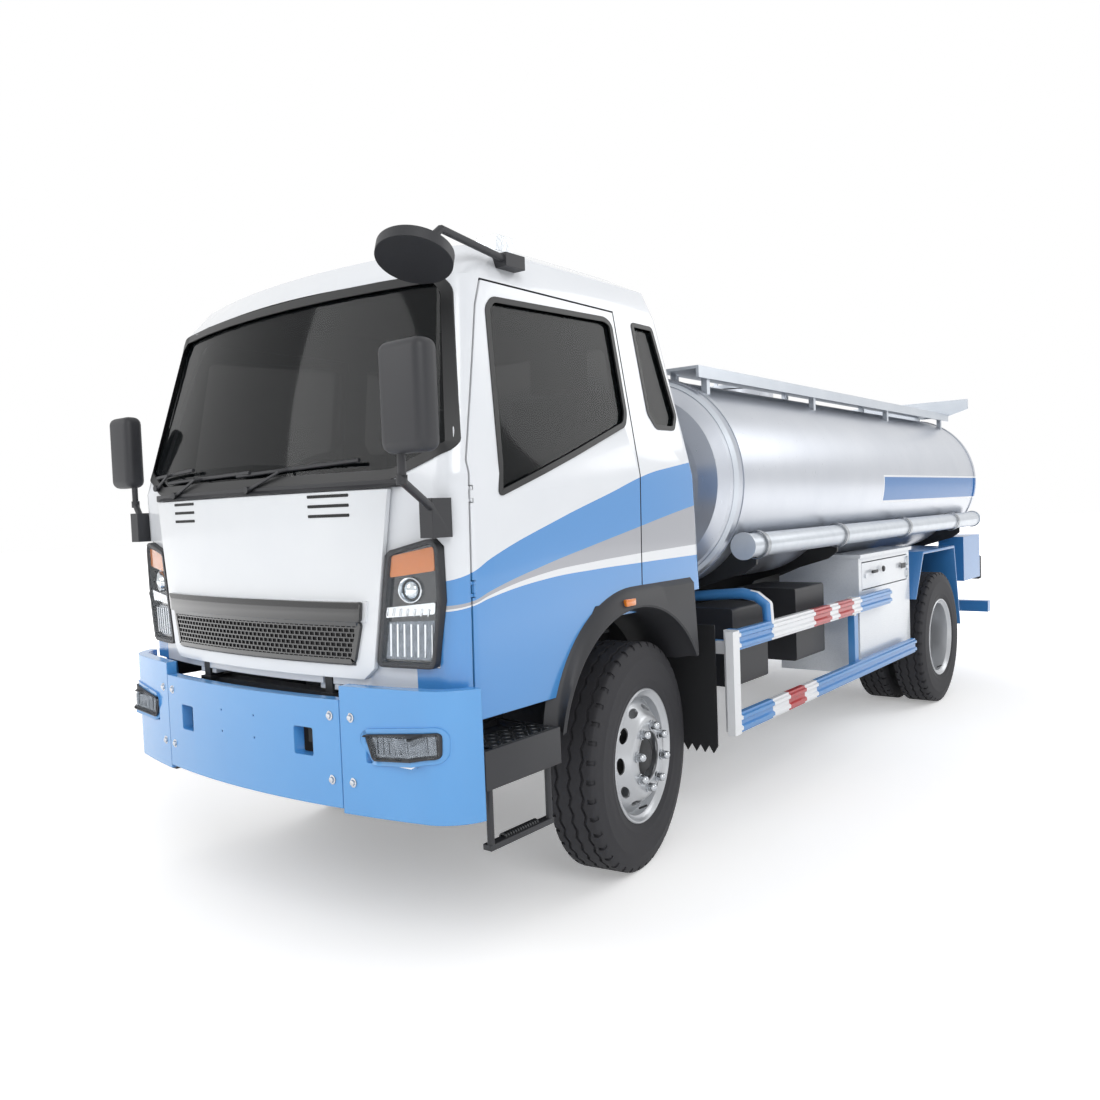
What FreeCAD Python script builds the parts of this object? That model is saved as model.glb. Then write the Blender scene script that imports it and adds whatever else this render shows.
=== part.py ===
import FreeCAD, Part
import math
import os
import Sketcher

Vector = FreeCAD.Vector

# A two-axle cab-over tanker truck with a tilting cab.
# X runs to the vehicle's left, Y to its rear, Z up, and the origin lies on the ground
# under the middle of the whole truck. All sizes are in millimetres.

DRIVING_SIZES = [
    # Whole vehicle
    ("front_reach", 1450, "foremost point ahead of the front axle, the left mirror"),
    ("bumper_reach", 1300, "bumper face ahead of the front axle"),
    ("wheelbase", 4000, "front axle to rear axle"),
    ("rear_reach", 1600, "rear end of the chassis behind the rear axle"),
    ("seat_gap", 0.3, "clearance between pieces that seat on each other"),
    # Wheels and axles
    ("tyre_radius", 487, "outer radius of every tyre"),
    ("tyre_width", 235, "section width of every tyre"),
    ("bead_radius", 254, "radius where tyre sits on rim"),
    ("flange_radius", 285, "outer radius of the rim flange"),
    ("rim_width", 210, "overall width of a rim"),
    ("rim_wall", 12, "thickness of rim and disc"),
    ("front_track_half", 870, "middle of the vehicle to a front tyre's middle"),
    ("rear_track_half", 855, "middle of the vehicle to the middle of a twin wheel"),
    ("twin_spacing", 285, "distance between the two tyres of a twin wheel"),
    ("kingpin_place", 760, "middle of the vehicle to a kingpin"),
    ("steer_rest", 8.5, "angle at which the front wheels stand, to the left"),
    ("steer_arm", 170, "kingpin to the tie rod's eye"),
    ("hub_radius", 118, "radius of a hub's flange"),
    ("hub_nose", 96, "hub nose outside a front wheel's middle"),
    ("stud_ring", 130, "radius of the wheel nuts' ring"),
    ("drum_radius", 205, "brake drum"),
    ("spindle_radius", 40, "radius of a wheel spindle"),
    ("hand_holes", 10, "hand holes round a wheel disc"),
    ("hand_hole_ring", 186, "radius on which the hand holes lie"),
    # Chassis
    ("frame_width", 860, "outer width of the ladder frame"),
    ("rail_height", 210, "height of a frame rail"),
    ("rail_flange", 70, "width of a rail's flange"),
    ("rail_plate", 8, "thickness of a rail's plate"),
    ("frame_top", 920, "top of the ladder frame above the ground"),
    ("front_rail_end", 1180, "front end of the rails ahead of the front axle"),
    ("rear_rail_end", 130, "rear end of the rails ahead of the rear end"),
    ("spring_half_length", 600, "half the length of a leaf spring"),
    ("spring_camber", 90, "rise of a spring's ends over its middle"),
    ("spring_pack", 60, "thickness of the leaf pack at its middle"),
    ("spring_width", 70, "width of a leaf spring"),
    ("axle_beam_height", 80, "height of the front axle beam"),
    ("axle_beam_width", 76, "width of the front axle beam"),
    ("axle_drop", 67, "drop of the beam's middle below the wheel centre"),
    ("axle_tube_radius", 65, "radius of the rear axle tube"),
    ("engine_width", 600, "engine block"),
    ("engine_length", 1000, "engine block"),
    ("engine_height", 500, "engine block"),
    ("engine_base", 560, "underside of the engine above the ground"),
    ("engine_front", 750, "front of the engine ahead of the front axle"),
    # Bumper
    ("bumper_half_width", 1043, "half the bumper's width"),
    ("bumper_split", 555, "joint between centre and corner pieces"),
    ("bumper_bow", 104, "how far the face curves back to its corner"),
    ("bumper_corner", 160, "size of the rounded corner"),
    ("bumper_wall", 45, "thickness of the bumper's shell"),
    ("bumper_bottom", 527, "underside above the ground"),
    ("bumper_top", 925, "top of the centre piece"),
    ("bumper_corner_top", 975, "top of the corner pieces"),
    ("bumper_end", 1055, "rear end of a corner piece ahead of the front axle"),
    # Cab
    ("cab_bottom", 850, "lowest edge of the doors"),
    ("cab_sill", 955, "lower edge of the cab's front wall"),
    ("cab_wall", 50, "thickness of the cab's walls and doors"),
    ("cab_floor", 1160, "top of the floor"),
    ("floor_plate", 60, "thickness of the floor"),
    ("waist_height", 1690, "crease under the windows"),
    ("window_rise", 710, "from the waist to the crease over the windows"),
    ("shoulder_rise", 125, "from that crease to where the roof turns over"),
    ("roof_rise", 75, "from there to the top of the roof"),
    ("cab_half_width", 1000, "half width at the waist"),
    ("sill_half_width", 985, "half width at the lower edge"),
    ("drip_half_width", 885, "half width over the windows"),
    ("shoulder_half_width", 842, "half width where the roof turns over"),
    ("roof_half_width", 700, "half width of the roof's flat"),
    ("cab_front", 1200, "cab's face at the waist ahead of the front axle"),
    ("cab_front_sill", 1190, "the same at the lower edge"),
    ("cab_front_drip", 1030, "the same over the windscreen"),
    ("cab_front_shoulder", 925, "the same where the roof turns over"),
    ("cab_front_roof", 660, "the same at the roof's flat"),
    ("cab_rear", 522, "cab's back at the waist behind the front axle"),
    ("cab_rear_sill", 600, "the same at the lower edge"),
    ("cab_rear_drip", 415, "the same at the roof"),
    ("cab_bow", 100, "how far the face curves back to the corner"),
    ("cab_corner", 100, "radius of the cab's front corners"),
    ("cab_rear_corner", 60, "radius of the cab's rear corners"),
    ("glass_depth", 12, "outer face of the glass below the panel"),
    ("glass_plate", 6, "thickness of the glass"),
    ("door_gap", 7, "gap round a door"),
    ("door_front", 1020, "front edge of a door ahead of the front axle"),
    ("door_rear", 30, "rear edge of a door behind the front axle"),
    ("arch_radius", 575, "radius of the wheel arch about the axle"),
    ("arch_side", 1035, "outer face of the wheel arch"),
    ("tilt_pivot_height", 965, "hinge of the tilting cab above the ground"),
    ("tilt_pivot_reach", 1140, "the same hinge ahead of the front axle"),
    ("panel_stand", 25, "how far the service panel stands proud of the cab"),
    ("panel_top", 1650, "top edge of the service panel"),
    ("panel_bottom", 985, "lower edge of the service panel"),
    ("panel_top_half", 740, "half width of the panel at its top"),
    ("panel_bottom_half", 635, "half width of the panel at its bottom"),
    ("lamp_top", 1480, "highest corner of a headlamp"),
    ("lamp_bottom", 1035, "lower edge of a headlamp"),
    ("lamp_outer", 932, "outer edge of a headlamp"),
    ("bar_bottom", 1190, "lower edge of the bar over the grille"),
    ("bar_height", 72, "height of the bar over the grille"),
    ("bar_stand", 8, "how far the bar stands proud of the panel"),
    ("grille_slots", 6, "slots in the grille"),
    ("roof_lamp_place", 750, "middle of the vehicle to a roof lamp"),
    ("roof_lamp_reach", 560, "roof lamp ahead of the front axle"),
    ("steering_wheel_radius", 215, "steering wheel"),
    ("steering_wheel_rim", 15, "radius of the steering wheel's rim"),
    ("steering_wheel_tilt", 40, "lean of the steering wheel from level"),
    ("driver_place", 450, "middle of the vehicle to the middle of a seat"),
    ("seat_height", 1560, "top of a seat cushion"),
    ("seat_width", 500, "width of a seat"),
    ("dash_top", 1720, "top of the dashboard"),
    ("mirror_disc", 130, "radius of the look-down mirror"),
    ("mirror_half_span", 1220, "outer edge of a door mirror"),
    # Tank
    ("tank_half_width", 1062, "half width of the tank"),
    ("tank_half_height", 600, "half height of the tank"),
    ("tank_side_radius", 550, "radius of the tank's sides"),
    ("tank_middle", 1667, "middle of the tank above the ground"),
    ("tank_front_gap", 760, "front head behind the front axle"),
    ("tank_rear_gap", 230, "rear head ahead of the rear end"),
    ("tank_head_round", 110, "rounding of the tank's heads"),
    ("tube_radius", 60, "hose tube"),
    ("tube_gap", 27, "space between the tank and a hose tube"),
    ("tube_drop", 325, "hose tube below the middle of the tank"),
    ("manhole_radius", 280, "manhole collar"),
    ("walk_half_width", 850, "outer edge of the top walkway"),
    ("walk_height", 2250, "top of the walkway's rim"),
    ("walk_width", 240, "width of the walkway's deck"),
    ("sign_half_width", 1010, "half width of the plate over the tank's rear end"),
    ("sign_top", 2370, "top of the plate over the tank's rear end"),
    ("manhole_place", 2900, "manhole behind the front axle"),
    ("cradle_front", 1000, "front cradle behind the front axle"),
    ("cradle_middle", 2080, "middle cradle behind the front axle"),
    ("cradle_inner", 3300, "cradle ahead of the rear axle, behind the front axle"),
    ("cradle_rear", 750, "last cradle behind the rear axle"),
    ("runner_place", 390, "middle of the vehicle to a tank runner"),
    ("runner_top", 1000, "top of the tank runners"),
    # Equipment along the sides
    ("guard_side", 1125, "outer face of the side guard"),
    ("guard_top", 955, "top of the upper rail"),
    ("guard_bottom", 465, "underside of the lower rail"),
    ("guard_rail", 96, "height of a guard rail"),
    ("guard_plate", 40, "depth of a guard rail's profile"),
    ("guard_start", 600, "front of the side guard behind the front axle"),
    ("guard_end", 3350, "rear of the side guard behind the front axle"),
    ("battery_front", 930, "front of the battery box behind the front axle"),
    ("battery_length", 400, "length of the battery box"),
    ("control_front", 1640, "front of the control box behind the front axle"),
    ("control_length", 410, "length of the control box"),
    ("air_tank_front", 1370, "front of the air tank behind the front axle"),
    ("air_tank_length", 240, "length of the air tank"),
    ("fuel_tank_front", 840, "front of the fuel tank behind the front axle"),
    ("fuel_tank_length", 1280, "length of the fuel tank"),
    ("box_front", 2450, "front of the equipment box behind the front axle"),
    ("box_bottom", 450, "underside of the equipment box"),
    ("box_top", 1200, "top of the equipment box"),
    ("box_inside", 520, "middle of the vehicle to the box's inner face"),
    ("box_shoulder", 860, "middle of the vehicle to the edge where the box's back slopes down"),
    ("box_back_top", 1060, "top of the box at its inner face"),
    ("hinge_barrel", 8, "radius of a small hinge's barrel"),
    ("hatch_bottom", 970, "lower edge of the box's door"),
    ("hatch_top", 1150, "upper edge of the box's door"),
    ("step_top", 755, "tread of the entry step"),
    ("step_low", 400, "lowest bar of the loop step"),
    ("guard_top_rear", 1150, "top of the rear mudguards"),
    ("box_side", 1050, "outer face of the equipment box"),
    ("box_length", 1000, "length of the equipment box"),
    ("box_wall", 25, "wall of the equipment box"),
    ("underrun_height", 96, "height of the rear bar"),
    ("underrun_half_width", 1090, "half width of the rear bar"),
    ("underrun_bottom", 507, "underside of the rear bar"),
    ("outlet_radius", 50, "bore of the discharge outlet"),
    ("outlet_height", 720, "discharge outlet above the ground"),
]


def text_of(value):
    """Expression of a size, or a plain number as text."""
    return value.text if isinstance(value, Size) else repr(float(value))


def number_of(value):
    """Number of a size, or the plain number itself."""
    return value.number if isinstance(value, Size) else float(value)


class Size:
    """A number together with the sheet expression that gives it."""

    def __init__(self, number, text):
        self.number = number
        self.text = text

    def __add__(self, other):
        return Size(self.number + number_of(other), "(%s + %s)" % (self.text, text_of(other)))

    def __radd__(self, other):
        return Size(number_of(other) + self.number, "(%s + %s)" % (text_of(other), self.text))

    def __sub__(self, other):
        return Size(self.number - number_of(other), "(%s - %s)" % (self.text, text_of(other)))

    def __rsub__(self, other):
        return Size(number_of(other) - self.number, "(%s - %s)" % (text_of(other), self.text))

    def __mul__(self, other):
        return Size(self.number * number_of(other), "(%s * %s)" % (self.text, text_of(other)))

    def __rmul__(self, other):
        return self * other

    def __truediv__(self, other):
        return Size(self.number / number_of(other), "(%s / %s)" % (self.text, text_of(other)))

    def __neg__(self):
        return Size(-self.number, "(0 - %s)" % self.text)


def root(value):
    """Square root of a size."""
    return Size(math.sqrt(value.number), "sqrt(%s)" % value.text)


doc = FreeCAD.newDocument("TankerTruck")
sheet = doc.addObject("Spreadsheet::Sheet", "Sizes")


class SizeTable:
    """The sheet's driving sizes, each by its own name."""

    def __init__(self, rows):
        for row, (alias, number, meaning) in enumerate(rows, start=1):
            sheet.set("A%d" % row, meaning)
            sheet.set("B%d" % row, str(number))
            sheet.setAlias("B%d" % row, alias)
            setattr(self, alias, Size(float(number), "Sizes." + alias))


s = SizeTable(DRIVING_SIZES)
doc.recompute()

pieces = []

# Places along the vehicle
overall_length = s.front_reach + s.wheelbase + s.rear_reach
rear_end = overall_length / 2
front_axle = s.front_reach - rear_end
rear_axle = front_axle + s.wheelbase
wheel_height = s.tyre_radius


def bind(target, prop, value):
    """Tie one property of an object to the sheet."""
    target.setExpression(prop, text_of(value))


def place(target, x=0, y=0, z=0):
    """Tie an object's position to the sheet."""
    bind(target, "Placement.Base.x", x)
    bind(target, "Placement.Base.y", y)
    bind(target, "Placement.Base.z", z)


def finish(target, label):
    """Name a sub-part and keep it for export."""
    target.Label = label
    pieces.append(target)
    return target


def box(name, x, y, z):
    """A block between the low and high bounds given on each axis."""
    block = doc.addObject("Part::Box", name)
    for prop, (low, high) in (("Length", x), ("Width", y), ("Height", z)):
        bind(block, prop, high - low)
    place(block, x[0], y[0], z[0])
    return block


TURNS = {
    "X": FreeCAD.Rotation(Vector(0, 1, 0), 90),
    "Y": FreeCAD.Rotation(Vector(1, 0, 0), -90),
    "Z": FreeCAD.Rotation(),
}


def cylinder(name, axis, start, radius, length):
    """A round bar from a start point along +X, +Y or +Z."""
    bar = doc.addObject("Part::Cylinder", name)
    bar.Placement = FreeCAD.Placement(Vector(), TURNS[axis])
    bind(bar, "Radius", radius)
    bind(bar, "Height", length)
    place(bar, *start)
    return bar


def cone(name, axis, start, first_radius, last_radius, length):
    """A round taper from a start point along +X, +Y or +Z."""
    taper = doc.addObject("Part::Cone", name)
    taper.Placement = FreeCAD.Placement(Vector(), TURNS[axis])
    bind(taper, "Radius1", first_radius)
    bind(taper, "Radius2", last_radius)
    bind(taper, "Height", length)
    place(taper, *start)
    return taper


def strut(name, start, end, radius):
    """A round bar between two points that lie askew."""
    first = Vector(*(number_of(value) for value in start))
    last = Vector(*(number_of(value) for value in end))
    bar = doc.addObject("Part::Feature", name)
    bar.Shape = Part.makeCylinder(number_of(radius), (last - first).Length, first, last - first)
    return bar


def pipe(name, points, radius):
    """A round pipe through a row of points, with rounded bends."""
    bars = [
        strut("%s_run_%d" % (name, index), points[index], points[index + 1], radius)
        for index in range(len(points) - 1)
    ]
    for index, point in enumerate(points[1:-1]):
        bend = doc.addObject("Part::Sphere", "%s_bend_%d" % (name, index))
        bind(bend, "Radius", radius)
        place(bend, *point)
        bars.append(bend)
    return fuse(name, *bars)


def fuse(name, *parts):
    """Join parts into one solid."""
    joined = doc.addObject("Part::MultiFuse", name)
    joined.Shapes = list(parts)
    return joined


def cut(name, base, *tools):
    """Take tools away from a base."""
    result = doc.addObject("Part::Cut", name)
    result.Base = base
    result.Tool = tools[0] if len(tools) == 1 else fuse(name + "_tools", *tools)
    return result


def common(name, first, second):
    """Keep what two solids share."""
    result = doc.addObject("Part::Common", name)
    result.Base = first
    result.Tool = second
    return result


def group(name, *parts):
    """Like solids that don't touch, kept together."""
    together = doc.addObject("Part::Compound", name)
    together.Links = list(parts)
    return together


def mirrored(name, source):
    """The same piece on the vehicle's other side."""
    other = doc.addObject("Part::Mirroring", name)
    other.Source = source
    other.Base = Vector()
    other.Normal = Vector(1, 0, 0)
    return other


def pair(name, source):
    """A piece on the left with its mirror image on the right."""
    return group(name, source, mirrored(name + "_right", source))


def origin_part(body, role):
    """One of a body's own origin planes or axes."""
    for feature in body.Origin.OriginFeatures:
        if feature.Role == role:
            return feature
    raise ValueError(role)


def sketch(body, name, plane, outline, offset=0):
    """A closed outline of (a, b) points; a third value is the radius of the arc that follows.

    A positive radius turns the arc to the left of the way it runs, a negative one to the right.
    """
    drawing = body.newObject("Sketcher::SketchObject", name)
    drawing.AttachmentSupport = [(origin_part(body, plane + "_Plane"), "")]
    drawing.MapMode = "FlatFace"
    bind(drawing, "AttachmentOffset.Base.z", offset)
    count = len(outline)
    ends = []
    for index, point in enumerate(outline):
        after = outline[(index + 1) % count]
        first = Vector(number_of(point[0]), number_of(point[1]), 0)
        last = Vector(number_of(after[0]), number_of(after[1]), 0)
        if len(point) == 2:
            drawing.addGeometry(Part.LineSegment(first, last))
            ends.append((1, 2))
            continue
        radius = number_of(point[2])
        half = (last - first) * 0.5
        rise = math.sqrt(max(radius * radius - half.Length ** 2, 0.0))
        left = Vector(-half.y, half.x, 0).normalize()
        middle = first + half + left * (rise if radius > 0 else -rise)
        start, stop = (first, last) if radius > 0 else (last, first)
        angles = [math.atan2(end.y - middle.y, end.x - middle.x) for end in (start, stop)]
        if angles[1] < angles[0]:
            angles[1] += 2 * math.pi
        circle = Part.Circle(middle, Vector(0, 0, 1), abs(radius))
        drawing.addGeometry(Part.ArcOfCircle(circle, *angles))
        ends.append((1, 2) if radius > 0 else (2, 1))
    for index in range(count):
        after = (index + 1) % count
        drawing.addConstraint(
            Sketcher.Constraint("Coincident", index, ends[index][1], after, ends[after][0]))
    for index, point in enumerate(outline):
        for kind, value in (("DistanceX", point[0]), ("DistanceY", point[1])):
            rule = drawing.addConstraint(
                Sketcher.Constraint(kind, index, ends[index][0], number_of(value)))
            bind(drawing, "Constraints[%d]" % rule, value)
        if len(point) == 3:
            rule = drawing.addConstraint(
                Sketcher.Constraint("Radius", index, abs(number_of(point[2]))))
            size = point[2] if number_of(point[2]) > 0 else -point[2]
            bind(drawing, "Constraints[%d]" % rule, size)
    return drawing


def prism(name, plane, outline, span):
    """An outline in the XY, XZ or YZ plane, padded over a span along the third axis."""
    low, high = span
    body = doc.addObject("PartDesign::Body", name)
    offset = -high if plane == "XZ" else low
    drawing = sketch(body, name + "_sketch", plane, outline, offset)
    pad = body.newObject("PartDesign::Pad", name + "_pad")
    pad.Profile = drawing
    bind(pad, "Length", high - low)
    return body


def spun(name, outline):
    """A body of revolution about its own X axis, from (x, radius) points."""
    body = doc.addObject("PartDesign::Body", name)
    drawing = sketch(body, name + "_sketch", "XZ", outline)
    turned = body.newObject("PartDesign::Revolution", name + "_turn")
    turned.Profile = drawing
    turned.ReferenceAxis = (drawing, ["H_Axis"])
    turned.Angle = 360
    return body


def rounded(a, b, radius):
    """A rectangle's outline between bounds a and b, with round corners."""
    return [
        (a[0] + radius, b[0]), (a[1] - radius, b[0], radius),
        (a[1], b[0] + radius), (a[1], b[1] - radius, radius),
        (a[1] - radius, b[1]), (a[0] + radius, b[1], radius),
        (a[0], b[1] - radius), (a[0], b[0] + radius, radius),
    ]


# Wheels: each is drawn about its own middle on the X axis


def rim_outline(middle):
    """Section of a rim's barrel with its two flanges."""
    half = s.rim_width / 2
    inside = s.bead_radius - s.rim_wall
    return [
        (middle - half, inside), (middle + half, inside),
        (middle + half, s.flange_radius), (middle + half - s.rim_wall, s.flange_radius),
        (middle + half - s.rim_wall, s.bead_radius), (middle - half + s.rim_wall, s.bead_radius),
        (middle - half + s.rim_wall, s.flange_radius), (middle - half, s.flange_radius),
    ]


def tyre_outline(middle):
    """Section of a tyre: bead, widest point of the side wall, and tread."""
    bore = s.bead_radius + s.seat_gap
    bead = s.rim_width / 2 - s.rim_wall * 1.75
    half = s.tyre_width / 2
    bulge = s.tyre_radius * 0.78
    tread = half * 0.8
    return [
        (middle - bead, bore), (middle + bead, bore), (middle + half, bulge),
        (middle + tread, s.tyre_radius), (middle - tread, s.tyre_radius), (middle - half, bulge),
    ]


def add_turned(body, name, outline):
    """Turn one more section onto a wheel."""
    drawing = sketch(body, name + "_sketch", "XZ", outline)
    turned = body.newObject("PartDesign::Revolution", name)
    turned.Profile = drawing
    turned.ReferenceAxis = (drawing, ["H_Axis"])
    turned.Angle = 360
    return turned


def cut_hand_holes(body, name):
    """Oval hand holes through the disc, spread evenly about the axle."""
    half_width = s.rim_wall * 1.9
    half_length = s.rim_wall * 2.9
    drawing = sketch(body, name + "_sketch", "YZ", rounded(
        (-half_width, half_width),
        (s.hand_hole_ring - half_length, s.hand_hole_ring + half_length),
        half_width * 0.96), -(s.rim_width * 3))
    pocket = body.newObject("PartDesign::Pocket", name)
    pocket.Profile = drawing
    pocket.Reversed = True
    bind(pocket, "Length", s.rim_width * 6)
    pattern = body.newObject("PartDesign::PolarPattern", name + "_ring")
    pattern.Originals = [pocket]
    pattern.Axis = (origin_part(body, "X_Axis"), [""])
    pattern.Angle = 360
    bind(pattern, "Occurrences", s.hand_holes)
    body.Tip = pattern


def steered(body, side, label):
    """Stand a steered piece at its kingpin, turned as the wheels stand."""
    place(body, s.kingpin_place * side, front_axle, wheel_height)
    body.Placement.Rotation = FreeCAD.Rotation(Vector(0, 0, 1), 1)
    bind(body, "Placement.Rotation.Angle", s.steer_rest)
    return finish(body, label)


def front_wheel(side, word):
    """A single front wheel with its hub and brake drum, and its tyre."""
    wall = s.rim_wall
    middle = (s.front_track_half - s.kingpin_place) * side
    inside = s.bead_radius - wall
    bore = s.spindle_radius + s.seat_gap
    body = spun("front_rim_" + word, rim_outline(middle))

    def at(shift):
        return middle + shift * side

    # The disc leans outwards from the rim to the stud ring, with the hub through it
    add_turned(body, "front_disc_" + word, [
        (at(-wall * 3.5), bore), (at(s.hub_nose - wall), bore), (at(s.hub_nose - wall), 0),
        (at(s.hub_nose), 0), (at(s.hub_nose), s.hub_radius * 0.6),
        (at(wall * 4), s.hub_radius * 0.66), (at(wall * 4), s.stud_ring + wall * 2),
        (at(-wall), inside + wall / 4), (at(-wall * 2), inside + wall / 4),
        (at(wall * 3), s.stud_ring + wall), (at(-wall), s.stud_ring), (at(-wall * 3.5), s.drum_radius),
    ])
    cut_hand_holes(body, "front_holes_" + word)
    tyre = spun("front_tyre_body_" + word, tyre_outline(middle))
    steered(body, side, "front_wheel_" + word)
    steered(tyre, side, "front_tyre_" + word)


def rear_wheel(side, word):
    """A twin wheel: two rims back to back on one hub with its drum, and its two tyres."""
    wall = s.rim_wall
    half = s.twin_spacing / 2
    inside = s.bead_radius - wall
    bore = s.spindle_radius + s.seat_gap
    seat = s.stud_ring + wall * 2
    body = spun("rear_rim_" + word, rim_outline(half * side))
    add_turned(body, "rear_inner_rim_" + word, rim_outline(-half * side))
    for facing, name in ((1, "outer"), (-1, "inner")):
        turn = facing * side
        add_turned(body, "rear_%s_disc_%s" % (name, word), [
            (0, s.hub_radius / 2), (wall * turn, s.hub_radius / 2), (wall * turn, seat),
            ((half - wall * 2) * turn, inside + wall / 4),
            ((half - wall * 3) * turn, inside + wall / 4), (0, seat + wall),
        ])
    cut_hand_holes(body, "rear_holes_" + word)
    drum_end = half + s.rim_width / 2
    body.Tip = add_turned(body, "rear_hub_" + word, [
        (s.hub_nose * side, 0), (s.hub_nose * side, s.hub_radius * 0.6),
        (wall * side, s.hub_radius * 0.8), (-wall * side, s.hub_radius * 0.8),
        (-wall * 3 * side, s.drum_radius), (-drum_end * side, s.drum_radius),
        (-drum_end * side, bore), (0, bore), (0, 0),
    ])
    outer = spun("rear_outer_tyre_" + word, tyre_outline(half * side))
    inner = spun("rear_inner_tyre_" + word, tyre_outline(-half * side))
    tyres = group("rear_tyres_" + word, outer, inner)
    for target in (body, tyres):
        place(target, s.rear_track_half * side, rear_axle, wheel_height)
    finish(body, "rear_wheel_" + word)
    finish(tyres, "rear_tyres_" + word)


for side, word in ((1, "left"), (-1, "right")):
    front_wheel(side, word)
    rear_wheel(side, word)

# Steering: knuckles, their kingpins and arms, and the tie rod between them

eye_radius = s.spindle_radius
eye_half = s.spindle_radius * 1.15
pin_radius = s.spindle_radius * 0.4
arm_plate = s.spindle_radius * 0.5
rod_eye = s.spindle_radius * 0.55
rod_pin = s.spindle_radius * 0.25


def knuckle(side, word):
    """A steering knuckle: two lugs on a kingpin, back plate, spindle and steering arm."""
    reach = s.front_track_half - s.kingpin_place
    plate_in = eye_radius * 1.1
    plate_out = plate_in + arm_plate
    lug = arm_plate * 1.2

    def across(low, high):
        return (low * side, high * side) if side > 0 else (high * side, low * side)

    plate = box("knuckle_plate_" + word, across(plate_in, plate_out), (-eye_radius, eye_radius),
                (-(eye_half + lug), eye_half + lug))
    upper = box("knuckle_upper_" + word, across(-eye_radius, plate_out), (-eye_radius, eye_radius),
                (eye_half, eye_half + lug))
    lower = box("knuckle_lower_" + word, across(-eye_radius, plate_out), (-eye_radius, eye_radius),
                (-(eye_half + lug), -eye_half))
    kingpin = cylinder("kingpin_" + word, "Z", (0, 0, -eye_half), pin_radius, eye_half * 2)
    spindle_start = plate_in if side > 0 else -(reach + s.hub_nose / 2)
    spindle = cylinder("spindle_" + word, "X", (spindle_start, 0, 0), s.spindle_radius,
                       reach + s.hub_nose / 2 - plate_in)
    arm = box("steering_arm_" + word, (-rod_eye, rod_eye), (0, s.steer_arm),
              (-(eye_half + lug), -eye_half))
    eye = cylinder("steering_eye_" + word, "Z", (0, s.steer_arm, -(eye_half + lug)), rod_eye, lug)
    pin = cylinder("steering_pin_" + word, "Z", (0, s.steer_arm, -(eye_half + lug * 2.2)),
                   rod_pin, lug * 1.4)
    body = fuse("knuckle_body_" + word, plate, upper, lower, kingpin, spindle, arm, eye, pin)
    steered(body, side, "knuckle_" + word)


for side, word in ((1, "left"), (-1, "right")):
    knuckle(side, word)

steer_radians = math.radians(s.steer_rest.number)
rod_x_shift = -s.steer_arm.number * math.sin(steer_radians)
rod_y_shift = s.steer_arm.number * math.cos(steer_radians)
rod_top = wheel_height - eye_half - arm_plate * 1.2 - s.seat_gap
rod_thickness = arm_plate
rod_sleeves = [
    cylinder("tie_rod_eye_" + word, "Z",
             (s.kingpin_place * side + rod_x_shift, front_axle + rod_y_shift,
              rod_top - rod_thickness),
             rod_eye, rod_thickness)
    for side, word in ((1, "left"), (-1, "right"))
]
rod_holes = [
    cylinder("tie_rod_hole_" + word, "Z",
             (s.kingpin_place * side + rod_x_shift, front_axle + rod_y_shift,
              rod_top - rod_thickness * 2),
             rod_pin + s.seat_gap, rod_thickness * 3)
    for side, word in ((1, "left"), (-1, "right"))
]
rod_bar = cylinder("tie_rod_bar", "X",
                   (-(s.kingpin_place - rod_eye / 2) + rod_x_shift, front_axle + rod_y_shift,
                    rod_top - rod_thickness / 2),
                   rod_thickness * 0.42, (s.kingpin_place - rod_eye / 2) * 2)
finish(cut("tie_rod_body", fuse("tie_rod_solid", rod_bar, *rod_sleeves), *rod_holes), "tie_rod")

# Axles

beam_half = s.axle_beam_width / 2
beam_end = s.kingpin_place - eye_radius * 0.8
beam_low = wheel_height - s.axle_drop
beam_base = beam_low - s.axle_beam_height / 2
beam_top = beam_low + s.axle_beam_height / 2
beam_outline = [
    (-beam_end, wheel_height - eye_radius * 0.6), (-(beam_end - s.axle_drop * 2), beam_base),
    (beam_end - s.axle_drop * 2, beam_base), (beam_end, wheel_height - eye_radius * 0.6),
    (beam_end, wheel_height + eye_radius), (beam_end - s.axle_drop * 1.5, beam_top),
    (-(beam_end - s.axle_drop * 1.5), beam_top), (-beam_end, wheel_height + eye_radius),
]
beam = prism("axle_beam", "XZ", beam_outline, (front_axle - beam_half, front_axle + beam_half))
axle_eyes = []
axle_bores = []
for side, word in ((1, "left"), (-1, "right")):
    axle_eyes.append(cylinder("axle_eye_" + word, "Z",
                              (s.kingpin_place * side, front_axle,
                               wheel_height - eye_half + s.seat_gap),
                              eye_radius, (eye_half - s.seat_gap) * 2))
    axle_bores.append(cylinder("axle_bore_" + word, "Z",
                               (s.kingpin_place * side, front_axle, wheel_height - eye_half * 2),
                               pin_radius + s.seat_gap, eye_half * 4))
beam_web_half = s.rail_plate
beam_flange = s.axle_beam_height / 5
beam_recesses = [
    box("beam_recess_" + word, (-(beam_end - s.axle_drop * 3), beam_end - s.axle_drop * 3),
        (low, high), (beam_base + beam_flange, beam_top - beam_flange))
    for word, low, high in (
        ("front", front_axle - beam_half * 2, front_axle - beam_web_half),
        ("rear", front_axle + beam_web_half, front_axle + beam_half * 2))
]
finish(cut("front_axle_body", fuse("front_axle_solid", beam, *axle_eyes),
           *axle_bores, *beam_recesses), "front_axle")

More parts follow.
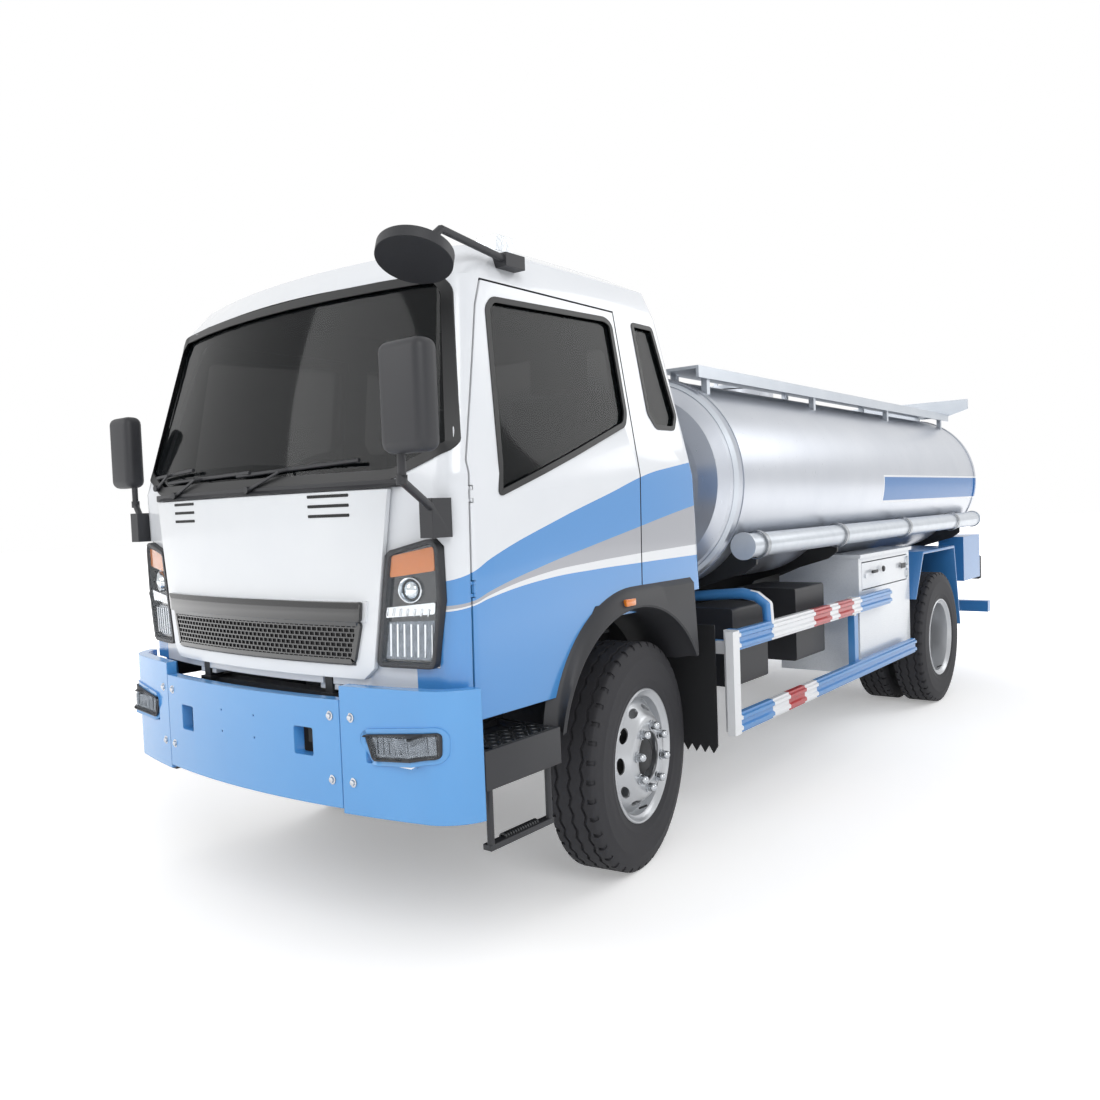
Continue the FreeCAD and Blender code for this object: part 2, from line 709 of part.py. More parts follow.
frame_half = s.frame_width / 2
rail_bottom = s.frame_top - s.rail_height
spring_place = frame_half - s.spring_width / 2
spring_seat_top = wheel_height + s.axle_tube_radius + s.rail_plate
hub_inner = s.rear_track_half - s.twin_spacing / 2 - s.rim_width / 2
tube = cylinder("axle_tube", "X", (-(hub_inner - s.rail_plate), rear_axle, wheel_height),
                s.axle_tube_radius, (hub_inner - s.rail_plate) * 2)
spindle_reach = s.rear_track_half - s.rail_plate
rear_spindle = cylinder("rear_spindle", "X", (-spindle_reach, rear_axle, wheel_height),
                        s.spindle_radius, spindle_reach * 2)
gear_case = cylinder("gear_case", "Y", (0, rear_axle - s.axle_tube_radius, wheel_height),
                     s.axle_tube_radius * 2.8, s.axle_tube_radius * 2.2)
case_nose = cone("case_nose", "Y", (0, rear_axle - s.axle_tube_radius * 4, wheel_height),
                 s.axle_tube_radius * 0.9, s.axle_tube_radius * 2, s.axle_tube_radius * 3)
case_cover = cone("case_cover", "Y", (0, rear_axle + s.axle_tube_radius * 1.2, wheel_height),
                  s.axle_tube_radius * 2.5, s.axle_tube_radius * 1.6, s.axle_tube_radius * 0.5)
spring_seats = [
    box("spring_seat_" + word,
        (spring_place * side - s.spring_width / 2, spring_place * side + s.spring_width / 2),
        (rear_axle - s.axle_tube_radius, rear_axle + s.axle_tube_radius),
        (wheel_height, spring_seat_top))
    for side, word in ((1, "left"), (-1, "right"))
]
finish(fuse("rear_axle_body", tube, rear_spindle, gear_case, case_nose, case_cover, *spring_seats),
       "rear_axle")

# Leaf springs with their hangers


def leaf_spring(name, middle, seat):
    """A leaf pack, thick at its seat and thin at its ends, hung from the rail at both ends."""
    length = s.spring_half_length
    rise = s.spring_camber
    tip = s.spring_pack / 4
    upper_rise = rise + tip - s.spring_pack
    lower_radius = (length * length + rise * rise) / (rise * 2)
    upper_radius = (length * length + upper_rise * upper_rise) / (upper_rise * 2)
    across = (spring_place - s.spring_width / 2, spring_place + s.spring_width / 2)
    leaves = prism(name + "_leaves", "YZ", [
        (middle - length, seat + rise, lower_radius), (middle + length, seat + rise),
        (middle + length, seat + rise + tip, -upper_radius), (middle - length, seat + rise + tip),
    ], across)
    hangers = []
    for index, end in enumerate((middle - length, middle + length)):
        hangers.append(box("%s_hanger_%d" % (name, index),
                           (across[0] + s.rail_plate, across[1] - s.rail_plate),
                           (end - s.spring_pack / 2, end + s.spring_pack / 2),
                           (seat + rise + tip / 2, rail_bottom)))
    return fuse(name, leaves, *hangers)


front_spring = leaf_spring("front_spring", front_axle, beam_top)
rear_spring = leaf_spring("rear_spring", rear_axle, spring_seat_top)
finish(group("leaf_springs_all", front_spring, rear_spring,
             mirrored("front_spring_right", front_spring),
             mirrored("rear_spring_right", rear_spring)), "leaf_springs")

# Ladder frame: two rails, cross members, cab hinge brackets and the rear cab rest

rail_front = front_axle - s.front_rail_end
rail_rear = rear_end - s.rear_rail_end
plate = s.rail_plate
rail = prism("frame_rail", "XZ", [
    (frame_half, rail_bottom), (frame_half, s.frame_top),
    (frame_half - s.rail_flange, s.frame_top), (frame_half - s.rail_flange, s.frame_top - plate),
    (frame_half - plate, s.frame_top - plate), (frame_half - plate, rail_bottom + plate),
    (frame_half - s.rail_flange, rail_bottom + plate), (frame_half - s.rail_flange, rail_bottom),
], (rail_front, rail_rear))
member_height = s.rail_height * 0.45
member_top = s.frame_top - plate
member_depth = s.rail_flange
member_places = [
    rail_front + member_depth, front_axle + s.cab_rear - member_depth,
    front_axle + s.wheelbase * 0.4, front_axle + s.wheelbase * 0.62,
    rear_axle - s.spring_half_length * 1.25, rear_axle + s.spring_half_length * 1.25,
    rail_rear - member_depth,
]
members = [
    box("cross_member_%d" % index, (-(frame_half - plate), frame_half - plate),
        (middle - member_depth / 2, middle + member_depth / 2),
        (member_top - member_height, member_top))
    for index, middle in enumerate(member_places)
]
pivot_y = front_axle - s.tilt_pivot_reach
pivot_z = s.tilt_pivot_height
pivot_radius = s.spindle_radius / 2
ear_width = s.spindle_radius
ear_place = frame_half - s.rail_flange / 2
cab_floor_bottom = s.cab_floor - s.floor_plate
front_beam_y = (rail_front + s.rail_plate * 2.5, rail_front + s.rail_plate * 8)
front_beam_z = (rail_bottom + s.rail_height * 0.12, rail_bottom + s.rail_height * 0.4)
front_beam = box("front_beam", (frame_half - plate, s.bumper_split * 1.2), front_beam_y, front_beam_z)
frame_parts = [rail, mirrored("frame_rail_right", rail),
               front_beam, mirrored("front_beam_right", front_beam)] + members
for side, word in ((1, "left"), (-1, "right")):
    middle = ear_place * side
    low, high = middle - ear_width / 2, middle + ear_width / 2
    frame_parts.append(box("hinge_bracket_" + word, (low, high),
                           (pivot_y - pivot_radius * 1.5, rail_front + member_depth),
                           (rail_bottom, pivot_z + pivot_radius * 1.5)))
    frame_parts.append(cylinder("hinge_pin_" + word, "X",
                                (middle - ear_width * 1.5, pivot_y, pivot_z),
                                pivot_radius, ear_width * 3))
    rest_low, rest_high = middle - s.rail_flange / 2, middle + s.rail_flange / 2
    frame_parts.append(box("cab_rest_" + word, (rest_low, rest_high),
                           (front_axle + s.cab_rear - member_depth * 1.5,
                            front_axle + s.cab_rear - member_depth / 2),
                           (s.frame_top - plate, cab_floor_bottom - s.seat_gap)))
finish(fuse("frame_body", *frame_parts), "chassis_frame")

# Engine, gearbox and propeller shaft

engine_top = s.engine_base + s.engine_height
engine_rear = front_axle - s.engine_front + s.engine_length
engine = box("engine_main", (-s.engine_width / 2, s.engine_width / 2),
             (front_axle - s.engine_front, engine_rear), (s.engine_base, engine_top))
engine_lugs = [
    box("engine_lug_" + word, (low, high),
        (engine_rear - s.engine_length * 0.4, engine_rear - s.engine_length * 0.3),
        (rail_bottom + s.rail_height * 0.35, rail_bottom + s.rail_height * 0.6))
    for word, low, high in (
        ("left", s.engine_width / 2, frame_half - plate - s.seat_gap),
        ("right", -(frame_half - plate - s.seat_gap), -s.engine_width / 2))
]
finish(fuse("engine_body", engine, *engine_lugs), "engine_block")

shaft_height = s.engine_base + s.engine_height * 0.2
gearbox_radius = s.engine_height * 0.28
gearbox_length = s.engine_length * 0.55
gearbox = cone("gearbox", "Y", (0, engine_rear + s.seat_gap, shaft_height),
               gearbox_radius * 1.2, gearbox_radius * 0.7, gearbox_length)
shaft_start = engine_rear + s.seat_gap + gearbox_length
shaft_end = rear_axle - s.axle_tube_radius * 4
shaft = strut("propeller_tube", (0, shaft_start - 1, shaft_height), (0, shaft_end, wheel_height),
              s.spindle_radius)
shaft_stop = box("shaft_stop", (-s.spindle_radius * 2, s.spindle_radius * 2),
                 (shaft_end - s.seat_gap, shaft_end + s.spindle_radius),
                 (wheel_height - s.spindle_radius * 2, wheel_height + s.spindle_radius * 2))
finish(cut("drive_line_body", fuse("drive_line_solid", gearbox, shaft), shaft_stop), "drive_line")

# Bumper: a bowed centre piece and two wrap-round corner pieces

face = front_axle - s.bumper_reach
corner_start = s.bumper_half_width - s.bumper_corner
bow_radius = (corner_start * corner_start + s.bumper_bow * s.bumper_bow) / (s.bumper_bow * 2)


def bow_at(x, radius):
    """How far a face of the given radius curves back at x from the middle."""
    return radius - root(radius * radius - x * x)


split = s.bumper_split
bumper_inner_radius = bow_radius - s.bumper_wall
split_out = face + bow_at(split, bow_radius)
split_in = face + s.bumper_wall + bow_at(split, bumper_inner_radius)
centre = prism("bumper_centre", "XY", [
    (-split, split_out, bow_radius), (split, split_out),
    (split, split_in, -bumper_inner_radius), (-split, split_in),
], (s.bumper_bottom + s.rail_plate * 2, s.bumper_top))
inlet_half = s.rail_plate * 6
inlet_place = s.bumper_split * 0.68
inlets = [
    prism("bumper_inlet_" + word, "XZ", rounded(
        (inlet_place * side - inlet_half, inlet_place * side + inlet_half),
        (s.bumper_top - s.rail_height, s.bumper_top - s.rail_height + inlet_half * 2.1),
        s.rail_plate), (face - s.bumper_wall, face + s.bumper_wall * 3))
    for side, word in ((1, "left"), (-1, "right"))
]
plate_holes = [
    cylinder("plate_hole_%d_%d" % (index, row), "Y", (x, face - s.bumper_wall, z), s.rail_plate / 2,
             s.bumper_wall * 4)
    for index, x in enumerate((-s.rail_height * 0.5, s.rail_height * 0.5))
    for row, z in enumerate((s.bumper_top - s.rail_height * 0.85,
                             s.bumper_top - s.rail_height * 0.45))
]
corner_gap = s.rail_plate / 2
start = split + corner_gap
start_out = face + bow_at(start, bow_radius)
start_in = face + s.bumper_wall + bow_at(start, bumper_inner_radius)
turn_out = face + s.bumper_bow
turn_x_in = corner_start - s.bumper_wall / 4
turn_in = face + s.bumper_wall + bow_at(turn_x_in, bumper_inner_radius)
end_y = front_axle - s.bumper_end
corner_radius = s.bumper_corner * 1.25
corner_inner_radius = corner_radius - s.bumper_wall
corner = prism("bumper_corner_left", "XY", [
    (start, start_out, bow_radius), (corner_start, turn_out, corner_radius),
    (s.bumper_half_width, end_y), (s.bumper_half_width - s.bumper_wall, end_y, -corner_inner_radius),
    (turn_x_in, turn_in, -bumper_inner_radius), (start, start_in),
], (s.bumper_bottom, s.bumper_corner_top))
fog_low_x, fog_high_x = s.bumper_half_width * 0.64, s.bumper_half_width * 0.84
fog_low_z = s.bumper_bottom + s.rail_height * 0.9
fog_high_z = s.bumper_bottom + s.rail_height * 1.36
fog_recess = prism("fog_recess", "XZ", rounded(
    (fog_low_x - s.seat_gap, fog_high_x + s.seat_gap),
    (fog_low_z - s.seat_gap, fog_high_z + s.seat_gap),
    s.rail_plate), (face - s.bumper_wall, face + s.bumper_bow + s.bumper_wall * 2))
pad_z = (rail_bottom + s.rail_height * 0.1, rail_bottom + s.rail_height * 0.42)
pad_y = (split_out + s.bumper_wall / 2, rail_front + s.rail_plate * 2.5 - s.seat_gap)
pad_width = s.bumper_split * 0.12


def bumper_pad(name, low):
    """A block that stands off the shell's inside and meets the frame's front beam."""
    return box(name, (low, low + pad_width), pad_y, pad_z)


left_corner = cut("bumper_corner_cut",
                  fuse("bumper_corner_solid", corner, bumper_pad("corner_pad", split + pad_width / 3)),
                  fog_recess)
centre_pad = bumper_pad("centre_pad", split - pad_width * 1.4)
centre_solid = fuse("bumper_centre_solid", centre, centre_pad,
                    mirrored("centre_pad_right", centre_pad))
finish(group("bumper_group", cut("bumper_centre_cut", centre_solid, *inlets, *plate_holes),
             left_corner, mirrored("bumper_corner_right", left_corner)), "bumper")
fog_face = face + bow_at(fog_low_x, bow_radius) + s.rail_plate * 2
fog_lamp = prism("fog_lamp", "XZ", rounded(
    (fog_low_x, fog_high_x), (fog_low_z, fog_high_z), s.rail_plate),
    (fog_face, fog_face + s.bumper_wall * 1.4))

# Cab: one outer form, drawn at five heights, from which walls, doors and glass are cut

drip_height = s.waist_height + s.window_rise
shoulder_height = drip_height + s.shoulder_rise
roof_height = shoulder_height + s.roof_rise
CAB_LEVELS = [
    (s.cab_bottom, s.sill_half_width, s.cab_front_sill, s.cab_rear_sill),
    (s.waist_height, s.cab_half_width, s.cab_front, s.cab_rear),
    (drip_height, s.drip_half_width, s.cab_front_drip, s.cab_rear_drip),
    (shoulder_height, s.shoulder_half_width, s.cab_front_shoulder,
     s.cab_rear_drip - s.cab_corner * 0.3),
    (roof_height, s.roof_half_width, s.cab_front_roof, s.cab_rear_drip - s.cab_corner * 1.4),
]


def cab_outline(inset, half_width, front, rear):
    """Plan of the cab at one height: bowed face, round corners, flat sides and back."""
    side = half_width - inset
    corner = s.cab_corner - inset
    rear_corner = s.cab_rear_corner - inset
    bow_half = side - corner
    bow = s.cab_bow
    radius = (bow_half * bow_half + bow * bow) / (bow * 2)
    face_y = front_axle - front + inset
    back = front_axle + rear - inset
    return [
        (-bow_half, face_y + bow, radius), (bow_half, face_y + bow, corner),
        (side, face_y + bow + corner), (side, back - rear_corner, rear_corner),
        (side - rear_corner, back), (-(side - rear_corner), back, rear_corner),
        (-side, back - rear_corner), (-side, face_y + bow + corner, corner),
    ]


def cab_form(name, inset, floor=None):
    """The cab's outer form, moved inwards by an inset; a floor raises its lowest section."""
    body = doc.addObject("PartDesign::Body", name)
    sections = []
    for index, (height, half_width, front, rear) in enumerate(CAB_LEVELS):
        level = height
        if index == 0 and floor is not None:
            level = floor
        if index >= len(CAB_LEVELS) - 1:
            level = height - inset
        sections.append(sketch(body, "%s_level_%d" % (name, index), "XY",
                               cab_outline(inset, half_width, front, rear), level))
    loft = body.newObject("PartDesign::AdditiveLoft", name + "_loft")
    loft.Profile = sections[0]
    loft.Sections = sections[1:]
    loft.Ruled = True
    return body


def skin(name, outer, inner, outline_body):
    """A curved plate between two forms of the cab, trimmed to an outline."""
    return cut(name, common(name + "_trim", outer, outline_body), inner)


cab_outer = cab_form("cab_outer", 0)
cab_inner = cab_form("cab_inner", s.cab_wall, s.cab_floor)
glass_outer = cab_form("glass_outer", s.glass_depth)
glass_inner = cab_form("glass_inner", s.glass_depth + s.glass_plate)
panel_outer = cab_form("panel_outer", -s.panel_stand)
panel_inner = cab_form("panel_inner", -s.door_gap)

front_start = front_axle - s.front_reach
side_limit = s.mirror_half_span
cab_back = front_axle + s.cab_rear_sill

# Outline of the door, its opening and its window, seen from the left
door_front = front_axle - s.door_front
door_rear = front_axle + s.door_rear
door_lean = s.cab_front_sill - s.cab_front_drip
window_sill = s.waist_height + s.rail_height
door_top = drip_height - s.door_gap * 2


def door_outline(grow):
    """The door's edge: upright lower front, leaning pillar, and a lower edge over the wheel."""
    low = s.cab_bottom
    return [
        (door_front - grow, low - grow),
        (front_axle - s.arch_radius - grow, low - grow),
        (front_axle - s.arch_radius * 0.55 + grow, s.cab_floor + s.door_gap - grow),
        (door_rear + grow, s.cab_floor + s.door_gap - grow),
        (door_rear + grow, door_top + grow),
        (door_front + door_lean * 1.35 - grow, door_top + grow),
        (door_front + door_lean * 1.05 - grow, door_top - s.cab_corner + grow),
        (door_front - grow, s.waist_height + s.cab_corner * 0.45),
    ]


def window_outline(grow):
    """The door's window: its sill drops towards the front in two steps."""
    return [
        (door_front + door_lean * 0.92 - grow, s.waist_height - s.rail_height * 0.35 - grow),
        (front_axle - s.cab_front * 0.34, s.waist_height + s.rail_height * 0.37 - grow),
        (door_rear - s.cab_corner * 0.55, window_sill - grow),
        (door_rear - s.cab_corner * 0.3 + grow, window_sill + s.rail_height * 0.25),
        (door_rear - s.cab_corner * 0.3 + grow, door_top - s.cab_corner * 0.55),
        (door_rear - s.cab_corner * 0.7, door_top - s.cab_corner * 0.35 + grow),
        (door_front + door_lean * 1.64, door_top - s.cab_corner * 0.6 + grow),
        (door_front + door_lean * 1.39 - grow, door_top - s.cab_corner + grow),
    ]


half_cab = s.cab_half_width / 2
door_hole = cut("door_hole",
                prism("door_hole_block", "YZ", door_outline(s.door_gap), (half_cab, side_limit)),
                box("floor_keep", (half_cab - 1, s.sill_half_width - s.cab_wall - s.door_gap * 2),
                    (front_start, cab_back), (s.cab_bottom - s.cab_wall, s.cab_floor)))
door_block = prism("door_block", "YZ", door_outline(0), (half_cab, side_limit))
window_hole = prism("window_hole", "YZ", window_outline(0), (half_cab, side_limit))
window_pane = prism("window_pane", "YZ", window_outline(-s.seat_gap), (half_cab, side_limit))


def quarter_outline(grow):
    """The fixed window behind the door: its rear edge leans with the cab's back."""
    front = door_rear + s.cab_corner * 1.4
    low = window_sill
    high = door_top - s.cab_corner * 0.3
    back_low = front_axle + s.cab_rear - s.cab_corner * 1.1
    back_high = front_axle + s.cab_rear_drip - s.cab_corner * 0.85
    return [
        (front + s.cab_corner * 0.6, low - grow), (back_low - s.cab_corner * 0.35, low - grow),
        (back_low + grow, low + s.cab_corner * 0.6), (back_high + grow, high + grow),
        (front - grow, high + grow), (front + s.cab_corner * 0.1 - grow, low + s.cab_corner * 0.6),
    ]


quarter_hole = prism("quarter_hole", "YZ", quarter_outline(0), (half_cab, side_limit))
quarter_pane = prism("quarter_pane", "YZ", quarter_outline(-s.seat_gap), (half_cab, side_limit))

# Windscreen, seen from the front: its lower edge rises to the corners
screen_low_half = s.cab_half_width - s.cab_corner * 0.45
screen_top_half = s.drip_half_width - s.cab_corner * 0.4
screen_back = door_front + s.cab_corner * 1.6


def screen_outline(grow):
    """The windscreen's edge from the front."""
    low = s.waist_height + s.door_gap
    top = drip_height - s.door_gap
    sweep = s.waist_height * 8
    return [
        (-(s.panel_top_half - grow), low - grow), (s.panel_top_half - grow, low - grow),
        (screen_low_half + grow, low + s.cab_corner * 0.9 - grow),
        (screen_top_half + grow, top - s.cab_corner / 2),
        (screen_top_half - s.cab_corner / 2, top + grow, sweep),
        (-(screen_top_half - s.cab_corner / 2), top + grow),
        (-(screen_top_half + grow), top - s.cab_corner / 2),
        (-(screen_low_half + grow), low + s.cab_corner * 0.9 - grow),
    ]


screen_hole = prism("screen_hole", "XZ", screen_outline(0), (front_start, screen_back))
screen_pane = prism("screen_pane", "XZ", screen_outline(-s.seat_gap), (front_start, screen_back))
back_half = s.roof_half_width * 0.86
back_low = window_sill + s.cab_corner * 0.4
back_top = door_top - s.cab_corner * 0.7
back_hole = prism("back_hole", "XZ", rounded(
    (-back_half, back_half), (back_low, back_top), s.cab_corner / 2), (front_axle, cab_back))
back_pane = prism("back_pane", "XZ", rounded(
    (-(back_half - s.seat_gap), back_half - s.seat_gap),
    (back_low + s.seat_gap, back_top - s.seat_gap), s.cab_corner / 2), (front_axle, cab_back))

# Headlamps stand in the front corners, beside the service panel
panel_slope = (s.panel_top_half - s.panel_bottom_half) / (s.panel_top - s.panel_bottom)
lamp_back = door_front - s.cab_corner * 0.42
lamp_gap = s.door_gap * 2


def panel_half(height):
    """Half width of the service panel at a height."""
    return s.panel_bottom_half + panel_slope * (height - s.panel_bottom)


def lamp_outline(grow):
    """Edge of a headlamp from the front: along the panel, slanting up to the outside."""
    inner_top = s.lamp_top - s.cab_corner * 0.45
    return [
        (panel_half(s.lamp_bottom) + lamp_gap - grow, s.lamp_bottom - grow),
        (s.lamp_outer - s.cab_corner * 0.4 + grow, s.lamp_bottom - grow),
        (s.lamp_outer + grow, s.lamp_bottom + s.cab_corner * 2.3),
        (s.lamp_outer + grow, s.lamp_top - s.cab_corner * 0.3),
        (s.lamp_outer - s.cab_corner * 0.3 + grow, s.lamp_top + grow),
        (panel_half(inner_top) + lamp_gap - grow, inner_top + grow),
    ]


lamp_hole = prism("lamp_hole", "XZ", lamp_outline(s.seat_gap), (front_start, lamp_back))
lamp_block = prism("lamp_block", "XZ", lamp_outline(0), (front_start, lamp_back - s.seat_gap))
lamp_inner = cab_form("lamp_inner", s.cab_wall - s.glass_plate)
headlamp = skin("headlamp", cab_outer, lamp_inner, lamp_block)

# The cab's underside: open below the floor, cut away over the front wheels
skirt = s.cab_wall
under_floor = common("under_floor", cab_form("under_form", s.cab_wall), box(
    "under_block", (-side_limit, side_limit), (front_start, cab_back + skirt),
    (s.cab_bottom - skirt, cab_floor_bottom)))
under_back = box("under_back", (-side_limit, side_limit), (front_axle, cab_back + skirt),
                 (s.cab_bottom - skirt, cab_floor_bottom))
under_sill = box("under_sill", (-side_limit, side_limit), (front_start, door_front + s.door_gap),
                 (s.cab_bottom - skirt, s.cab_sill))
arch_inner = s.sill_half_width - s.cab_wall
wheel_cut = front_axle - s.arch_radius - s.cab_corner * 0.3
over_wheel = prism("over_wheel", "YZ", [
    (wheel_cut, s.cab_bottom - skirt),
    (cab_back + skirt, s.cab_bottom - skirt), (cab_back + skirt, s.cab_floor),
    (wheel_cut + s.arch_radius * 0.5, s.cab_floor), (wheel_cut, s.cab_bottom),
], (arch_inner - s.seat_gap, side_limit))
pin_ears = []
pin_holes = []
bracket_slots = []
for side, word in ((1, "left"), (-1, "right")):
    for step, name in ((1, "outer"), (-1, "inner")):
        middle = ear_place * side + ear_width * step
        low, high = middle - ear_width * 0.36, middle + ear_width * 0.36
        pin_ears.append(box("cab_ear_%s_%s" % (name, word), (low, high),
                            (pivot_y - pivot_radius * 1.2, pivot_y + pivot_radius * 8),
                            (pivot_z - pivot_radius * 1.6, cab_floor_bottom + 1)))
    slot_half = ear_width * 0.64
    bracket_slots.append(box("bracket_slot_" + word,
                             (ear_place * side - slot_half, ear_place * side + slot_half),
                             (front_start, pivot_y + pivot_radius * 4),
                             (s.cab_bottom - skirt, pivot_z + pivot_radius * 2.5)))
    pin_holes.append(cylinder("cab_pin_hole_" + word, "X",
                              (ear_place * side - ear_width * 2, pivot_y, pivot_z),
                              pivot_radius + s.seat_gap, ear_width * 4))
side_holes = [door_hole, mirrored("door_hole_right", door_hole),
              quarter_hole, mirrored("quarter_hole_right", quarter_hole),
              lamp_hole, mirrored("lamp_hole_right", lamp_hole),
              over_wheel, mirrored("over_wheel_right", over_wheel)]
cab_hollow = cut("cab_hollow", cab_outer, cab_inner, under_floor, under_back, under_sill,
                 screen_hole, back_hole, *side_holes)

# Small hinges: the cab's lugs hold a pin, with the door's or panel's barrel between them
pin_small = s.hinge_barrel * 0.3
barrel_small = s.hinge_barrel * 0.62
barrel_reach = s.hinge_barrel * 1.8
lug_reach = s.hinge_barrel * 3.3
swing_x = s.cab_half_width - s.hinge_barrel * 0.75
swing_y = door_front + s.hinge_barrel * 0.75
door_lugs = []
door_notches = []
door_barrels = []
door_bores = []
for index, z in enumerate((s.waist_height - s.cab_corner * 0.7, s.waist_height - s.cab_corner * 3.9)):
    door_lugs.append(cylinder("door_pin_%d" % index, "Z", (swing_x, swing_y, z - lug_reach),
                              pin_small, lug_reach * 2))
    door_barrels.append(cylinder("door_barrel_%d" % index, "Z",
                                 (swing_x, swing_y, z - barrel_reach + s.seat_gap),
                                 barrel_small, (barrel_reach - s.seat_gap) * 2))
    door_bores.append(cylinder("door_bore_%d" % index, "Z", (swing_x, swing_y, z - lug_reach),
                               pin_small + s.seat_gap, lug_reach * 2))
    for name, low in (("low", z - lug_reach), ("high", z + barrel_reach)):
        length = lug_reach - barrel_reach
        door_lugs.append(cylinder("door_lug_%s_%d" % (name, index), "Z", (swing_x, swing_y, low),
                                  barrel_small, length))
        door_lugs.append(box("door_lug_arm_%s_%d" % (name, index),
                             (swing_x - s.hinge_barrel * 3, swing_x - s.hinge_barrel / 2),
                             (door_front - s.door_gap - 1, swing_y), (low, low + length)))
        space = s.seat_gap if name == "high" else s.hinge_barrel * 0.4
        room = length + s.seat_gap + s.hinge_barrel * 0.4
        door_notches.append(box("door_notch_%s_%d" % (name, index),
                                (swing_x - s.hinge_barrel * 3.4, swing_x + s.cab_corner),
                                (door_front - s.door_gap, swing_y + s.hinge_barrel * 0.4),
                                (low - space, low - space + room)))
        door_notches.append(cylinder("door_notch_round_%s_%d" % (name, index), "Z",
                                     (swing_x, swing_y, low - space),
                                     barrel_small + s.hinge_barrel * 0.3, room))
door_lug_group = fuse("door_lugs_left", *door_lugs)

flap_y = front_axle - s.cab_front - s.door_gap * 2
flap_z = s.panel_top - s.hinge_barrel * 0.6
panel_lugs = []
panel_notches = []
for index, x in enumerate((-s.cab_corner, s.cab_corner)):
    panel_lugs.append(cylinder("panel_pin_%d" % index, "X", (x - lug_reach, flap_y, flap_z),
                               pin_small, lug_reach * 2))
    panel_notches.append(cylinder("panel_bore_%d" % index, "X", (x - lug_reach, flap_y, flap_z),
                                  pin_small + s.seat_gap, lug_reach * 2))
    for name, low in (("low", x - lug_reach), ("high", x + barrel_reach)):
        length = lug_reach - barrel_reach
        panel_lugs.append(cylinder("panel_lug_%s_%d" % (name, index), "X", (low, flap_y, flap_z),
                                   barrel_small, length))
        panel_lugs.append(box("panel_lug_arm_%s_%d" % (name, index), (low, low + length),
                              (flap_y, front_axle - s.cab_front + s.hinge_barrel * 0.6),
                              (flap_z - barrel_small, flap_z + barrel_small)))
        space = s.seat_gap if name == "high" else s.hinge_barrel * 0.4
        panel_notches.append(box("panel_notch_%s_%d" % (name, index),
                                 (low - space, low - space + length + s.seat_gap + s.hinge_barrel * 0.4),
                                 (flap_y - barrel_small - s.hinge_barrel * 0.2, flap_y + s.cab_corner),
                                 (flap_z - barrel_small - s.hinge_barrel * 0.4,
                                  s.panel_top + s.hinge_barrel)))
cab_walls = cut("cab_walls", cab_hollow, *bracket_slots)
finish(cut("cab_body", fuse("cab_with_ears", cab_walls, door_lug_group,
                            mirrored("door_lugs_right", door_lug_group), *pin_ears, *panel_lugs),
           *pin_holes), "cab_shell")

windscreen = skin("windscreen", glass_outer, glass_inner, screen_pane)
quarter_glass = skin("quarter_glass", glass_outer, glass_inner, quarter_pane)
back_glass = skin("back_glass", glass_outer, glass_inner, back_pane)
finish(group("cab_panes", windscreen, back_glass, quarter_glass,
             mirrored("quarter_glass_right", quarter_glass)), "cab_glass")

# Doors with their panes
door_inner = cab_form("door_inner", s.cab_wall)
door_plate = cut("door_plate", skin("door_skin", cab_outer, door_inner, door_block), window_hole,
                 *door_notches)
door_solid = cut("door_solid", fuse("door_with_barrels", door_plate, *door_barrels), *door_bores)
door_pane = skin("door_pane", glass_outer, glass_inner, window_pane)
finish(door_solid, "door_left")
finish(mirrored("door_right_body", door_solid), "door_right")
finish(door_pane, "door_glass_left")
finish(mirrored("door_pane_right", door_pane), "door_glass_right")

# Lamps: headlamps and roof markers on the cab, fog lamps and tail lamps on the chassis
roof_seat = cab_form("roof_seat", -s.seat_gap)
roof_lamp_half = s.cab_corner / 2
roof_lamp = cut("roof_lamp", box(
    "roof_lamp_block",
    (s.roof_lamp_place - roof_lamp_half, s.roof_lamp_place + roof_lamp_half),
    (front_axle - s.roof_lamp_reach - roof_lamp_half, front_axle - s.roof_lamp_reach + roof_lamp_half),
    (shoulder_height, roof_height + s.door_gap)), roof_seat)
finish(group("cab_lamp_group", headlamp, mirrored("headlamp_right", headlamp),
             roof_lamp, mirrored("roof_lamp_right", roof_lamp)), "cab_lamps")

# Service panel with its grille slots, and the bar above them
bar_outer = cab_form("bar_outer", -(s.panel_stand + s.bar_stand))
panel_chamfer = s.cab_corner * 0.4
panel_plate = prism("panel_plate", "XZ", [
    (-(s.panel_bottom_half - panel_chamfer), s.panel_bottom),
    (s.panel_bottom_half - panel_chamfer, s.panel_bottom),
    (panel_half(s.panel_bottom + panel_chamfer), s.panel_bottom + panel_chamfer),
    (panel_half(s.panel_top), s.panel_top), (-panel_half(s.panel_top), s.panel_top),
    (-panel_half(s.panel_bottom + panel_chamfer), s.panel_bottom + panel_chamfer),
], (front_start, door_front))
bar_half = panel_half(s.bar_bottom) - s.cab_corner * 0.35
bar_plate = prism("bar_plate", "XZ", [
    (-(bar_half - s.cab_corner * 0.1), s.bar_bottom), (bar_half - s.cab_corner * 0.1, s.bar_bottom),
    (bar_half, s.bar_bottom + s.bar_height), (-bar_half, s.bar_bottom + s.bar_height),
], (front_start, door_front))
slot_pitch = (s.bar_bottom - s.panel_bottom - panel_chamfer * 1.2) / s.grille_slots
slots = []
for index in range(int(s.grille_slots.number)):
    low = s.bar_bottom - slot_pitch * (index + 1)
    slot_half = panel_half(low) - s.cab_corner * 0.8
    slots.append(box("grille_slot_%d" % index, (-slot_half, slot_half), (front_start, door_front),
                     (low, low + slot_pitch * 0.55)))
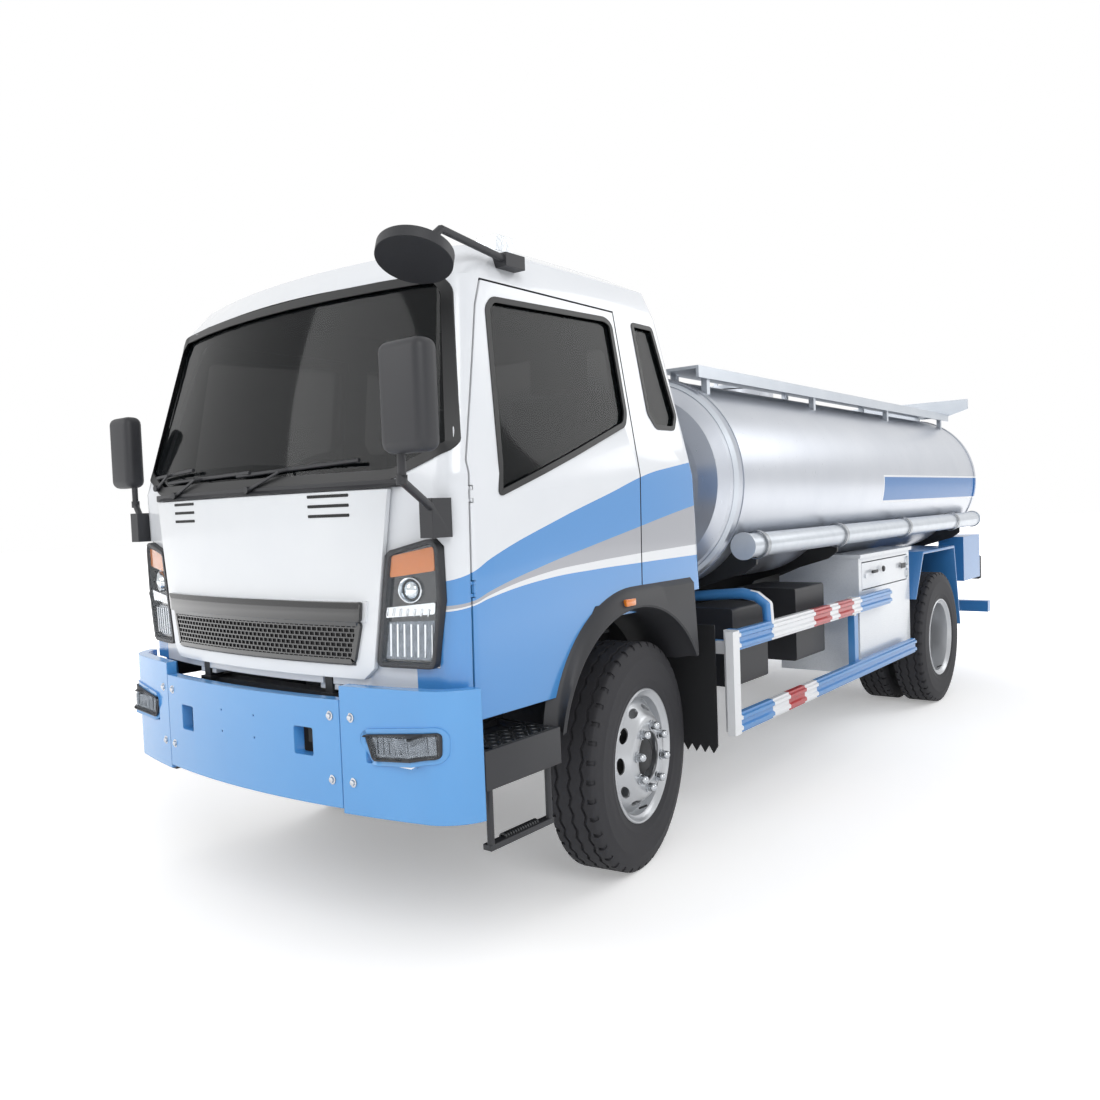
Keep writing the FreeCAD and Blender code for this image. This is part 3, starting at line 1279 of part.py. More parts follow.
panel_skin = cut("panel_skin", skin("panel_trim", panel_outer, panel_inner, panel_plate),
                 *(slots + panel_notches))
finish(fuse("panel_body", panel_skin, skin("bar_skin", bar_outer, panel_inner, bar_plate)),
       "front_panel")

# Seats: each a pedestal, a cushion, a leaning back and a head rest
seat_front = front_axle - s.seat_width * 0.6
seat_rear = front_axle + s.seat_width * 0.44


def seat(name, middle):
    """One high-backed seat about a line along the cab."""
    half = s.seat_width / 2
    top = s.seat_height
    pad = s.seat_width * 0.26
    across = (middle - half, middle + half)
    narrow = (middle - half * 0.7, middle + half * 0.7)
    pedestal = box(name + "_pedestal", narrow, (seat_front + pad / 2, seat_rear - pad / 2),
                   (s.cab_floor + s.seat_gap, top - pad))
    cushion = prism(name + "_cushion", "YZ", rounded(
        (seat_front, seat_rear - pad / 2), (top - pad, top), pad / 3), across)
    lean = s.seat_width * 0.16
    back = prism(name + "_back", "YZ", [
        (seat_rear - pad * 1.2, top - pad / 2), (seat_rear, top - pad / 2),
        (seat_rear + lean, top + s.seat_width * 1.1),
        (seat_rear + lean - pad * 0.8, top + s.seat_width * 1.1),
    ], across)
    head_low = top + s.seat_width * 1.1
    head = prism(name + "_head", "YZ", rounded(
        (seat_rear + lean - pad * 0.85, seat_rear + lean),
        (head_low - s.seat_gap, head_low + s.seat_width * 0.42), pad / 4),
        (middle - half * 0.55, middle + half * 0.55))
    return fuse(name, pedestal, cushion, back, head)


finish(group("seat_group", seat("seat_left", s.driver_place), seat("seat_right", -s.driver_place)),
       "seats")

# Dashboard: a bowed shelf under the windscreen, with an instrument hood and a console
dash_half = s.cab_half_width - s.cab_wall - s.cab_corner * 0.7
dash_front = front_axle - s.cab_front + s.cab_wall + s.cab_corner * 1.3
dash_rear = front_axle - s.cab_front * 0.62
bow_reach = s.cab_half_width - s.cab_corner
dash_radius = (bow_reach * bow_reach + s.cab_bow * s.cab_bow) / (s.cab_bow * 2)
dash_shelf = prism("dash_shelf", "XY", [
    (-dash_half, dash_front, dash_radius), (dash_half, dash_front),
    (dash_half, dash_rear), (-dash_half, dash_rear),
], (s.dash_top - s.seat_width * 0.6, s.dash_top))
hood = box("dash_hood", (-s.driver_place - s.seat_width * 0.4, -s.driver_place + s.seat_width * 0.4),
           (dash_front + s.cab_corner * 0.2, dash_rear - s.cab_corner * 0.4),
           (s.dash_top - 1, s.dash_top + s.cab_corner * 0.7))
console = box("dash_console", (-s.seat_width * 0.4, s.seat_width * 0.4),
              (dash_front + s.cab_corner * 0.2, dash_rear - s.cab_corner * 0.3),
              (s.cab_floor + s.seat_gap, s.dash_top - s.seat_width * 0.6 + 1))
dash = fuse("dash_body", dash_shelf, hood, console)
finish(dash, "dashboard")

# Steering wheel on its column, leaning back to the driver on the right
wheel_x = -s.driver_place
wheel_y = front_axle - s.cab_front * 0.51
wheel_z = s.dash_top + s.cab_corner * 0.05
tilt = math.radians(s.steering_wheel_tilt.number)
wheel_ring = doc.addObject("Part::Torus", "steering_ring")
bind(wheel_ring, "Radius1", s.steering_wheel_radius - s.steering_wheel_rim)
bind(wheel_ring, "Radius2", s.steering_wheel_rim)
place(wheel_ring, wheel_x, wheel_y, wheel_z)
wheel_ring.Placement.Rotation = FreeCAD.Rotation(Vector(1, 0, 0), -1)
bind(wheel_ring, "Placement.Rotation.Angle", s.steering_wheel_tilt)
column_step = (-math.sin(tilt), -math.cos(tilt))
column = strut("steering_column", (wheel_x, wheel_y, wheel_z),
               (wheel_x, wheel_y + column_step[0] * 300, wheel_z + column_step[1] * 300),
               s.steering_wheel_rim * 2)
spokes = [
    strut("steering_spoke_%d" % index, (wheel_x, wheel_y, wheel_z),
          (wheel_x + reach[0] * (s.steering_wheel_radius - s.steering_wheel_rim),
           wheel_y + reach[1] * math.cos(tilt) * (s.steering_wheel_radius - s.steering_wheel_rim),
           wheel_z - reach[1] * math.sin(tilt) * (s.steering_wheel_radius - s.steering_wheel_rim)),
          s.steering_wheel_rim * 0.8)
    for index, reach in enumerate(((1, 0), (-1, 0), (0, 1)))
]
dash_stop = box("dash_stop", (-dash_half, dash_half), (dash_rear - s.seat_width, dash_rear),
                (s.cab_floor, s.dash_top + s.cab_corner * 0.7))
finish(cut("steering_body", fuse("steering_solid", wheel_ring, column, *spokes), dash_stop),
       "steering_wheel")

# Mirrors: one on each side and a round one that looks down over the front corner
arm_radius = s.steering_wheel_rim * 0.9


def door_mirror(word, side, inner, near, low, foot, knee):
    """A mirror's housing on its arm, from a foot block at the cab's front corner."""
    across = sorted((inner * side, s.mirror_half_span * side), key=number_of)
    middle = (inner + s.mirror_half_span) / 2 * side
    depth = s.cab_corner * 0.9
    height = s.cab_corner * 3.3
    housing = prism("mirror_housing_" + word, "XZ", rounded(
        across, (low, low + height), s.cab_corner * 0.3), (near, near + depth))
    foot_block = box("mirror_foot_" + word,
                     tuple(sorted((foot[0] * side, (foot[0] + s.cab_corner * 0.6) * side),
                                  key=number_of)),
                     (foot[1], foot[1] + s.cab_corner * 0.9), (foot[2], foot[2] + s.cab_corner * 1.3))
    rise = (foot[0] * side + s.cab_corner * 0.3 * side, foot[1] + s.cab_corner * 0.4,
            foot[2] + s.cab_corner * 0.9)
    arm_low = strut("mirror_arm_low_" + word, rise,
                    (knee[0] * side, near + depth / 2, knee[1]), arm_radius)
    arm_ball = strut("mirror_joint_" + word, (knee[0] * side, near + depth / 2, knee[1] - 12),
                     (knee[0] * side, near + depth / 2, knee[1] + 18), arm_radius * 1.3)
    arm_high = strut("mirror_arm_high_" + word, (knee[0] * side, near + depth / 2, knee[1]),
                     (middle, near + depth / 2, low + s.cab_corner * 0.4), arm_radius)
    return cut("mirror_" + word,
               fuse("mirror_solid_" + word, housing, foot_block, arm_low, arm_ball, arm_high),
               roof_seat)


left_mirror = door_mirror(
    "left", 1, s.mirror_half_span - s.cab_corner * 1.9, -overall_length / 2, s.waist_height + 50,
    (s.cab_half_width - s.cab_corner * 0.85, front_axle - s.cab_front + s.cab_corner * 0.2,
     s.waist_height - s.cab_corner * 2.1), (s.cab_half_width + s.cab_corner * 0.8, s.waist_height - 30))
right_mirror = door_mirror(
    "right", -1, s.mirror_half_span - s.cab_corner * 1.7, front_axle - s.cab_front + s.cab_corner * 0.8,
    s.waist_height + 40,
    (s.cab_half_width - s.cab_corner * 0.5, front_axle - s.cab_front + s.cab_corner * 0.6,
     s.waist_height - s.cab_corner * 2.1), (s.cab_half_width + s.cab_corner * 0.8, s.waist_height - 40))
disc_x = s.drip_half_width + s.cab_corner * 0.15
disc_y = front_axle - s.cab_front * 0.95
disc_z = drip_height - s.cab_corner * 0.1
knee_point = (disc_x, front_axle - s.cab_front * 0.84, shoulder_height - s.cab_corner * 0.05)
round_disc = strut("round_disc", (disc_x, disc_y, disc_z),
                   (disc_x - 5, disc_y + 14, disc_z + 36), s.mirror_disc)
round_stem = strut("round_stem", (disc_x - 3, disc_y + 10, disc_z + 28), knee_point, arm_radius)
round_arm = strut("round_arm", knee_point,
                  (disc_x, front_axle - s.cab_front * 0.55, drip_height + s.cab_corner * 0.75),
                  arm_radius)
round_foot = box("round_foot", (s.shoulder_half_width, disc_x + s.cab_corner * 0.2),
                 (front_axle - s.cab_front * 0.58, front_axle - s.cab_front * 0.49),
                 (drip_height + s.cab_corner * 0.5, drip_height + s.cab_corner))
round_mirror = cut("round_mirror", fuse("round_solid", round_disc, round_stem, round_arm, round_foot),
                   roof_seat)
finish(group("mirror_group", left_mirror, right_mirror, round_mirror), "mirrors")

# Wheel arches on the cab
arch_low = wheel_height + s.arch_radius * 0.4
arch_mid = s.cab_bottom - s.cab_corner * 0.1
arch_rear = front_axle + s.cab_rear_sill + s.cab_corner * 0.15
arch_block = prism("arch_block", "YZ", [
    (front_axle - s.arch_radius - s.cab_corner * 0.45, arch_low),
    (front_axle - s.arch_radius + s.cab_corner, arch_low),
    (front_axle, wheel_height), (front_axle + s.cab_corner, s.cab_floor - s.cab_corner * 1.6),
    (arch_rear, s.cab_floor - s.cab_corner * 1.6), (arch_rear, s.cab_floor - s.seat_gap),
    (front_axle - s.arch_radius * 0.55 + s.cab_corner * 0.12, s.cab_floor - s.seat_gap),
    (front_axle - s.arch_radius + s.cab_corner * 0.06, arch_mid),
    (front_axle - s.arch_radius - s.cab_corner * 0.45, arch_mid),
], (arch_inner, s.arch_side))
arch_bore = cylinder("arch_bore", "X", (arch_inner - s.cab_corner, front_axle, wheel_height),
                     s.arch_radius, s.cab_corner * 3)
finish(pair("arch_group", cut("arch_left", arch_block, arch_bore)), "wheel_arches")

# Entry steps: a treaded box behind the bumper's corner with a loop below it
step_front = front_axle - s.bumper_end + s.door_gap * 2
step_rear = front_axle - s.arch_radius - s.cab_corner * 0.45 - s.door_gap
step_side = s.arch_side
step_inside = s.cab_half_width * 0.72
step_base = s.step_top - s.cab_corner * 1.35
loop_radius = s.steering_wheel_rim * 0.85
loop_x = step_side - s.cab_corner * 0.35
step_block = box("step_block", (step_inside, step_side), (step_front, step_rear),
                 (step_base, s.step_top))
step_recess = box("step_recess", (step_inside + s.cab_corner * 0.3, step_side - s.cab_corner * 0.2),
                  (step_front + s.cab_corner * 0.3, step_rear - s.cab_corner * 0.3),
                  (s.step_top - s.cab_corner * 0.2, s.step_top + s.cab_corner))
loop_front = step_front + s.cab_corner * 0.5
loop_rear = step_rear - s.cab_corner * 0.4
loop_parts = [
    cylinder("loop_leg_%d" % index, "Z", (loop_x, y, s.step_low), loop_radius,
             step_base - s.step_low + 5)
    for index, y in enumerate((loop_front, loop_rear))
]
loop_parts.append(box("loop_tread", (loop_x - loop_radius * 2, loop_x + loop_radius),
                      (loop_front - loop_radius, loop_rear + loop_radius),
                      (s.step_low, s.step_low + loop_radius * 1.6)))
step_arm = box("step_arm", (frame_half + s.seat_gap, step_inside + 1),
               (step_front + s.cab_corner, step_front + s.cab_corner * 1.6),
               (rail_bottom, s.step_top))
finish(pair("step_group", fuse("step_left", cut("step_box", step_block, step_recess),
                               step_arm, *loop_parts)), "entry_steps")

# Mudguards: a flap behind each front wheel, and a cover with slanting flaps over each rear pair
flap_plate = s.cab_corner * 0.15
front_flap_y = front_axle + s.arch_radius - s.cab_corner * 0.15
front_flap = box("front_flap", (s.cab_half_width * 0.7, s.arch_side),
                 (front_flap_y, front_flap_y + flap_plate),
                 (s.step_low - 40, s.cab_floor - s.cab_corner * 1.7))
front_flap_arm = box("front_flap_arm", (frame_half + s.seat_gap, s.cab_half_width * 0.8),
                     (front_flap_y + flap_plate, front_flap_y + flap_plate * 3),
                     (s.frame_top - s.cab_corner, s.frame_top - s.cab_corner * 0.4))
guard_in = s.rear_track_half - s.twin_spacing * 0.45
guard_out = s.underrun_half_width
cover_front = rear_axle - s.cab_corner * 3.3
cover_rear = rear_axle + s.cab_corner * 4.6
flap_low = s.cab_bottom - s.cab_corner * 0.3
rear_cover = prism("rear_cover", "YZ", [
    (cover_front, s.guard_top_rear - s.cab_corner * 0.2), (cover_rear, s.guard_top_rear - s.cab_corner * 0.2),
    (rear_axle + s.tyre_radius * 1.24, s.cab_bottom - s.cab_corner * 3.4),
    (rear_axle + s.tyre_radius * 1.24 + flap_plate, s.cab_bottom - s.cab_corner * 3.4),
    (cover_rear + flap_plate, s.guard_top_rear), (cover_front - flap_plate, s.guard_top_rear),
    (rear_axle - s.tyre_radius * 1.07 - flap_plate, flap_low),
    (rear_axle - s.tyre_radius * 1.07, flap_low),
], (guard_in, guard_out))
cover_arm_low = s.runner_top + s.cab_corner * 0.3
cover_posts = [
    fuse("cover_bracket_%d" % index,
         box("cover_post_%d" % index, (frame_half + s.seat_gap, frame_half + s.cab_corner * 0.3),
             (y - s.cab_corner * 0.2, y + s.cab_corner * 0.2),
             (s.frame_top - s.cab_corner, cover_arm_low + s.cab_corner * 0.25)),
         box("cover_arm_%d" % index, (frame_half + s.seat_gap, guard_in + s.cab_corner * 0.3),
             (y - s.cab_corner * 0.2, y + s.cab_corner * 0.2),
             (cover_arm_low, cover_arm_low + s.cab_corner * 0.25)),
         box("cover_riser_%d" % index, (guard_in, guard_in + s.cab_corner * 0.3),
             (y - s.cab_corner * 0.2, y + s.cab_corner * 0.2),
             (cover_arm_low, s.guard_top_rear - s.cab_corner * 0.2 + 1)))
    for index, y in enumerate((rear_axle - s.cab_corner * 2, rear_axle + s.cab_corner * 3.2))
]
rear_mudguard = fuse("rear_mudguard", rear_cover, *cover_posts)
front_mudguard = fuse("front_mudguard", front_flap, front_flap_arm)
finish(group("mudguard_group", front_mudguard, mirrored("front_mudguard_right", front_mudguard),
             rear_mudguard, mirrored("rear_mudguard_right", rear_mudguard)), "mudguards")

# Tank: a rounded shell with closed heads, two hoops and a manhole collar
tank_front = front_axle + s.tank_front_gap
tank_rear = rear_end - s.tank_rear_gap
tank_arc_place = s.tank_half_width - s.tank_side_radius
tank_arc_rise = s.tank_half_height - s.tank_side_radius
tank_drop = ((tank_arc_place * tank_arc_place - tank_arc_rise * tank_arc_rise)
             / (tank_arc_rise * 2))
tank_big_radius = s.tank_half_height + tank_drop
tank_ratio = tank_big_radius / (tank_big_radius - s.tank_side_radius)


def tank_outline(grow):
    """The tank's section: round sides and nearly flat top and underside, all tangent."""
    side = s.tank_side_radius + grow
    big = tank_big_radius + grow
    share = big / (tank_big_radius - s.tank_side_radius)
    x = tank_arc_place * share
    z = tank_drop * (share - 1)
    middle = s.tank_middle
    return [
        (x, middle - z, side), (x, middle + z, big), (-x, middle + z, side), (-x, middle - z, big),
    ]


def tank_form(name, grow, span):
    """A length of the tank's form, grown by an offset."""
    return prism(name, "XZ", tank_outline(grow), span)


# Depth of a dished head and the inset of its section there, in shares of its rounding
HEAD_SHAPE = [(0, 2.9), (0.05, 1.75), (0.2, 0.85), (0.47, 0.36), (0.78, 0.09), (1, 0)]
barrel_sections = [
    (tank_front + s.tank_head_round * depth, s.tank_head_round * -inset)
    for depth, inset in HEAD_SHAPE
] + [
    (tank_rear - s.tank_head_round * depth, s.tank_head_round * -inset)
    for depth, inset in reversed(HEAD_SHAPE)
]
tank_barrel = doc.addObject("PartDesign::Body", "tank_barrel")
barrel_sketches = [
    sketch(tank_barrel, "tank_section_%d" % index, "XZ", tank_outline(grow), -y)
    for index, (y, grow) in enumerate(barrel_sections)
]
barrel_loft = tank_barrel.newObject("PartDesign::AdditiveLoft", "tank_barrel_loft")
barrel_loft.Profile = barrel_sketches[0]
barrel_loft.Sections = barrel_sketches[1:]
barrel_loft.Ruled = True
hoop_width = s.cab_corner * 0.4
hoops = [
    tank_form("tank_hoop_%d" % index, s.glass_plate, (y, y + hoop_width))
    for index, y in enumerate((tank_front + s.tank_head_round, tank_rear - s.tank_head_round - hoop_width))
]
manhole_y = front_axle + s.manhole_place
tank_top = s.tank_middle + s.tank_half_height
collar_top = tank_top + s.cab_corner * 0.8
collar = cylinder("manhole_collar", "Z", (0, manhole_y, tank_top - s.cab_corner),
                  s.manhole_radius, collar_top - tank_top + s.cab_corner)
hinge_y = manhole_y + s.manhole_radius + s.cab_corner * 0.5
lid_low = collar_top + s.door_gap
lid_high = lid_low + s.cab_corner * 0.25
lid_pin = s.steering_wheel_rim * 0.7
lid_pivot_z = lid_low + s.cab_corner * 0.1
collar_ears = [
    box("collar_ear_%d" % index, (x - s.cab_corner * 0.1, x + s.cab_corner * 0.1),
        (hinge_y - s.cab_corner * 0.2, hinge_y + s.cab_corner * 0.2),
        (tank_top - s.cab_corner * 0.2, lid_pivot_z + s.cab_corner * 0.2))
    for index, x in enumerate((-s.cab_corner * 0.6, s.cab_corner * 0.6))
]
collar_ears.append(box("collar_shelf", (-s.cab_corner * 0.7, s.cab_corner * 0.7),
                       (manhole_y + s.manhole_radius - s.cab_corner * 0.2, hinge_y + s.cab_corner * 0.2),
                       (tank_top - s.cab_corner * 0.2, collar_top - s.cab_corner * 0.2)))
ear_pin = cylinder("collar_pin", "X", (-s.cab_corner * 0.7, hinge_y, lid_pivot_z), lid_pin,
                   s.cab_corner * 1.4)
finish(fuse("tank_body", tank_barrel, collar, *hoops, *collar_ears, ear_pin), "tank_shell")

lid_disc = cylinder("lid_disc", "Z", (0, manhole_y, lid_low), s.manhole_radius + s.cab_corner * 0.1,
                    lid_high - lid_low)
lid_strap = box("lid_strap", (-s.cab_corner * 0.4, s.cab_corner * 0.4),
                (manhole_y + s.cab_corner, hinge_y + s.cab_corner * 0.2),
                (lid_low, lid_high))
lid_bore = cylinder("lid_bore", "X", (-s.cab_corner, hinge_y, lid_pivot_z),
                    lid_pin + s.seat_gap, s.cab_corner * 2)
lid_handle = [
    box("lid_handle_bar", (-s.cab_corner * 0.7, s.cab_corner * 0.7),
        (manhole_y - s.cab_corner * 1.6, manhole_y - s.cab_corner * 1.4),
        (lid_high + s.cab_corner * 0.3, lid_high + s.cab_corner * 0.5)),
    box("lid_handle_left", (s.cab_corner * 0.5, s.cab_corner * 0.7),
        (manhole_y - s.cab_corner * 1.6, manhole_y - s.cab_corner * 1.4),
        (lid_high - 1, lid_high + s.cab_corner * 0.5)),
    box("lid_handle_right", (-s.cab_corner * 0.7, -s.cab_corner * 0.5),
        (manhole_y - s.cab_corner * 1.6, manhole_y - s.cab_corner * 1.4),
        (lid_high - 1, lid_high + s.cab_corner * 0.5)),
]
finish(cut("lid_body", fuse("lid_solid", lid_disc, lid_strap, *lid_handle), lid_bore),
       "manhole_lid")

# Tank runners on the frame, with cradles shaped to the tank and brackets for the hose tubes
tube_front = tank_front + s.cab_corner * 0.9
tube_rear = tank_rear - s.cab_corner * 2.2
runner_half = s.rail_flange / 2
runner = box("tank_runner", (s.runner_place - runner_half, s.runner_place + runner_half),
             (tank_front - s.cab_corner * 0.6, rail_rear - s.cab_corner * 0.7),
             (s.frame_top + s.seat_gap, s.runner_top))
tank_seat = tank_form("tank_seat", s.seat_gap, (tank_front - s.seat_gap, tank_rear + s.seat_gap))
tube_height = s.tank_middle - s.tube_drop
tube_reach = s.tank_side_radius + s.tube_gap + s.tube_radius
tube_place = tank_arc_place + root(tube_reach * tube_reach - s.tube_drop * s.tube_drop)
tube_seat = cylinder("tube_seat", "Y", (tube_place, tube_front, tube_height),
                     s.tube_radius + s.seat_gap, tube_rear - tube_front)
cradle_low_x = s.runner_place + s.cab_corner * 0.9
cradle_half = s.rail_plate


def cradle(name, y, reach):
    """A cross plate under the tank; with a reach it goes on to carry the hose tubes."""
    side = [(cradle_low_x, s.runner_top), (cradle_low_x + s.cab_corner * 0.4, s.runner_top + 60)]
    if reach:
        side += [
            (tube_place - s.cab_corner * 3, s.runner_top + s.cab_corner * 1.3),
            (tube_place - s.cab_corner * 0.6, s.runner_top + s.cab_corner * 2),
            (tube_place, tube_height - s.cab_corner), (tube_place, tube_height),
        ]
    else:
        side += [(cradle_low_x + s.cab_corner * 0.4, s.runner_top + s.cab_corner * 2)]
    outline = side + [(-x, z) for x, z in reversed(side)]
    plate_body = prism(name + "_plate", "XZ", outline, (y - cradle_half, y + cradle_half))
    tools = [tank_seat]
    if reach:
        tools += [tube_seat, mirrored(name + "_tube_seat", tube_seat)]
    return cut(name, plate_body, *tools)


cradles = [
    cradle("cradle_front", front_axle + s.cradle_front, True),
    cradle("cradle_middle", front_axle + s.cradle_middle, True),
    cradle("cradle_inner", front_axle + s.cradle_inner, False),
    cradle("cradle_rear", rear_axle + s.cradle_rear, True),
]
finish(fuse("subframe_body", runner, mirrored("tank_runner_right", runner), *cradles),
       "tank_subframe")

# Hose tubes along both sides of the tank
tube_bar = cylinder("tube_bar", "Y", (tube_place, tube_front, tube_height), s.tube_radius,
                    tube_rear - tube_front)
tube_ends = [
    cylinder("tube_end_%d" % index, "Y", (tube_place, y, tube_height),
             s.tube_radius + s.rail_plate, s.rail_plate * 1.5)
    for index, y in enumerate((tube_front, tube_rear - s.rail_plate * 1.5))
]
finish(pair("tube_group", fuse("tube_left", tube_bar, *tube_ends)), "hose_tubes")

# Walkway: a deck on posts along each top edge, joined by the plate over the rear end
deck_in = s.walk_half_width - s.walk_width
deck_plate = s.cab_corner * 0.15
deck_low = s.walk_height - deck_plate
deck = prism("walk_deck", "XZ", [
    (deck_in, deck_low), (s.walk_half_width - deck_plate, deck_low),
    (s.walk_half_width - deck_plate, deck_low - s.cab_corner * 0.45),
    (s.walk_half_width, deck_low - s.cab_corner * 0.45), (s.walk_half_width, s.walk_height),
    (deck_in, s.walk_height),
], (tank_front + s.cab_corner * 0.8, tank_rear - s.cab_corner))
walk_posts = []
for index in range(4):
    y = tank_front + s.cab_corner * 2.1 + (tank_rear - tank_front - s.cab_corner * 4.7) * index / 3
    for name, x in (("outer", s.walk_half_width - s.cab_corner * 0.5), ("inner", deck_in + 10)):
        walk_posts.append(box("walk_post_%s_%d" % (name, index), (x, x + s.cab_corner * 0.32),
                              (y - s.cab_corner * 0.16, y + s.cab_corner * 0.16),
                              (tank_top - s.cab_corner * 2, deck_low + 1)))
walk_side = cut("walk_side", fuse("walk_side_solid", deck, *walk_posts), tank_seat)
sign_y = tank_rear - s.cab_corner
sign_plate = prism("sign_plate", "XZ", [
    (-s.sign_half_width, s.sign_top - s.cab_corner * 0.85),
    (-(s.sign_half_width - s.cab_corner * 2), deck_low - s.cab_corner * 0.1),
    (s.sign_half_width - s.cab_corner * 2, deck_low - s.cab_corner * 0.1),
    (s.sign_half_width, s.sign_top - s.cab_corner * 0.85), (s.sign_half_width, s.sign_top),
    (-s.sign_half_width, s.sign_top),
], (sign_y - 1, sign_y + deck_plate))
ladder_y = tank_rear + s.cab_corner * 0.7
ladder_radius = s.steering_wheel_rim
ladder_parts = []
ladder_low = s.runner_top - s.cab_corner * 0.5
ladder_x = (s.runner_place - s.cab_corner * 2.8, s.runner_place)
for index, x in enumerate(ladder_x):
    ladder_parts.append(cylinder("ladder_stile_%d" % index, "Z", (x, ladder_y, ladder_low),
                                 ladder_radius, s.sign_top - s.cab_corner * 0.3 - ladder_low))
    ladder_parts.append(box("ladder_hook_%d" % index, (x - ladder_radius, x + ladder_radius),
                            (sign_y, ladder_y), (s.sign_top - s.cab_corner * 0.6,
                                                 s.sign_top - s.cab_corner * 0.3)))
for index in range(5):
    ladder_parts.append(cylinder("ladder_rung_%d" % index, "X",
                                 (ladder_x[0], ladder_y, ladder_low + s.cab_corner * (0.8 + 2.7 * index)),
                                 ladder_radius * 0.8, ladder_x[1] - ladder_x[0]))
ladder_parts.append(box("ladder_foot", (s.runner_place - ladder_radius, s.runner_place + ladder_radius),
                        (rail_rear - s.cab_corner * 0.7 + s.seat_gap, ladder_y),
                        (ladder_low, s.runner_top - s.cab_corner * 0.1)))
finish(cut("walkway_body", fuse("walkway_solid", walk_side, mirrored("walk_side_right", walk_side),
                                sign_plate, *ladder_parts), tank_seat), "walkway")

# Tanks and boxes hung along the frame: battery and control boxes and air tank on the left,
# fuel tank on the right


def hung_box(name, x, y, z, radius):
    """A round-cornered box beside the frame on a bracket from the rail."""
    shell = prism(name + "_shell", "XZ", rounded(x, z, radius), y)
    middle = (y[0] + y[1]) / 2
    bracket = box(name + "_bracket", (frame_half + s.seat_gap, x[0] + radius),
                  (middle - s.cab_corner * 0.5, middle + s.cab_corner * 0.5),
                  (rail_bottom, rail_bottom + s.cab_corner * 0.6))
    return fuse(name, shell, bracket)


box_round = s.cab_corner * 0.15
battery_y = front_axle + s.battery_front
control_y = front_axle + s.control_front
air_tank_y = front_axle + s.air_tank_front
fuel_tank_y = front_axle + s.fuel_tank_front
battery = hung_box("battery_box", (s.cab_half_width * 0.64, s.cab_half_width * 0.95),
                   (battery_y, battery_y + s.battery_length),
                   (s.frame_top - s.cab_corner * 3, s.runner_top + s.cab_corner * 0.2), box_round)
control = hung_box("control_box", (s.cab_half_width * 0.6, s.cab_half_width * 0.98),
                   (control_y, control_y + s.control_length),
                   (rail_bottom - s.floor_plate, s.runner_top + s.floor_plate), box_round)
air_radius = s.rail_height * 0.55
air_tank = fuse("air_tank", cylinder(
    "air_barrel", "Y", (s.cab_half_width * 0.62, air_tank_y, s.frame_top - s.rail_height * 0.571),
    air_radius, s.air_tank_length), box(
    "air_bracket", (frame_half + s.seat_gap, s.cab_half_width * 0.6),
    (air_tank_y + s.air_tank_length * 0.3, air_tank_y + s.air_tank_length * 0.54),
    (rail_bottom + s.rail_height * 0.19, rail_bottom + s.rail_height * 0.52)))
fuel_tank = mirrored("fuel_tank", hung_box(
    "fuel_tank_left", (s.cab_half_width * 0.5, s.cab_half_width),
    (fuel_tank_y, fuel_tank_y + s.fuel_tank_length),
    (s.guard_bottom + s.cab_corner * 0.2, s.frame_top + s.cab_corner * 0.4), s.cab_corner * 0.9))
finish(group("side_tank_group", battery, control, air_tank, fuel_tank), "side_tanks")

# Side guards: two ribbed rails on arms from the frame
guard_face = s.guard_side
guard_back = s.guard_side - s.guard_plate
guard_front_y = front_axle + s.guard_start


def guard_profile(low):
    """Section of a rail: a flat plate with two ribs pressed outwards."""
    step = s.guard_rail / 5
    rib = s.guard_plate * 0.3
    return [
        (guard_back, low), (guard_face - rib, low), (guard_face - rib, low + step * 0.5),
        (guard_face, low + step * 0.8), (guard_face, low + step * 1.6),
        (guard_face - rib, low + step * 2), (guard_face - rib, low + step * 3),
        (guard_face, low + step * 3.4), (guard_face, low + step * 4.2),
        (guard_face - rib, low + step * 4.5), (guard_face - rib, low + step * 5),
        (guard_back, low + step * 5),
    ]


def side_guard(word, upper_end, arm_places):
    """Two rails, a front post and the arms to the frame on one side, drawn on the left."""
    upper_low = s.guard_top - s.guard_rail
    parts = [
        prism("guard_upper_" + word, "XZ", guard_profile(upper_low), (guard_front_y, upper_end)),
        prism("guard_lower_" + word, "XZ", guard_profile(s.guard_bottom),
              (guard_front_y, front_axle + s.guard_end)),
        box("guard_post_" + word, (guard_back, guard_face),
            (guard_front_y - s.cab_corner * 0.1, guard_front_y + s.cab_corner * 0.55),
            (s.guard_bottom, s.guard_top)),
    ]
    for index, y in enumerate(arm_places):
        parts.append(box("guard_leg_%s_%d" % (word, index), (guard_back - s.guard_plate, guard_back + 1),
                         (y - s.cab_corner * 0.3, y + s.cab_corner * 0.3),
                         (s.guard_bottom, s.guard_top)))
        parts.append(box("guard_arm_%s_%d" % (word, index),
                         (frame_half + s.seat_gap, guard_back - s.guard_plate / 2),
                         (y - s.cab_corner * 0.3, y + s.cab_corner * 0.3),
                         (upper_low - s.cab_corner * 0.2, upper_low + s.cab_corner * 0.4)))
    return fuse("guard_" + word, *parts)


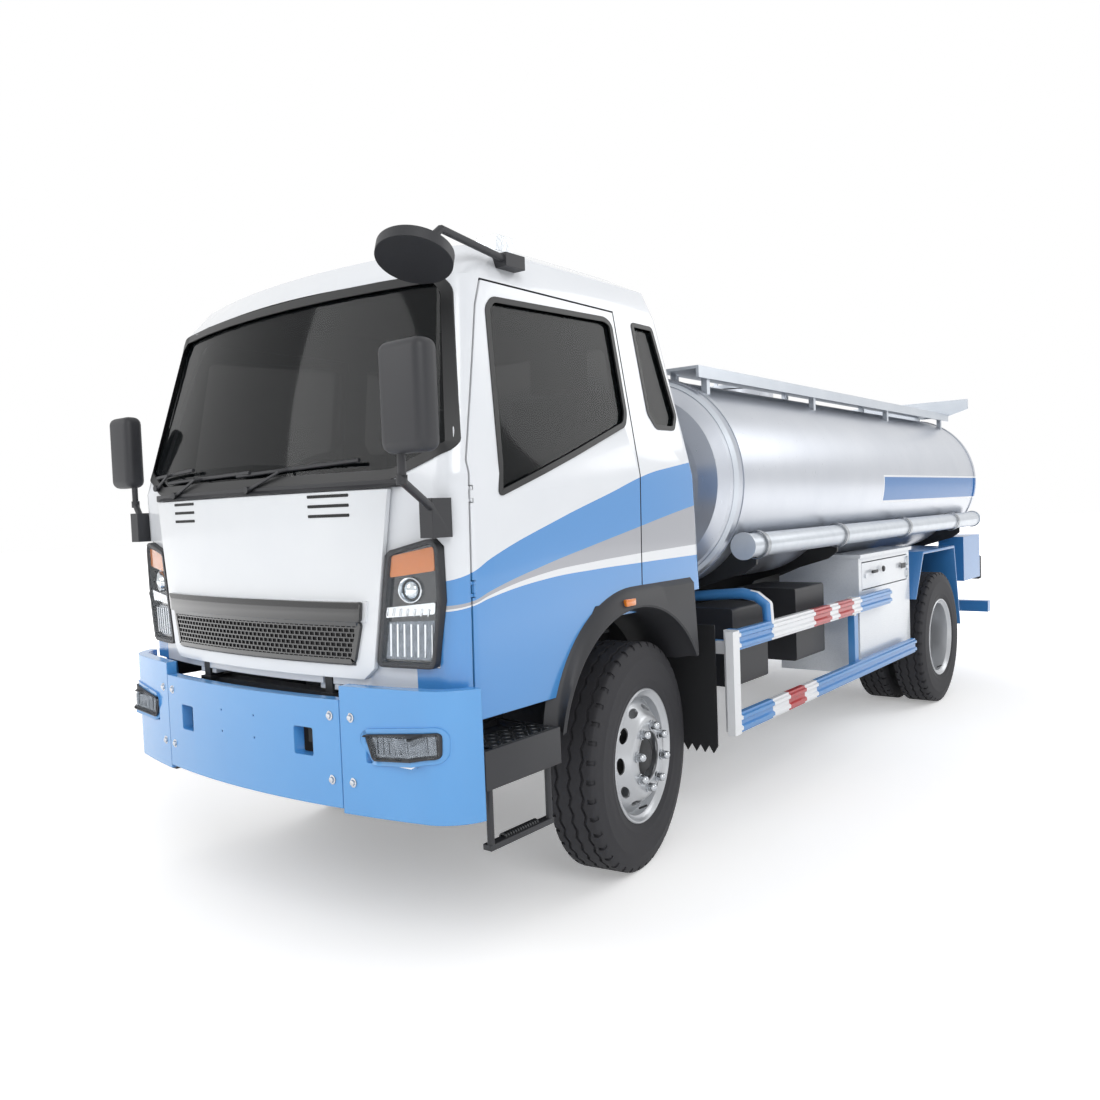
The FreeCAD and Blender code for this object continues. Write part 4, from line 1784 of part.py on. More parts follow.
left_guard = side_guard("left", front_axle + s.box_front + s.cab_corner * 4,
                        (guard_front_y + s.cab_corner * 0.8, front_axle + s.box_front - s.cab_corner * 1.6))
box_spacers = [
    box("guard_spacer_%d" % index, (s.box_side + s.seat_gap, guard_back + 1),
        (y, y + s.cab_corner * 0.6), (low + s.guard_rail / 4, low + s.guard_rail * 0.75))
    for index, (y, low) in enumerate((
        (front_axle + s.box_front + s.cab_corner * 3, s.guard_top - s.guard_rail),
        (front_axle + s.box_front + s.cab_corner * 3, s.guard_bottom),
        (front_axle + s.guard_end - s.cab_corner, s.guard_bottom)))
]
bend_y = front_axle + 1050
pipe_x = guard_back + s.guard_plate * 0.2
pipe_radius = s.guard_plate * 0.7
pipe_foot = box("pipe_foot", (frame_half + s.seat_gap, frame_half + s.cab_corner * 0.6),
                (bend_y - s.cab_corner * 0.4, bend_y + s.cab_corner * 0.4),
                (rail_bottom + s.cab_corner * 0.8, s.frame_top - s.cab_corner * 0.2))
guard_pipe = pipe("guard_pipe", [
    (frame_half + s.cab_corner * 0.35, bend_y, s.frame_top - s.cab_corner * 0.55),
    (s.cab_half_width * 0.64, bend_y, s.runner_top + s.cab_corner * 0.65),
    (s.cab_half_width * 0.95, bend_y, s.runner_top + s.cab_corner * 0.9),
    (s.cab_half_width * 1.03, bend_y, s.runner_top + s.cab_corner * 0.75),
    (pipe_x - s.cab_corner * 0.08, bend_y, s.runner_top + s.cab_corner * 0.35),
    (pipe_x, bend_y, s.guard_top - s.guard_rail / 2)], pipe_radius)
right_guard = mirrored("guard_right_side", side_guard(
    "right", front_axle + s.guard_end,
    (guard_front_y + s.cab_corner * 0.8, front_axle + 2200, front_axle + s.guard_end - s.cab_corner)))
finish(group("guard_group", fuse("guard_left_side", left_guard, guard_pipe, pipe_foot, *box_spacers),
             right_guard),
       "side_guards")

# Equipment box with a door in its upper half
eq_y = (front_axle + s.box_front, front_axle + s.box_front + s.box_length)


def equipment_outline(wall):
    """The box's section: its back is lower, under the tank's round side."""
    return [
        (s.box_inside + wall, s.box_bottom + wall), (s.box_side - wall, s.box_bottom + wall),
        (s.box_side - wall, s.box_top - wall), (s.box_shoulder + wall / 2, s.box_top - wall),
        (s.box_inside + wall, s.box_back_top - wall),
    ]


eq_outer = prism("equipment_outer", "XZ", equipment_outline(0), eq_y)
eq_hollow = prism("equipment_hollow", "XZ", equipment_outline(s.box_wall),
                  (eq_y[0] + s.box_wall, eq_y[1] - s.box_wall))
hatch_y = (eq_y[0] + s.box_wall * 2, eq_y[1] - s.box_wall * 2)
hatch_hole = box("hatch_hole", (s.box_side - s.box_wall * 2, s.box_side + s.box_wall),
                 hatch_y, (s.hatch_bottom, s.hatch_top))
eq_lid = box("equipment_lid", (s.box_shoulder, s.box_side + s.rail_plate * 2),
             (eq_y[0] - s.rail_plate, eq_y[1] + s.rail_plate),
             (s.box_top - s.rail_plate * 3, s.box_top))
eq_arms = [
    box("equipment_arm_%d" % index, (frame_half + s.seat_gap, s.box_inside + 1), (y, y + 80),
        (s.frame_top - s.cab_corner, s.frame_top - s.cab_corner * 0.2))
    for index, y in enumerate((eq_y[0] + s.cab_corner, eq_y[1] - s.cab_corner * 2))
]
hatch_pin_x = s.box_side + s.hinge_barrel
hatch_pin_y = hatch_y[1] - s.door_gap / 2
leaf = s.hinge_barrel * 0.7
barrel_half = s.hinge_barrel * 2.5
lug_length = s.hinge_barrel * 1.5
hinge_heights = (s.hatch_bottom + s.hinge_barrel * 6, s.hatch_top - s.hinge_barrel * 6)
box_hinge = []
door_hinge = []
hinge_bores = []
for index, z in enumerate(hinge_heights):
    box_hinge.append(cylinder("hatch_pin_%d" % index, "Z",
                              (hatch_pin_x, hatch_pin_y, z - barrel_half - lug_length),
                              s.hinge_barrel * 0.4, (barrel_half + lug_length) * 2))
    for name, low in (("low", z - barrel_half - lug_length), ("high", z + barrel_half)):
        box_hinge.append(cylinder("hatch_lug_%s_%d" % (name, index), "Z",
                                  (hatch_pin_x, hatch_pin_y, low), s.hinge_barrel, lug_length))
        box_hinge.append(box("hatch_leaf_%s_%d" % (name, index),
                             (s.box_side - 1, s.box_side + leaf),
                             (hatch_pin_y, hatch_y[1] + s.hinge_barrel * 4),
                             (low, low + lug_length)))
    door_hinge.append(cylinder("hatch_barrel_%d" % index, "Z",
                               (hatch_pin_x, hatch_pin_y, z - barrel_half + s.seat_gap),
                               s.hinge_barrel, (barrel_half - s.seat_gap) * 2))
    door_hinge.append(box("door_leaf_%d" % index, (s.box_side - 1, s.box_side + leaf),
                          (hatch_y[1] - s.hinge_barrel * 5, hatch_pin_y),
                          (z - barrel_half + s.seat_gap, z + barrel_half - s.seat_gap)))
    hinge_bores.append(cylinder("hatch_bore_%d" % index, "Z",
                                (hatch_pin_x, hatch_pin_y, z - barrel_half),
                                s.hinge_barrel * 0.4 + s.seat_gap, barrel_half * 2))
finish(fuse("equipment_body", cut("equipment_walls", fuse(
    "equipment_solid", eq_outer, eq_lid, *eq_arms), eq_hollow, hatch_hole), *box_hinge),
    "equipment_box")
hatch_gap = s.door_gap
hatch_plate = box("hatch_plate", (s.box_side - s.box_wall, s.box_side),
                  (hatch_y[0] + hatch_gap, hatch_y[1] - hatch_gap),
                  (s.hatch_bottom + hatch_gap, s.hatch_top - hatch_gap))
hatch_lock = cylinder("hatch_lock", "X", (s.box_side - 1, hatch_y[0] + s.cab_corner * 0.7,
                                          (s.hatch_bottom + s.hatch_top) / 2), 16, 9)
finish(cut("hatch_body", fuse("hatch_solid", hatch_plate, hatch_lock, *door_hinge), *hinge_bores),
       "equipment_door")

# Rear end: underrun bar, lamp boxes, tail lamps and the discharge outlet
bar_y = (rear_end - s.cab_corner * 0.9, rear_end)
rear_bar_beam = box("rear_bar_beam", (-s.underrun_half_width, s.underrun_half_width), bar_y,
                    (s.underrun_bottom, s.underrun_bottom + s.underrun_height))
bar_parts = [rear_bar_beam]
for side, word in ((1, "left"), (-1, "right")):
    low, high = sorted(((frame_half - s.rail_flange) * side, frame_half * side), key=number_of)
    bar_parts.append(box("bar_hanger_" + word, (low, high),
                         (bar_y[0] - s.cab_corner * 0.7, bar_y[0] + 1),
                         (s.underrun_bottom, rail_bottom - s.seat_gap)))
lamp_box_y = (rear_axle + s.cab_corner * 9, rear_axle + s.cab_corner * 14.2)
lamp_box_in = s.cab_half_width * 0.85
lamp_box = box("lamp_box", (lamp_box_in, s.box_side), lamp_box_y,
               (s.cab_bottom - 20, s.box_top))
lamp_box_arm = box("lamp_box_arm", (frame_half + s.seat_gap, lamp_box_in + 1),
                   (lamp_box_y[0] + s.cab_corner, lamp_box_y[0] + s.cab_corner * 1.8),
                   (s.frame_top - s.cab_corner, s.frame_top - s.cab_corner * 0.2))
lamp_carrier = fuse("lamp_carrier", lamp_box, lamp_box_arm)
finish(group("rear_bar_group", fuse("rear_bar_body", *bar_parts), lamp_carrier,
             mirrored("lamp_carrier_right", lamp_carrier)), "rear_bar")
tail_lamp = prism("tail_lamp", "XZ", rounded(
    (lamp_box_in - s.cab_corner * 0.4, s.box_side), (s.frame_top - 115, s.frame_top + 90), 15),
    (lamp_box_y[1] + s.seat_gap, lamp_box_y[1] + s.cab_corner * 0.6))
finish(group("lamp_group", fog_lamp, mirrored("fog_lamp_right", fog_lamp),
             tail_lamp, mirrored("tail_lamp_right", tail_lamp)), "chassis_lamps")

outlet_y = rear_end - s.cab_corner * 5.5
outlet_end = rear_end - s.cab_corner * 0.2
outlet_outer = s.outlet_radius + s.rail_plate
outlet_parts = [
    cylinder("outlet_drop", "Z", (0, outlet_y, s.outlet_height), s.outlet_radius,
             s.tank_middle - s.outlet_height),
    cylinder("outlet_run", "Y", (0, outlet_y - outlet_outer * 1.2, s.outlet_height), outlet_outer,
             outlet_end - outlet_y + outlet_outer * 1.2),
    cylinder("outlet_flange", "Y", (0, outlet_end - s.cab_corner * 0.2, s.outlet_height),
             s.outlet_radius * 2, s.cab_corner * 0.2),
]
flange_holes = [
    cylinder("flange_hole_%d_%d" % (sx, sz), "Y",
             (s.outlet_radius * 1.1 * sx, outlet_end - s.cab_corner, s.outlet_height + s.outlet_radius * 1.1 * sz),
             s.rail_plate, s.cab_corner * 2)
    for sx in (-1, 1) for sz in (-1, 1)
]
outlet_bore = cylinder("outlet_bore", "Y", (0, outlet_y + s.cab_corner, s.outlet_height), s.outlet_radius,
                       outlet_end - outlet_y)
finish(cut("outlet_body", fuse("outlet_solid", *outlet_parts), outlet_bore, tank_seat, *flange_holes),
       "outlet_pipe")


def save_pieces():
    """Check every object, then write each sub-part's shape to its own file."""
    doc.recompute()
    faults = [item.Name for item in doc.Objects if {"Invalid", "Error"} & set(item.State)]
    for piece in pieces:
        if piece.Shape.isNull() or not piece.Shape.isValid() or not piece.Shape.Solids:
            faults.append(piece.Label)
    if faults:
        raise RuntimeError("failed: " + ", ".join(faults))
    os.makedirs("parts", exist_ok=True)
    for piece in pieces:
        piece.Shape.exportStep("parts/%s.step" % piece.Label)
        bounds = piece.Shape.BoundBox
        print("%-18s solids %2d  X %6.0f %6.0f  Y %6.0f %6.0f  Z %6.0f %6.0f" % (
            piece.Label, len(piece.Shape.Solids), bounds.XMin, bounds.XMax,
            bounds.YMin, bounds.YMax, bounds.ZMin, bounds.ZMax))


save_pieces()
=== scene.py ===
"""Looks of a two-axle tanker truck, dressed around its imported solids. Lengths are in metres."""

import logging
import math
from dataclasses import dataclass, field
from enum import Enum
from typing import Callable, Dict, List, Optional, Sequence, Set, Tuple

import bmesh
import bpy
from mathutils import Matrix, Vector
from mathutils.bvhtree import BVHTree


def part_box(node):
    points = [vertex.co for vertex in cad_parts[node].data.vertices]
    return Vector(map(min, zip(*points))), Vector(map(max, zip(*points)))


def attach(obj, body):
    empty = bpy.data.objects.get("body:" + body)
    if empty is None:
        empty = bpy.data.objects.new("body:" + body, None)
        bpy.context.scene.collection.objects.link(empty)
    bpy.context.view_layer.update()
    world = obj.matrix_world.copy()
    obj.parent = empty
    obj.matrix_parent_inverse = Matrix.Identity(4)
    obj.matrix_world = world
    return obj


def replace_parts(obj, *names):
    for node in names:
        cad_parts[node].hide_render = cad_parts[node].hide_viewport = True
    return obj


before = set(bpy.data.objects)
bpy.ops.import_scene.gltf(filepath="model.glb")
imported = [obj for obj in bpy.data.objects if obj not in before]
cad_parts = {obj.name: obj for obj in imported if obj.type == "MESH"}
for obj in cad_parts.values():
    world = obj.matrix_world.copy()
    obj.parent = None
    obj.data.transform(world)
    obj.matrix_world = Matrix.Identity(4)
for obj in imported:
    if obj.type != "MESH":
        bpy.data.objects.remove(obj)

LOG = logging.getLogger("truck")
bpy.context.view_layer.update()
Point = Tuple[float, float, float]
Flat = Tuple[float, float]

FRONT_AXLE = -2.075
REAR_AXLE = 1.925
HUB_HEIGHT = 0.487
STEER_REST = math.radians(8.5)
MM = 0.001
SIDES = (("left", 1), ("right", -1))
# Points of a shape that are closer than this are one point, and a solid's are less exact
NEAR = 1e-6
SOLID_NEAR = 2e-5
# Faces that meet at less than this angle are shaded as one
SMOOTH_ANGLE = 0.6
# Heights between which a stripe's edge is drawn
STRIPE_LOW, STRIPE_HIGH = 0.8, 2.0
IDENTITY = Matrix.Identity(4)
MIRROR_X = Matrix.Diagonal((-1, 1, 1, 1))


class Plane(Enum):
    """Which face of the truck an outline is drawn on."""

    FRONT = "front"
    LEFT = "left"
    RIGHT = "right"


def linear(code: str) -> Tuple[float, float, float, float]:
    """Turn an sRGB hex code to a linear colour.

    Args:
        code: six hex digits.
    Returns:
        Red, green, blue and an alpha of 1.
    """
    parts = [int(code[index:index + 2], 16) / 255 for index in (0, 2, 4)]
    return tuple(part / 12.92 if part <= 0.04045 else ((part + 0.055) / 1.055) ** 2.4
                 for part in parts) + (1.0,)


def add_node(tree: bpy.types.NodeTree, kind: str, links: Optional[Dict[object, object]] = None,
             **settings: object) -> bpy.types.Node:
    """Add a shader node with its settings and links.

    Args:
        tree: the node tree.
        kind: the node's type name.
        links: socket name or number to the output that feeds it.
        settings: attributes, or input values under the socket's name with _ for a space.
    Returns:
        The new node.
    """
    node = tree.nodes.new(kind)
    for key, value in settings.items():
        if hasattr(node, key):
            setattr(node, key, value)
        elif key.startswith("in"):
            node.inputs[int(key[2:])].default_value = value
        else:
            node.inputs[key.replace("_", " ")].default_value = value
    for socket, source in (links or {}).items():
        tree.links.new(source, node.inputs[socket])
    return node


def joined(tree: bpy.types.NodeTree, one: bpy.types.NodeSocket, two: bpy.types.NodeSocket,
           operation: str = "MULTIPLY") -> bpy.types.NodeSocket:
    """Join two masks: MULTIPLY keeps what is in both, MAXIMUM what is in either."""
    return add_node(tree, "ShaderNodeMath", {0: one, 1: two}, operation=operation).outputs[0]


def within(tree: bpy.types.NodeTree,
           spans: Sequence[Tuple[bpy.types.NodeSocket, float, float]]) -> bpy.types.NodeSocket:
    """Make a mask of the places whose coordinates all lie in their spans.

    Args:
        tree: the material's nodes.
        spans: one coordinate's output, its least and its most, for each axis.
    Returns:
        The mask's output, 1 inside and 0 outside.
    """
    mask = None
    for value, least, most in spans:
        half = (most - least) / 2
        near = add_node(tree, "ShaderNodeMath", {0: value}, operation="COMPARE",
                        in1=least + half, in2=half).outputs[0]
        mask = near if mask is None else joined(tree, mask, near)
    return mask


def overlay(tree: bpy.types.NodeTree, under: bpy.types.NodeSocket, mask: bpy.types.NodeSocket,
            code: str) -> bpy.types.NodeSocket:
    """Lay a plain colour over another one where a mask is 1."""
    return add_node(tree, "ShaderNodeMix", {0: mask, 6: under}, data_type="RGBA",
                    in7=linear(code)).outputs[2]


def seen_rays(tree: bpy.types.NodeTree) -> bpy.types.NodeSocket:
    """Tell rays that carry a view, straight, mirrored or through glass, from ones that light."""
    rays = add_node(tree, "ShaderNodeLightPath").outputs
    direct = joined(tree, rays["Is Camera Ray"], rays["Is Glossy Ray"], "MAXIMUM")
    return joined(tree, direct, rays["Is Transmission Ray"], "MAXIMUM")


@dataclass(frozen=True)
class Finish:
    """One real surface: its colours, how it shines, and its grain in millimetres."""

    name: str
    colour: str
    shade: str
    roughness: float
    metallic: float = 0.0
    coat: float = 0.0
    blotch_mm: float = 300.0
    grain_mm: float = 3.0
    grain_depth_mm: float = 0.02
    stretch: Point = (1.0, 1.0, 1.0)
    opacity: float = 1.0
    edge_mm: float = 0.0

    def tint(self, tree: bpy.types.NodeTree, place: bpy.types.NodeSocket) -> bpy.types.NodeSocket:
        """Mix the two colours by a slow noise.

        Args:
            tree: the material's nodes.
            place: object coordinates.
        Returns:
            The colour's output.
        """
        noise = add_node(tree, "ShaderNodeTexNoise", {"Vector": place},
                         Scale=1000 / self.blotch_mm, Detail=3.0)
        return add_node(tree, "ShaderNodeMix", {0: noise.outputs["Fac"]}, data_type="RGBA",
                        in6=linear(self.colour), in7=linear(self.shade)).outputs[2]

    def build(self) -> bpy.types.Material:
        """Make the material once and hand it out after that.

        Returns:
            The material.
        """
        found = bpy.data.materials.get(self.name)
        if found:
            return found
        material = bpy.data.materials.new(self.name)
        material.use_nodes = True
        tree = material.node_tree
        shader = tree.nodes["Principled BSDF"]
        place = add_node(tree, "ShaderNodeTexCoord").outputs["Object"]
        tree.links.new(self.tint(tree, place), shader.inputs["Base Color"])
        stretched = add_node(tree, "ShaderNodeMapping", {"Vector": place}, Scale=self.stretch)
        grain = add_node(tree, "ShaderNodeTexNoise", {"Vector": stretched.outputs[0]},
                         Scale=1000 / self.grain_mm, Detail=4.0)
        spread = add_node(tree, "ShaderNodeMapRange", {0: grain.outputs["Fac"]},
                          in3=self.roughness * 0.8, in4=min(1.0, self.roughness * 1.2))
        tree.links.new(spread.outputs[0], shader.inputs["Roughness"])
        bump = add_node(tree, "ShaderNodeBump", {"Height": grain.outputs["Fac"]},
                        Distance=self.grain_depth_mm * MM, Strength=0.6)
        if self.edge_mm:
            soft = add_node(tree, "ShaderNodeBevel", samples=6, Radius=self.edge_mm * MM)
            tree.links.new(soft.outputs[0], bump.inputs["Normal"])
        tree.links.new(bump.outputs[0], shader.inputs["Normal"])
        shader.inputs["Metallic"].default_value = self.metallic
        shader.inputs["Coat Weight"].default_value = self.coat
        shader.inputs["Coat Roughness"].default_value = 0.06
        shader.inputs["Alpha"].default_value = self.opacity
        self.more(tree, shader)
        return material

    def more(self, tree: bpy.types.NodeTree, shader: bpy.types.Node) -> None:
        """Leave room for what one finish adds to the shader."""


@dataclass(frozen=True)
class Band:
    """A stripe between two edges, each a height that changes along the truck."""

    colour: str
    low: Sequence[Flat]
    high: Sequence[Flat]


def curve_height(tree: bpy.types.NodeTree, along: bpy.types.NodeSocket,
                 points: Sequence[Flat]) -> bpy.types.NodeSocket:
    """Height of a stripe's edge at each place along the truck.

    Args:
        tree: the material's nodes.
        along: the place along the truck.
        points: places and heights.
    Returns:
        The height's output.
    """
    start, end = points[0][0], points[-1][0]
    share = add_node(tree, "ShaderNodeMapRange", {0: along}, in1=start, in2=end)
    curve = add_node(tree, "ShaderNodeFloatCurve", {"Value": share.outputs[0]})
    line = curve.mapping.curves[0]
    while len(line.points) < len(points):
        line.points.new(0.5, 0.5)
    for knot, (place, height) in zip(line.points, points):
        knot.location = ((place - start) / (end - start),
                         (height - STRIPE_LOW) / (STRIPE_HIGH - STRIPE_LOW))
        knot.handle_type = "AUTO"
    curve.mapping.update()
    back = add_node(tree, "ShaderNodeMapRange", {0: curve.outputs[0]}, in3=STRIPE_LOW,
                    in4=STRIPE_HIGH)
    return back.outputs[0]


@dataclass(frozen=True)
class StripedPaint(Finish):
    """Two-pack body paint with bands that follow the truck's side."""

    bands: Tuple[Band, ...] = ()
    from_side: float = 0.0

    def tint(self, tree: bpy.types.NodeTree, place: bpy.types.NodeSocket) -> bpy.types.NodeSocket:
        """Lay the bands over the paint, from the first to the last."""
        colour = Finish.tint(self, tree, place)
        axes = add_node(tree, "ShaderNodeSeparateXYZ", {0: place})
        side = add_node(tree, "ShaderNodeMath", {0: axes.outputs[0]}, operation="ABSOLUTE")
        beside = add_node(tree, "ShaderNodeMath", {0: side.outputs[0]},
                          operation="GREATER_THAN", in1=self.from_side)
        for band in self.bands:
            mask = beside.outputs[0]
            for edge, test in ((band.low, "GREATER_THAN"), (band.high, "LESS_THAN")):
                height = curve_height(tree, axes.outputs[1], edge)
                half = add_node(tree, "ShaderNodeMath", {0: axes.outputs[2], 1: height},
                                operation=test)
                mask = joined(tree, mask, half.outputs[0])
            colour = overlay(tree, colour, mask, band.colour)
        return colour


@dataclass(frozen=True)
class BlockPaint(Finish):
    """Paint with blocks of other colours, each between two corners."""

    blocks: Tuple[Tuple[str, Point, Point], ...] = ()

    def tint(self, tree: bpy.types.NodeTree, place: bpy.types.NodeSocket) -> bpy.types.NodeSocket:
        """Lay the blocks over the paint."""
        colour = Finish.tint(self, tree, place)
        axes = add_node(tree, "ShaderNodeSeparateXYZ", {0: place})
        side = add_node(tree, "ShaderNodeMath", {0: axes.outputs[0]}, operation="ABSOLUTE")
        values = (side.outputs[0], axes.outputs[1], axes.outputs[2])
        for code, low, high in self.blocks:
            mask = within(tree, tuple(zip(values, low, high)))
            colour = overlay(tree, colour, mask, code)
        return colour


@dataclass(frozen=True)
class TankMetal(BlockPaint):
    """Brushed stainless sheet: long vertical streaks from rolling and cleaning."""

    def more(self, tree: bpy.types.NodeTree, shader: bpy.types.Node) -> None:
        """Let the painted stripe be paint and the rest be metal."""
        place = tree.nodes["Texture Coordinate"].outputs["Object"]
        axes = add_node(tree, "ShaderNodeSeparateXYZ", {0: place})
        _, low, high = self.blocks[0]
        mask = within(tree, [(axes.outputs[axis], low[axis], high[axis]) for axis in (1, 2)])
        metal = add_node(tree, "ShaderNodeMapRange", {0: mask}, in3=self.metallic, in4=0.0)
        tree.links.new(metal.outputs[0], shader.inputs["Metallic"])


@dataclass(frozen=True)
class HeightPaint(Finish):
    """A finish whose colour changes with height, as in a lamp's stacked chambers."""

    steps: Tuple[Tuple[float, str], ...] = ()

    def tint(self, tree: bpy.types.NodeTree, place: bpy.types.NodeSocket) -> bpy.types.NodeSocket:
        """Change colour at each height in turn."""
        colour = Finish.tint(self, tree, place)
        axes = add_node(tree, "ShaderNodeSeparateXYZ", {0: place})
        for height, code in self.steps:
            over = add_node(tree, "ShaderNodeMath", {0: axes.outputs[2]},
                            operation="GREATER_THAN", in1=height)
            colour = overlay(tree, colour, over.outputs[0], code)
        return colour


@dataclass(frozen=True)
class Pane(Finish):
    """Float glass: almost no body colour, a hard mirror skin."""

    def more(self, tree: bpy.types.NodeTree, shader: bpy.types.Node) -> None:
        """Set the glass's own refraction, low so that a thin pane hardly bends the view."""
        shader.inputs["IOR"].default_value = 1.1
        shader.inputs["Specular IOR Level"].default_value = 0.9
        shader.inputs["Coat IOR"].default_value = 1.5


@dataclass(frozen=True)
class StudioFloor(Finish):
    """Matt white floor. Its glow grows with the distance, so the far floor is the room's white."""

    glow_from: float = 3.0
    glow_full: float = 9.0
    least_glow: float = 0.30

    def more(self, tree: bpy.types.NodeTree, shader: bpy.types.Node) -> None:
        """Add the room's white to what the camera and mirrors see of the floor."""
        place = tree.nodes["Texture Coordinate"].outputs["Object"]
        far = add_node(tree, "ShaderNodeVectorMath", {0: place}, operation="LENGTH")
        share = add_node(tree, "ShaderNodeMapRange", {0: far.outputs["Value"]},
                         in1=self.glow_from, in2=self.glow_full, in3=self.least_glow,
                         in4=1.0)
        glow = joined(tree, share.outputs[0], seen_rays(tree))
        shader.inputs["Emission Color"].default_value = linear("FFFFFF")
        tree.links.new(glow, shader.inputs["Emission Strength"])


BLUE_HIGH = ((-3.40, 1.27), (-3.20, 1.32), (-3.074, 1.365), (-3.007, 1.396), (-2.607, 1.523),
             (-2.27, 1.615), (-1.98, 1.694), (-1.777, 1.726), (-1.40, 1.775))
GREY_HIGH = ((-3.40, 1.225), (-3.20, 1.243), (-3.079, 1.263), (-3.011, 1.285), (-2.70, 1.355),
             (-2.40, 1.41), (-2.10, 1.463), (-1.785, 1.519), (-1.40, 1.58))
GREY_LOW = ((-3.40, 1.215), (-3.20, 1.23), (-3.079, 1.252), (-3.011, 1.272), (-2.70, 1.325),
            (-2.40, 1.345), (-2.10, 1.357), (-1.785, 1.366), (-1.40, 1.375))
LINE_LOW = ((-3.40, 1.205), (-3.20, 1.222), (-3.079, 1.246), (-3.011, 1.262), (-2.70, 1.302),
            (-2.40, 1.314), (-2.10, 1.318), (-1.785, 1.321), (-1.40, 1.323))
FLOOR_LINE = ((-3.40, 0.801), (-1.40, 0.801))

# Two-pack body paint over steel: smooth, deep gloss, a faint orange peel
CAB_PAINT = StripedPaint(
    "two_pack_body_paint", "EDF0F4", "E4E8EE", 0.22, coat=0.6, grain_mm=5, grain_depth_mm=0.012,
    edge_mm=5, from_side=0.80, bands=(
        Band("4C93D6", FLOOR_LINE, BLUE_HIGH), Band("E9ECF0", LINE_LOW, GREY_HIGH),
        Band("A9ABB2", GREY_LOW, GREY_HIGH)))
# The same paint in white alone, with softer highlights on the pressed panel
PANEL_PAINT = Finish("two_pack_white_paint", "F0F3F6", "E6EAEF", 0.2, coat=0.6, grain_mm=5,
                     grain_depth_mm=0.012, edge_mm=4)
# Lighter blue top coat on the bumper: even colour and a clean, broad gloss
BUMPER_BLUE = Finish("two_pack_light_blue_paint", "5BA4E4", "549CDD", 0.24, coat=0.5, grain_mm=5,
                     grain_depth_mm=0.012, edge_mm=6)
# Enamel laid on by hand: deeper blue, a little duller and less even
CHASSIS_BLUE = Finish("brushed_on_blue_enamel", "3E82C2", "3878B6", 0.3, coat=0.3, grain_mm=8,
                      grain_depth_mm=0.03, edge_mm=3)
# Enamel on thin sheet: cool white with a soft sheen
BOX_WHITE = Finish("white_sheet_enamel", "E6EAEE", "DADFE5", 0.28, coat=0.4, grain_mm=6,
                   grain_depth_mm=0.015, edge_mm=3)
# Chassis paint on rolled steel: satin black with a veil of road dust
FRAME_BLACK = Finish("chassis_black_paint", "17181A", "222325", 0.5, grain_mm=4,
                     grain_depth_mm=0.05, edge_mm=2)
# Rough sand-cast skin: dark, dull and mottled
CAST_GREY = Finish("sand_cast_iron", "2C2D2F", "3A3A3B", 0.6, metallic=0.4, grain_mm=2,
                   grain_depth_mm=0.15)
# Moulded polypropylene: fine leather grain, dull
BLACK_PLASTIC = Finish("grained_polypropylene", "2B2C30", "232428", 0.5, grain_mm=1.6,
                       grain_depth_mm=0.12, edge_mm=4)
# High-gloss moulding: black with sharp reflections
GLOSS_BLACK = Finish("piano_black_plastic", "0E0F11", "131417", 0.12, coat=0.8, grain_mm=9,
                     grain_depth_mm=0.004, edge_mm=3)
# Extruded rubber: deep black with a faint sheen that draws each window's line
SEAL_RUBBER = Finish("epdm_seal_rubber", "101113", "17181A", 0.42, grain_mm=2,
                     grain_depth_mm=0.04)
# Painted shade: near-black matt colour that returns almost no light. It is laid as sheets on the
# panel for the shaded recess behind the grille, partly the dark parts behind it, and for the
# pressed slots' shaded openings
GRILLE_DARK = Finish("matt_moulded_plastic", "0D0E10", "121315", 0.7, grain_mm=3,
                     grain_depth_mm=0.05)
# Pressed chequered plate, painted black and worn on its raised tears
TREAD_PLATE = Finish("worn_chequered_plate", "3A3C3F", "26282A", 0.35, metallic=0.5, blotch_mm=30,
                     grain_mm=3, grain_depth_mm=0.1)
# Vulcanised carbon-black rubber: near black, dull, slightly patchy
TYRE_RUBBER = Finish("tyre_rubber", "101112", "17181A", 0.55, blotch_mm=90, grain_mm=1.5,
                     grain_depth_mm=0.1)
# Cut sheet rubber: a shade greyer than the tyres and quite dull
FLAP_RUBBER = Finish("mud_flap_rubber", "161719", "202124", 0.6, grain_mm=3, grain_depth_mm=0.2)
# Sprayed silver over pressed steel discs
RIM_SILVER = Finish("silver_wheel_paint", "C3C5C8", "B2B5B9", 0.3, metallic=0.55, grain_mm=1.5,
                    grain_depth_mm=0.03, edge_mm=3)
# Zinc plate: cool grey metal with a broken shine
BARE_STEEL = Finish("zinc_plated_steel", "A9ACB0", "8D9196", 0.35, metallic=0.9, grain_mm=2,
                    grain_depth_mm=0.03)
# Chromed caps: small bright points on the duller disc
NUT_STEEL = Finish("chromed_nut_caps", "C9CCD0", "A5A9AE", 0.18, metallic=0.95, grain_mm=4,
                   grain_depth_mm=0.02)
# Metallised lamp parts: an almost clean mirror
CHROME = Finish("vacuum_metallised_plastic", "E2E5E8", "CDD2D8", 0.08, metallic=1.0, grain_mm=20,
                grain_depth_mm=0.01)
# Drawn sections: pale metal with fine lines along the pull
ALLOY = Finish("extruded_aluminium", "CDD2D8", "B7BEC7", 0.35, metallic=0.7, grain_mm=2,
               grain_depth_mm=0.03, stretch=(1, 0.1, 1))
# Hot-dip zinc: pale grey with spangles, drawn coarser than real so that they show
TUBE_METAL = Finish("galvanised_tube", "D3D8DE", "BCC3CB", 0.32, metallic=0.45, blotch_mm=60,
                    grain_mm=12, grain_depth_mm=0.03)
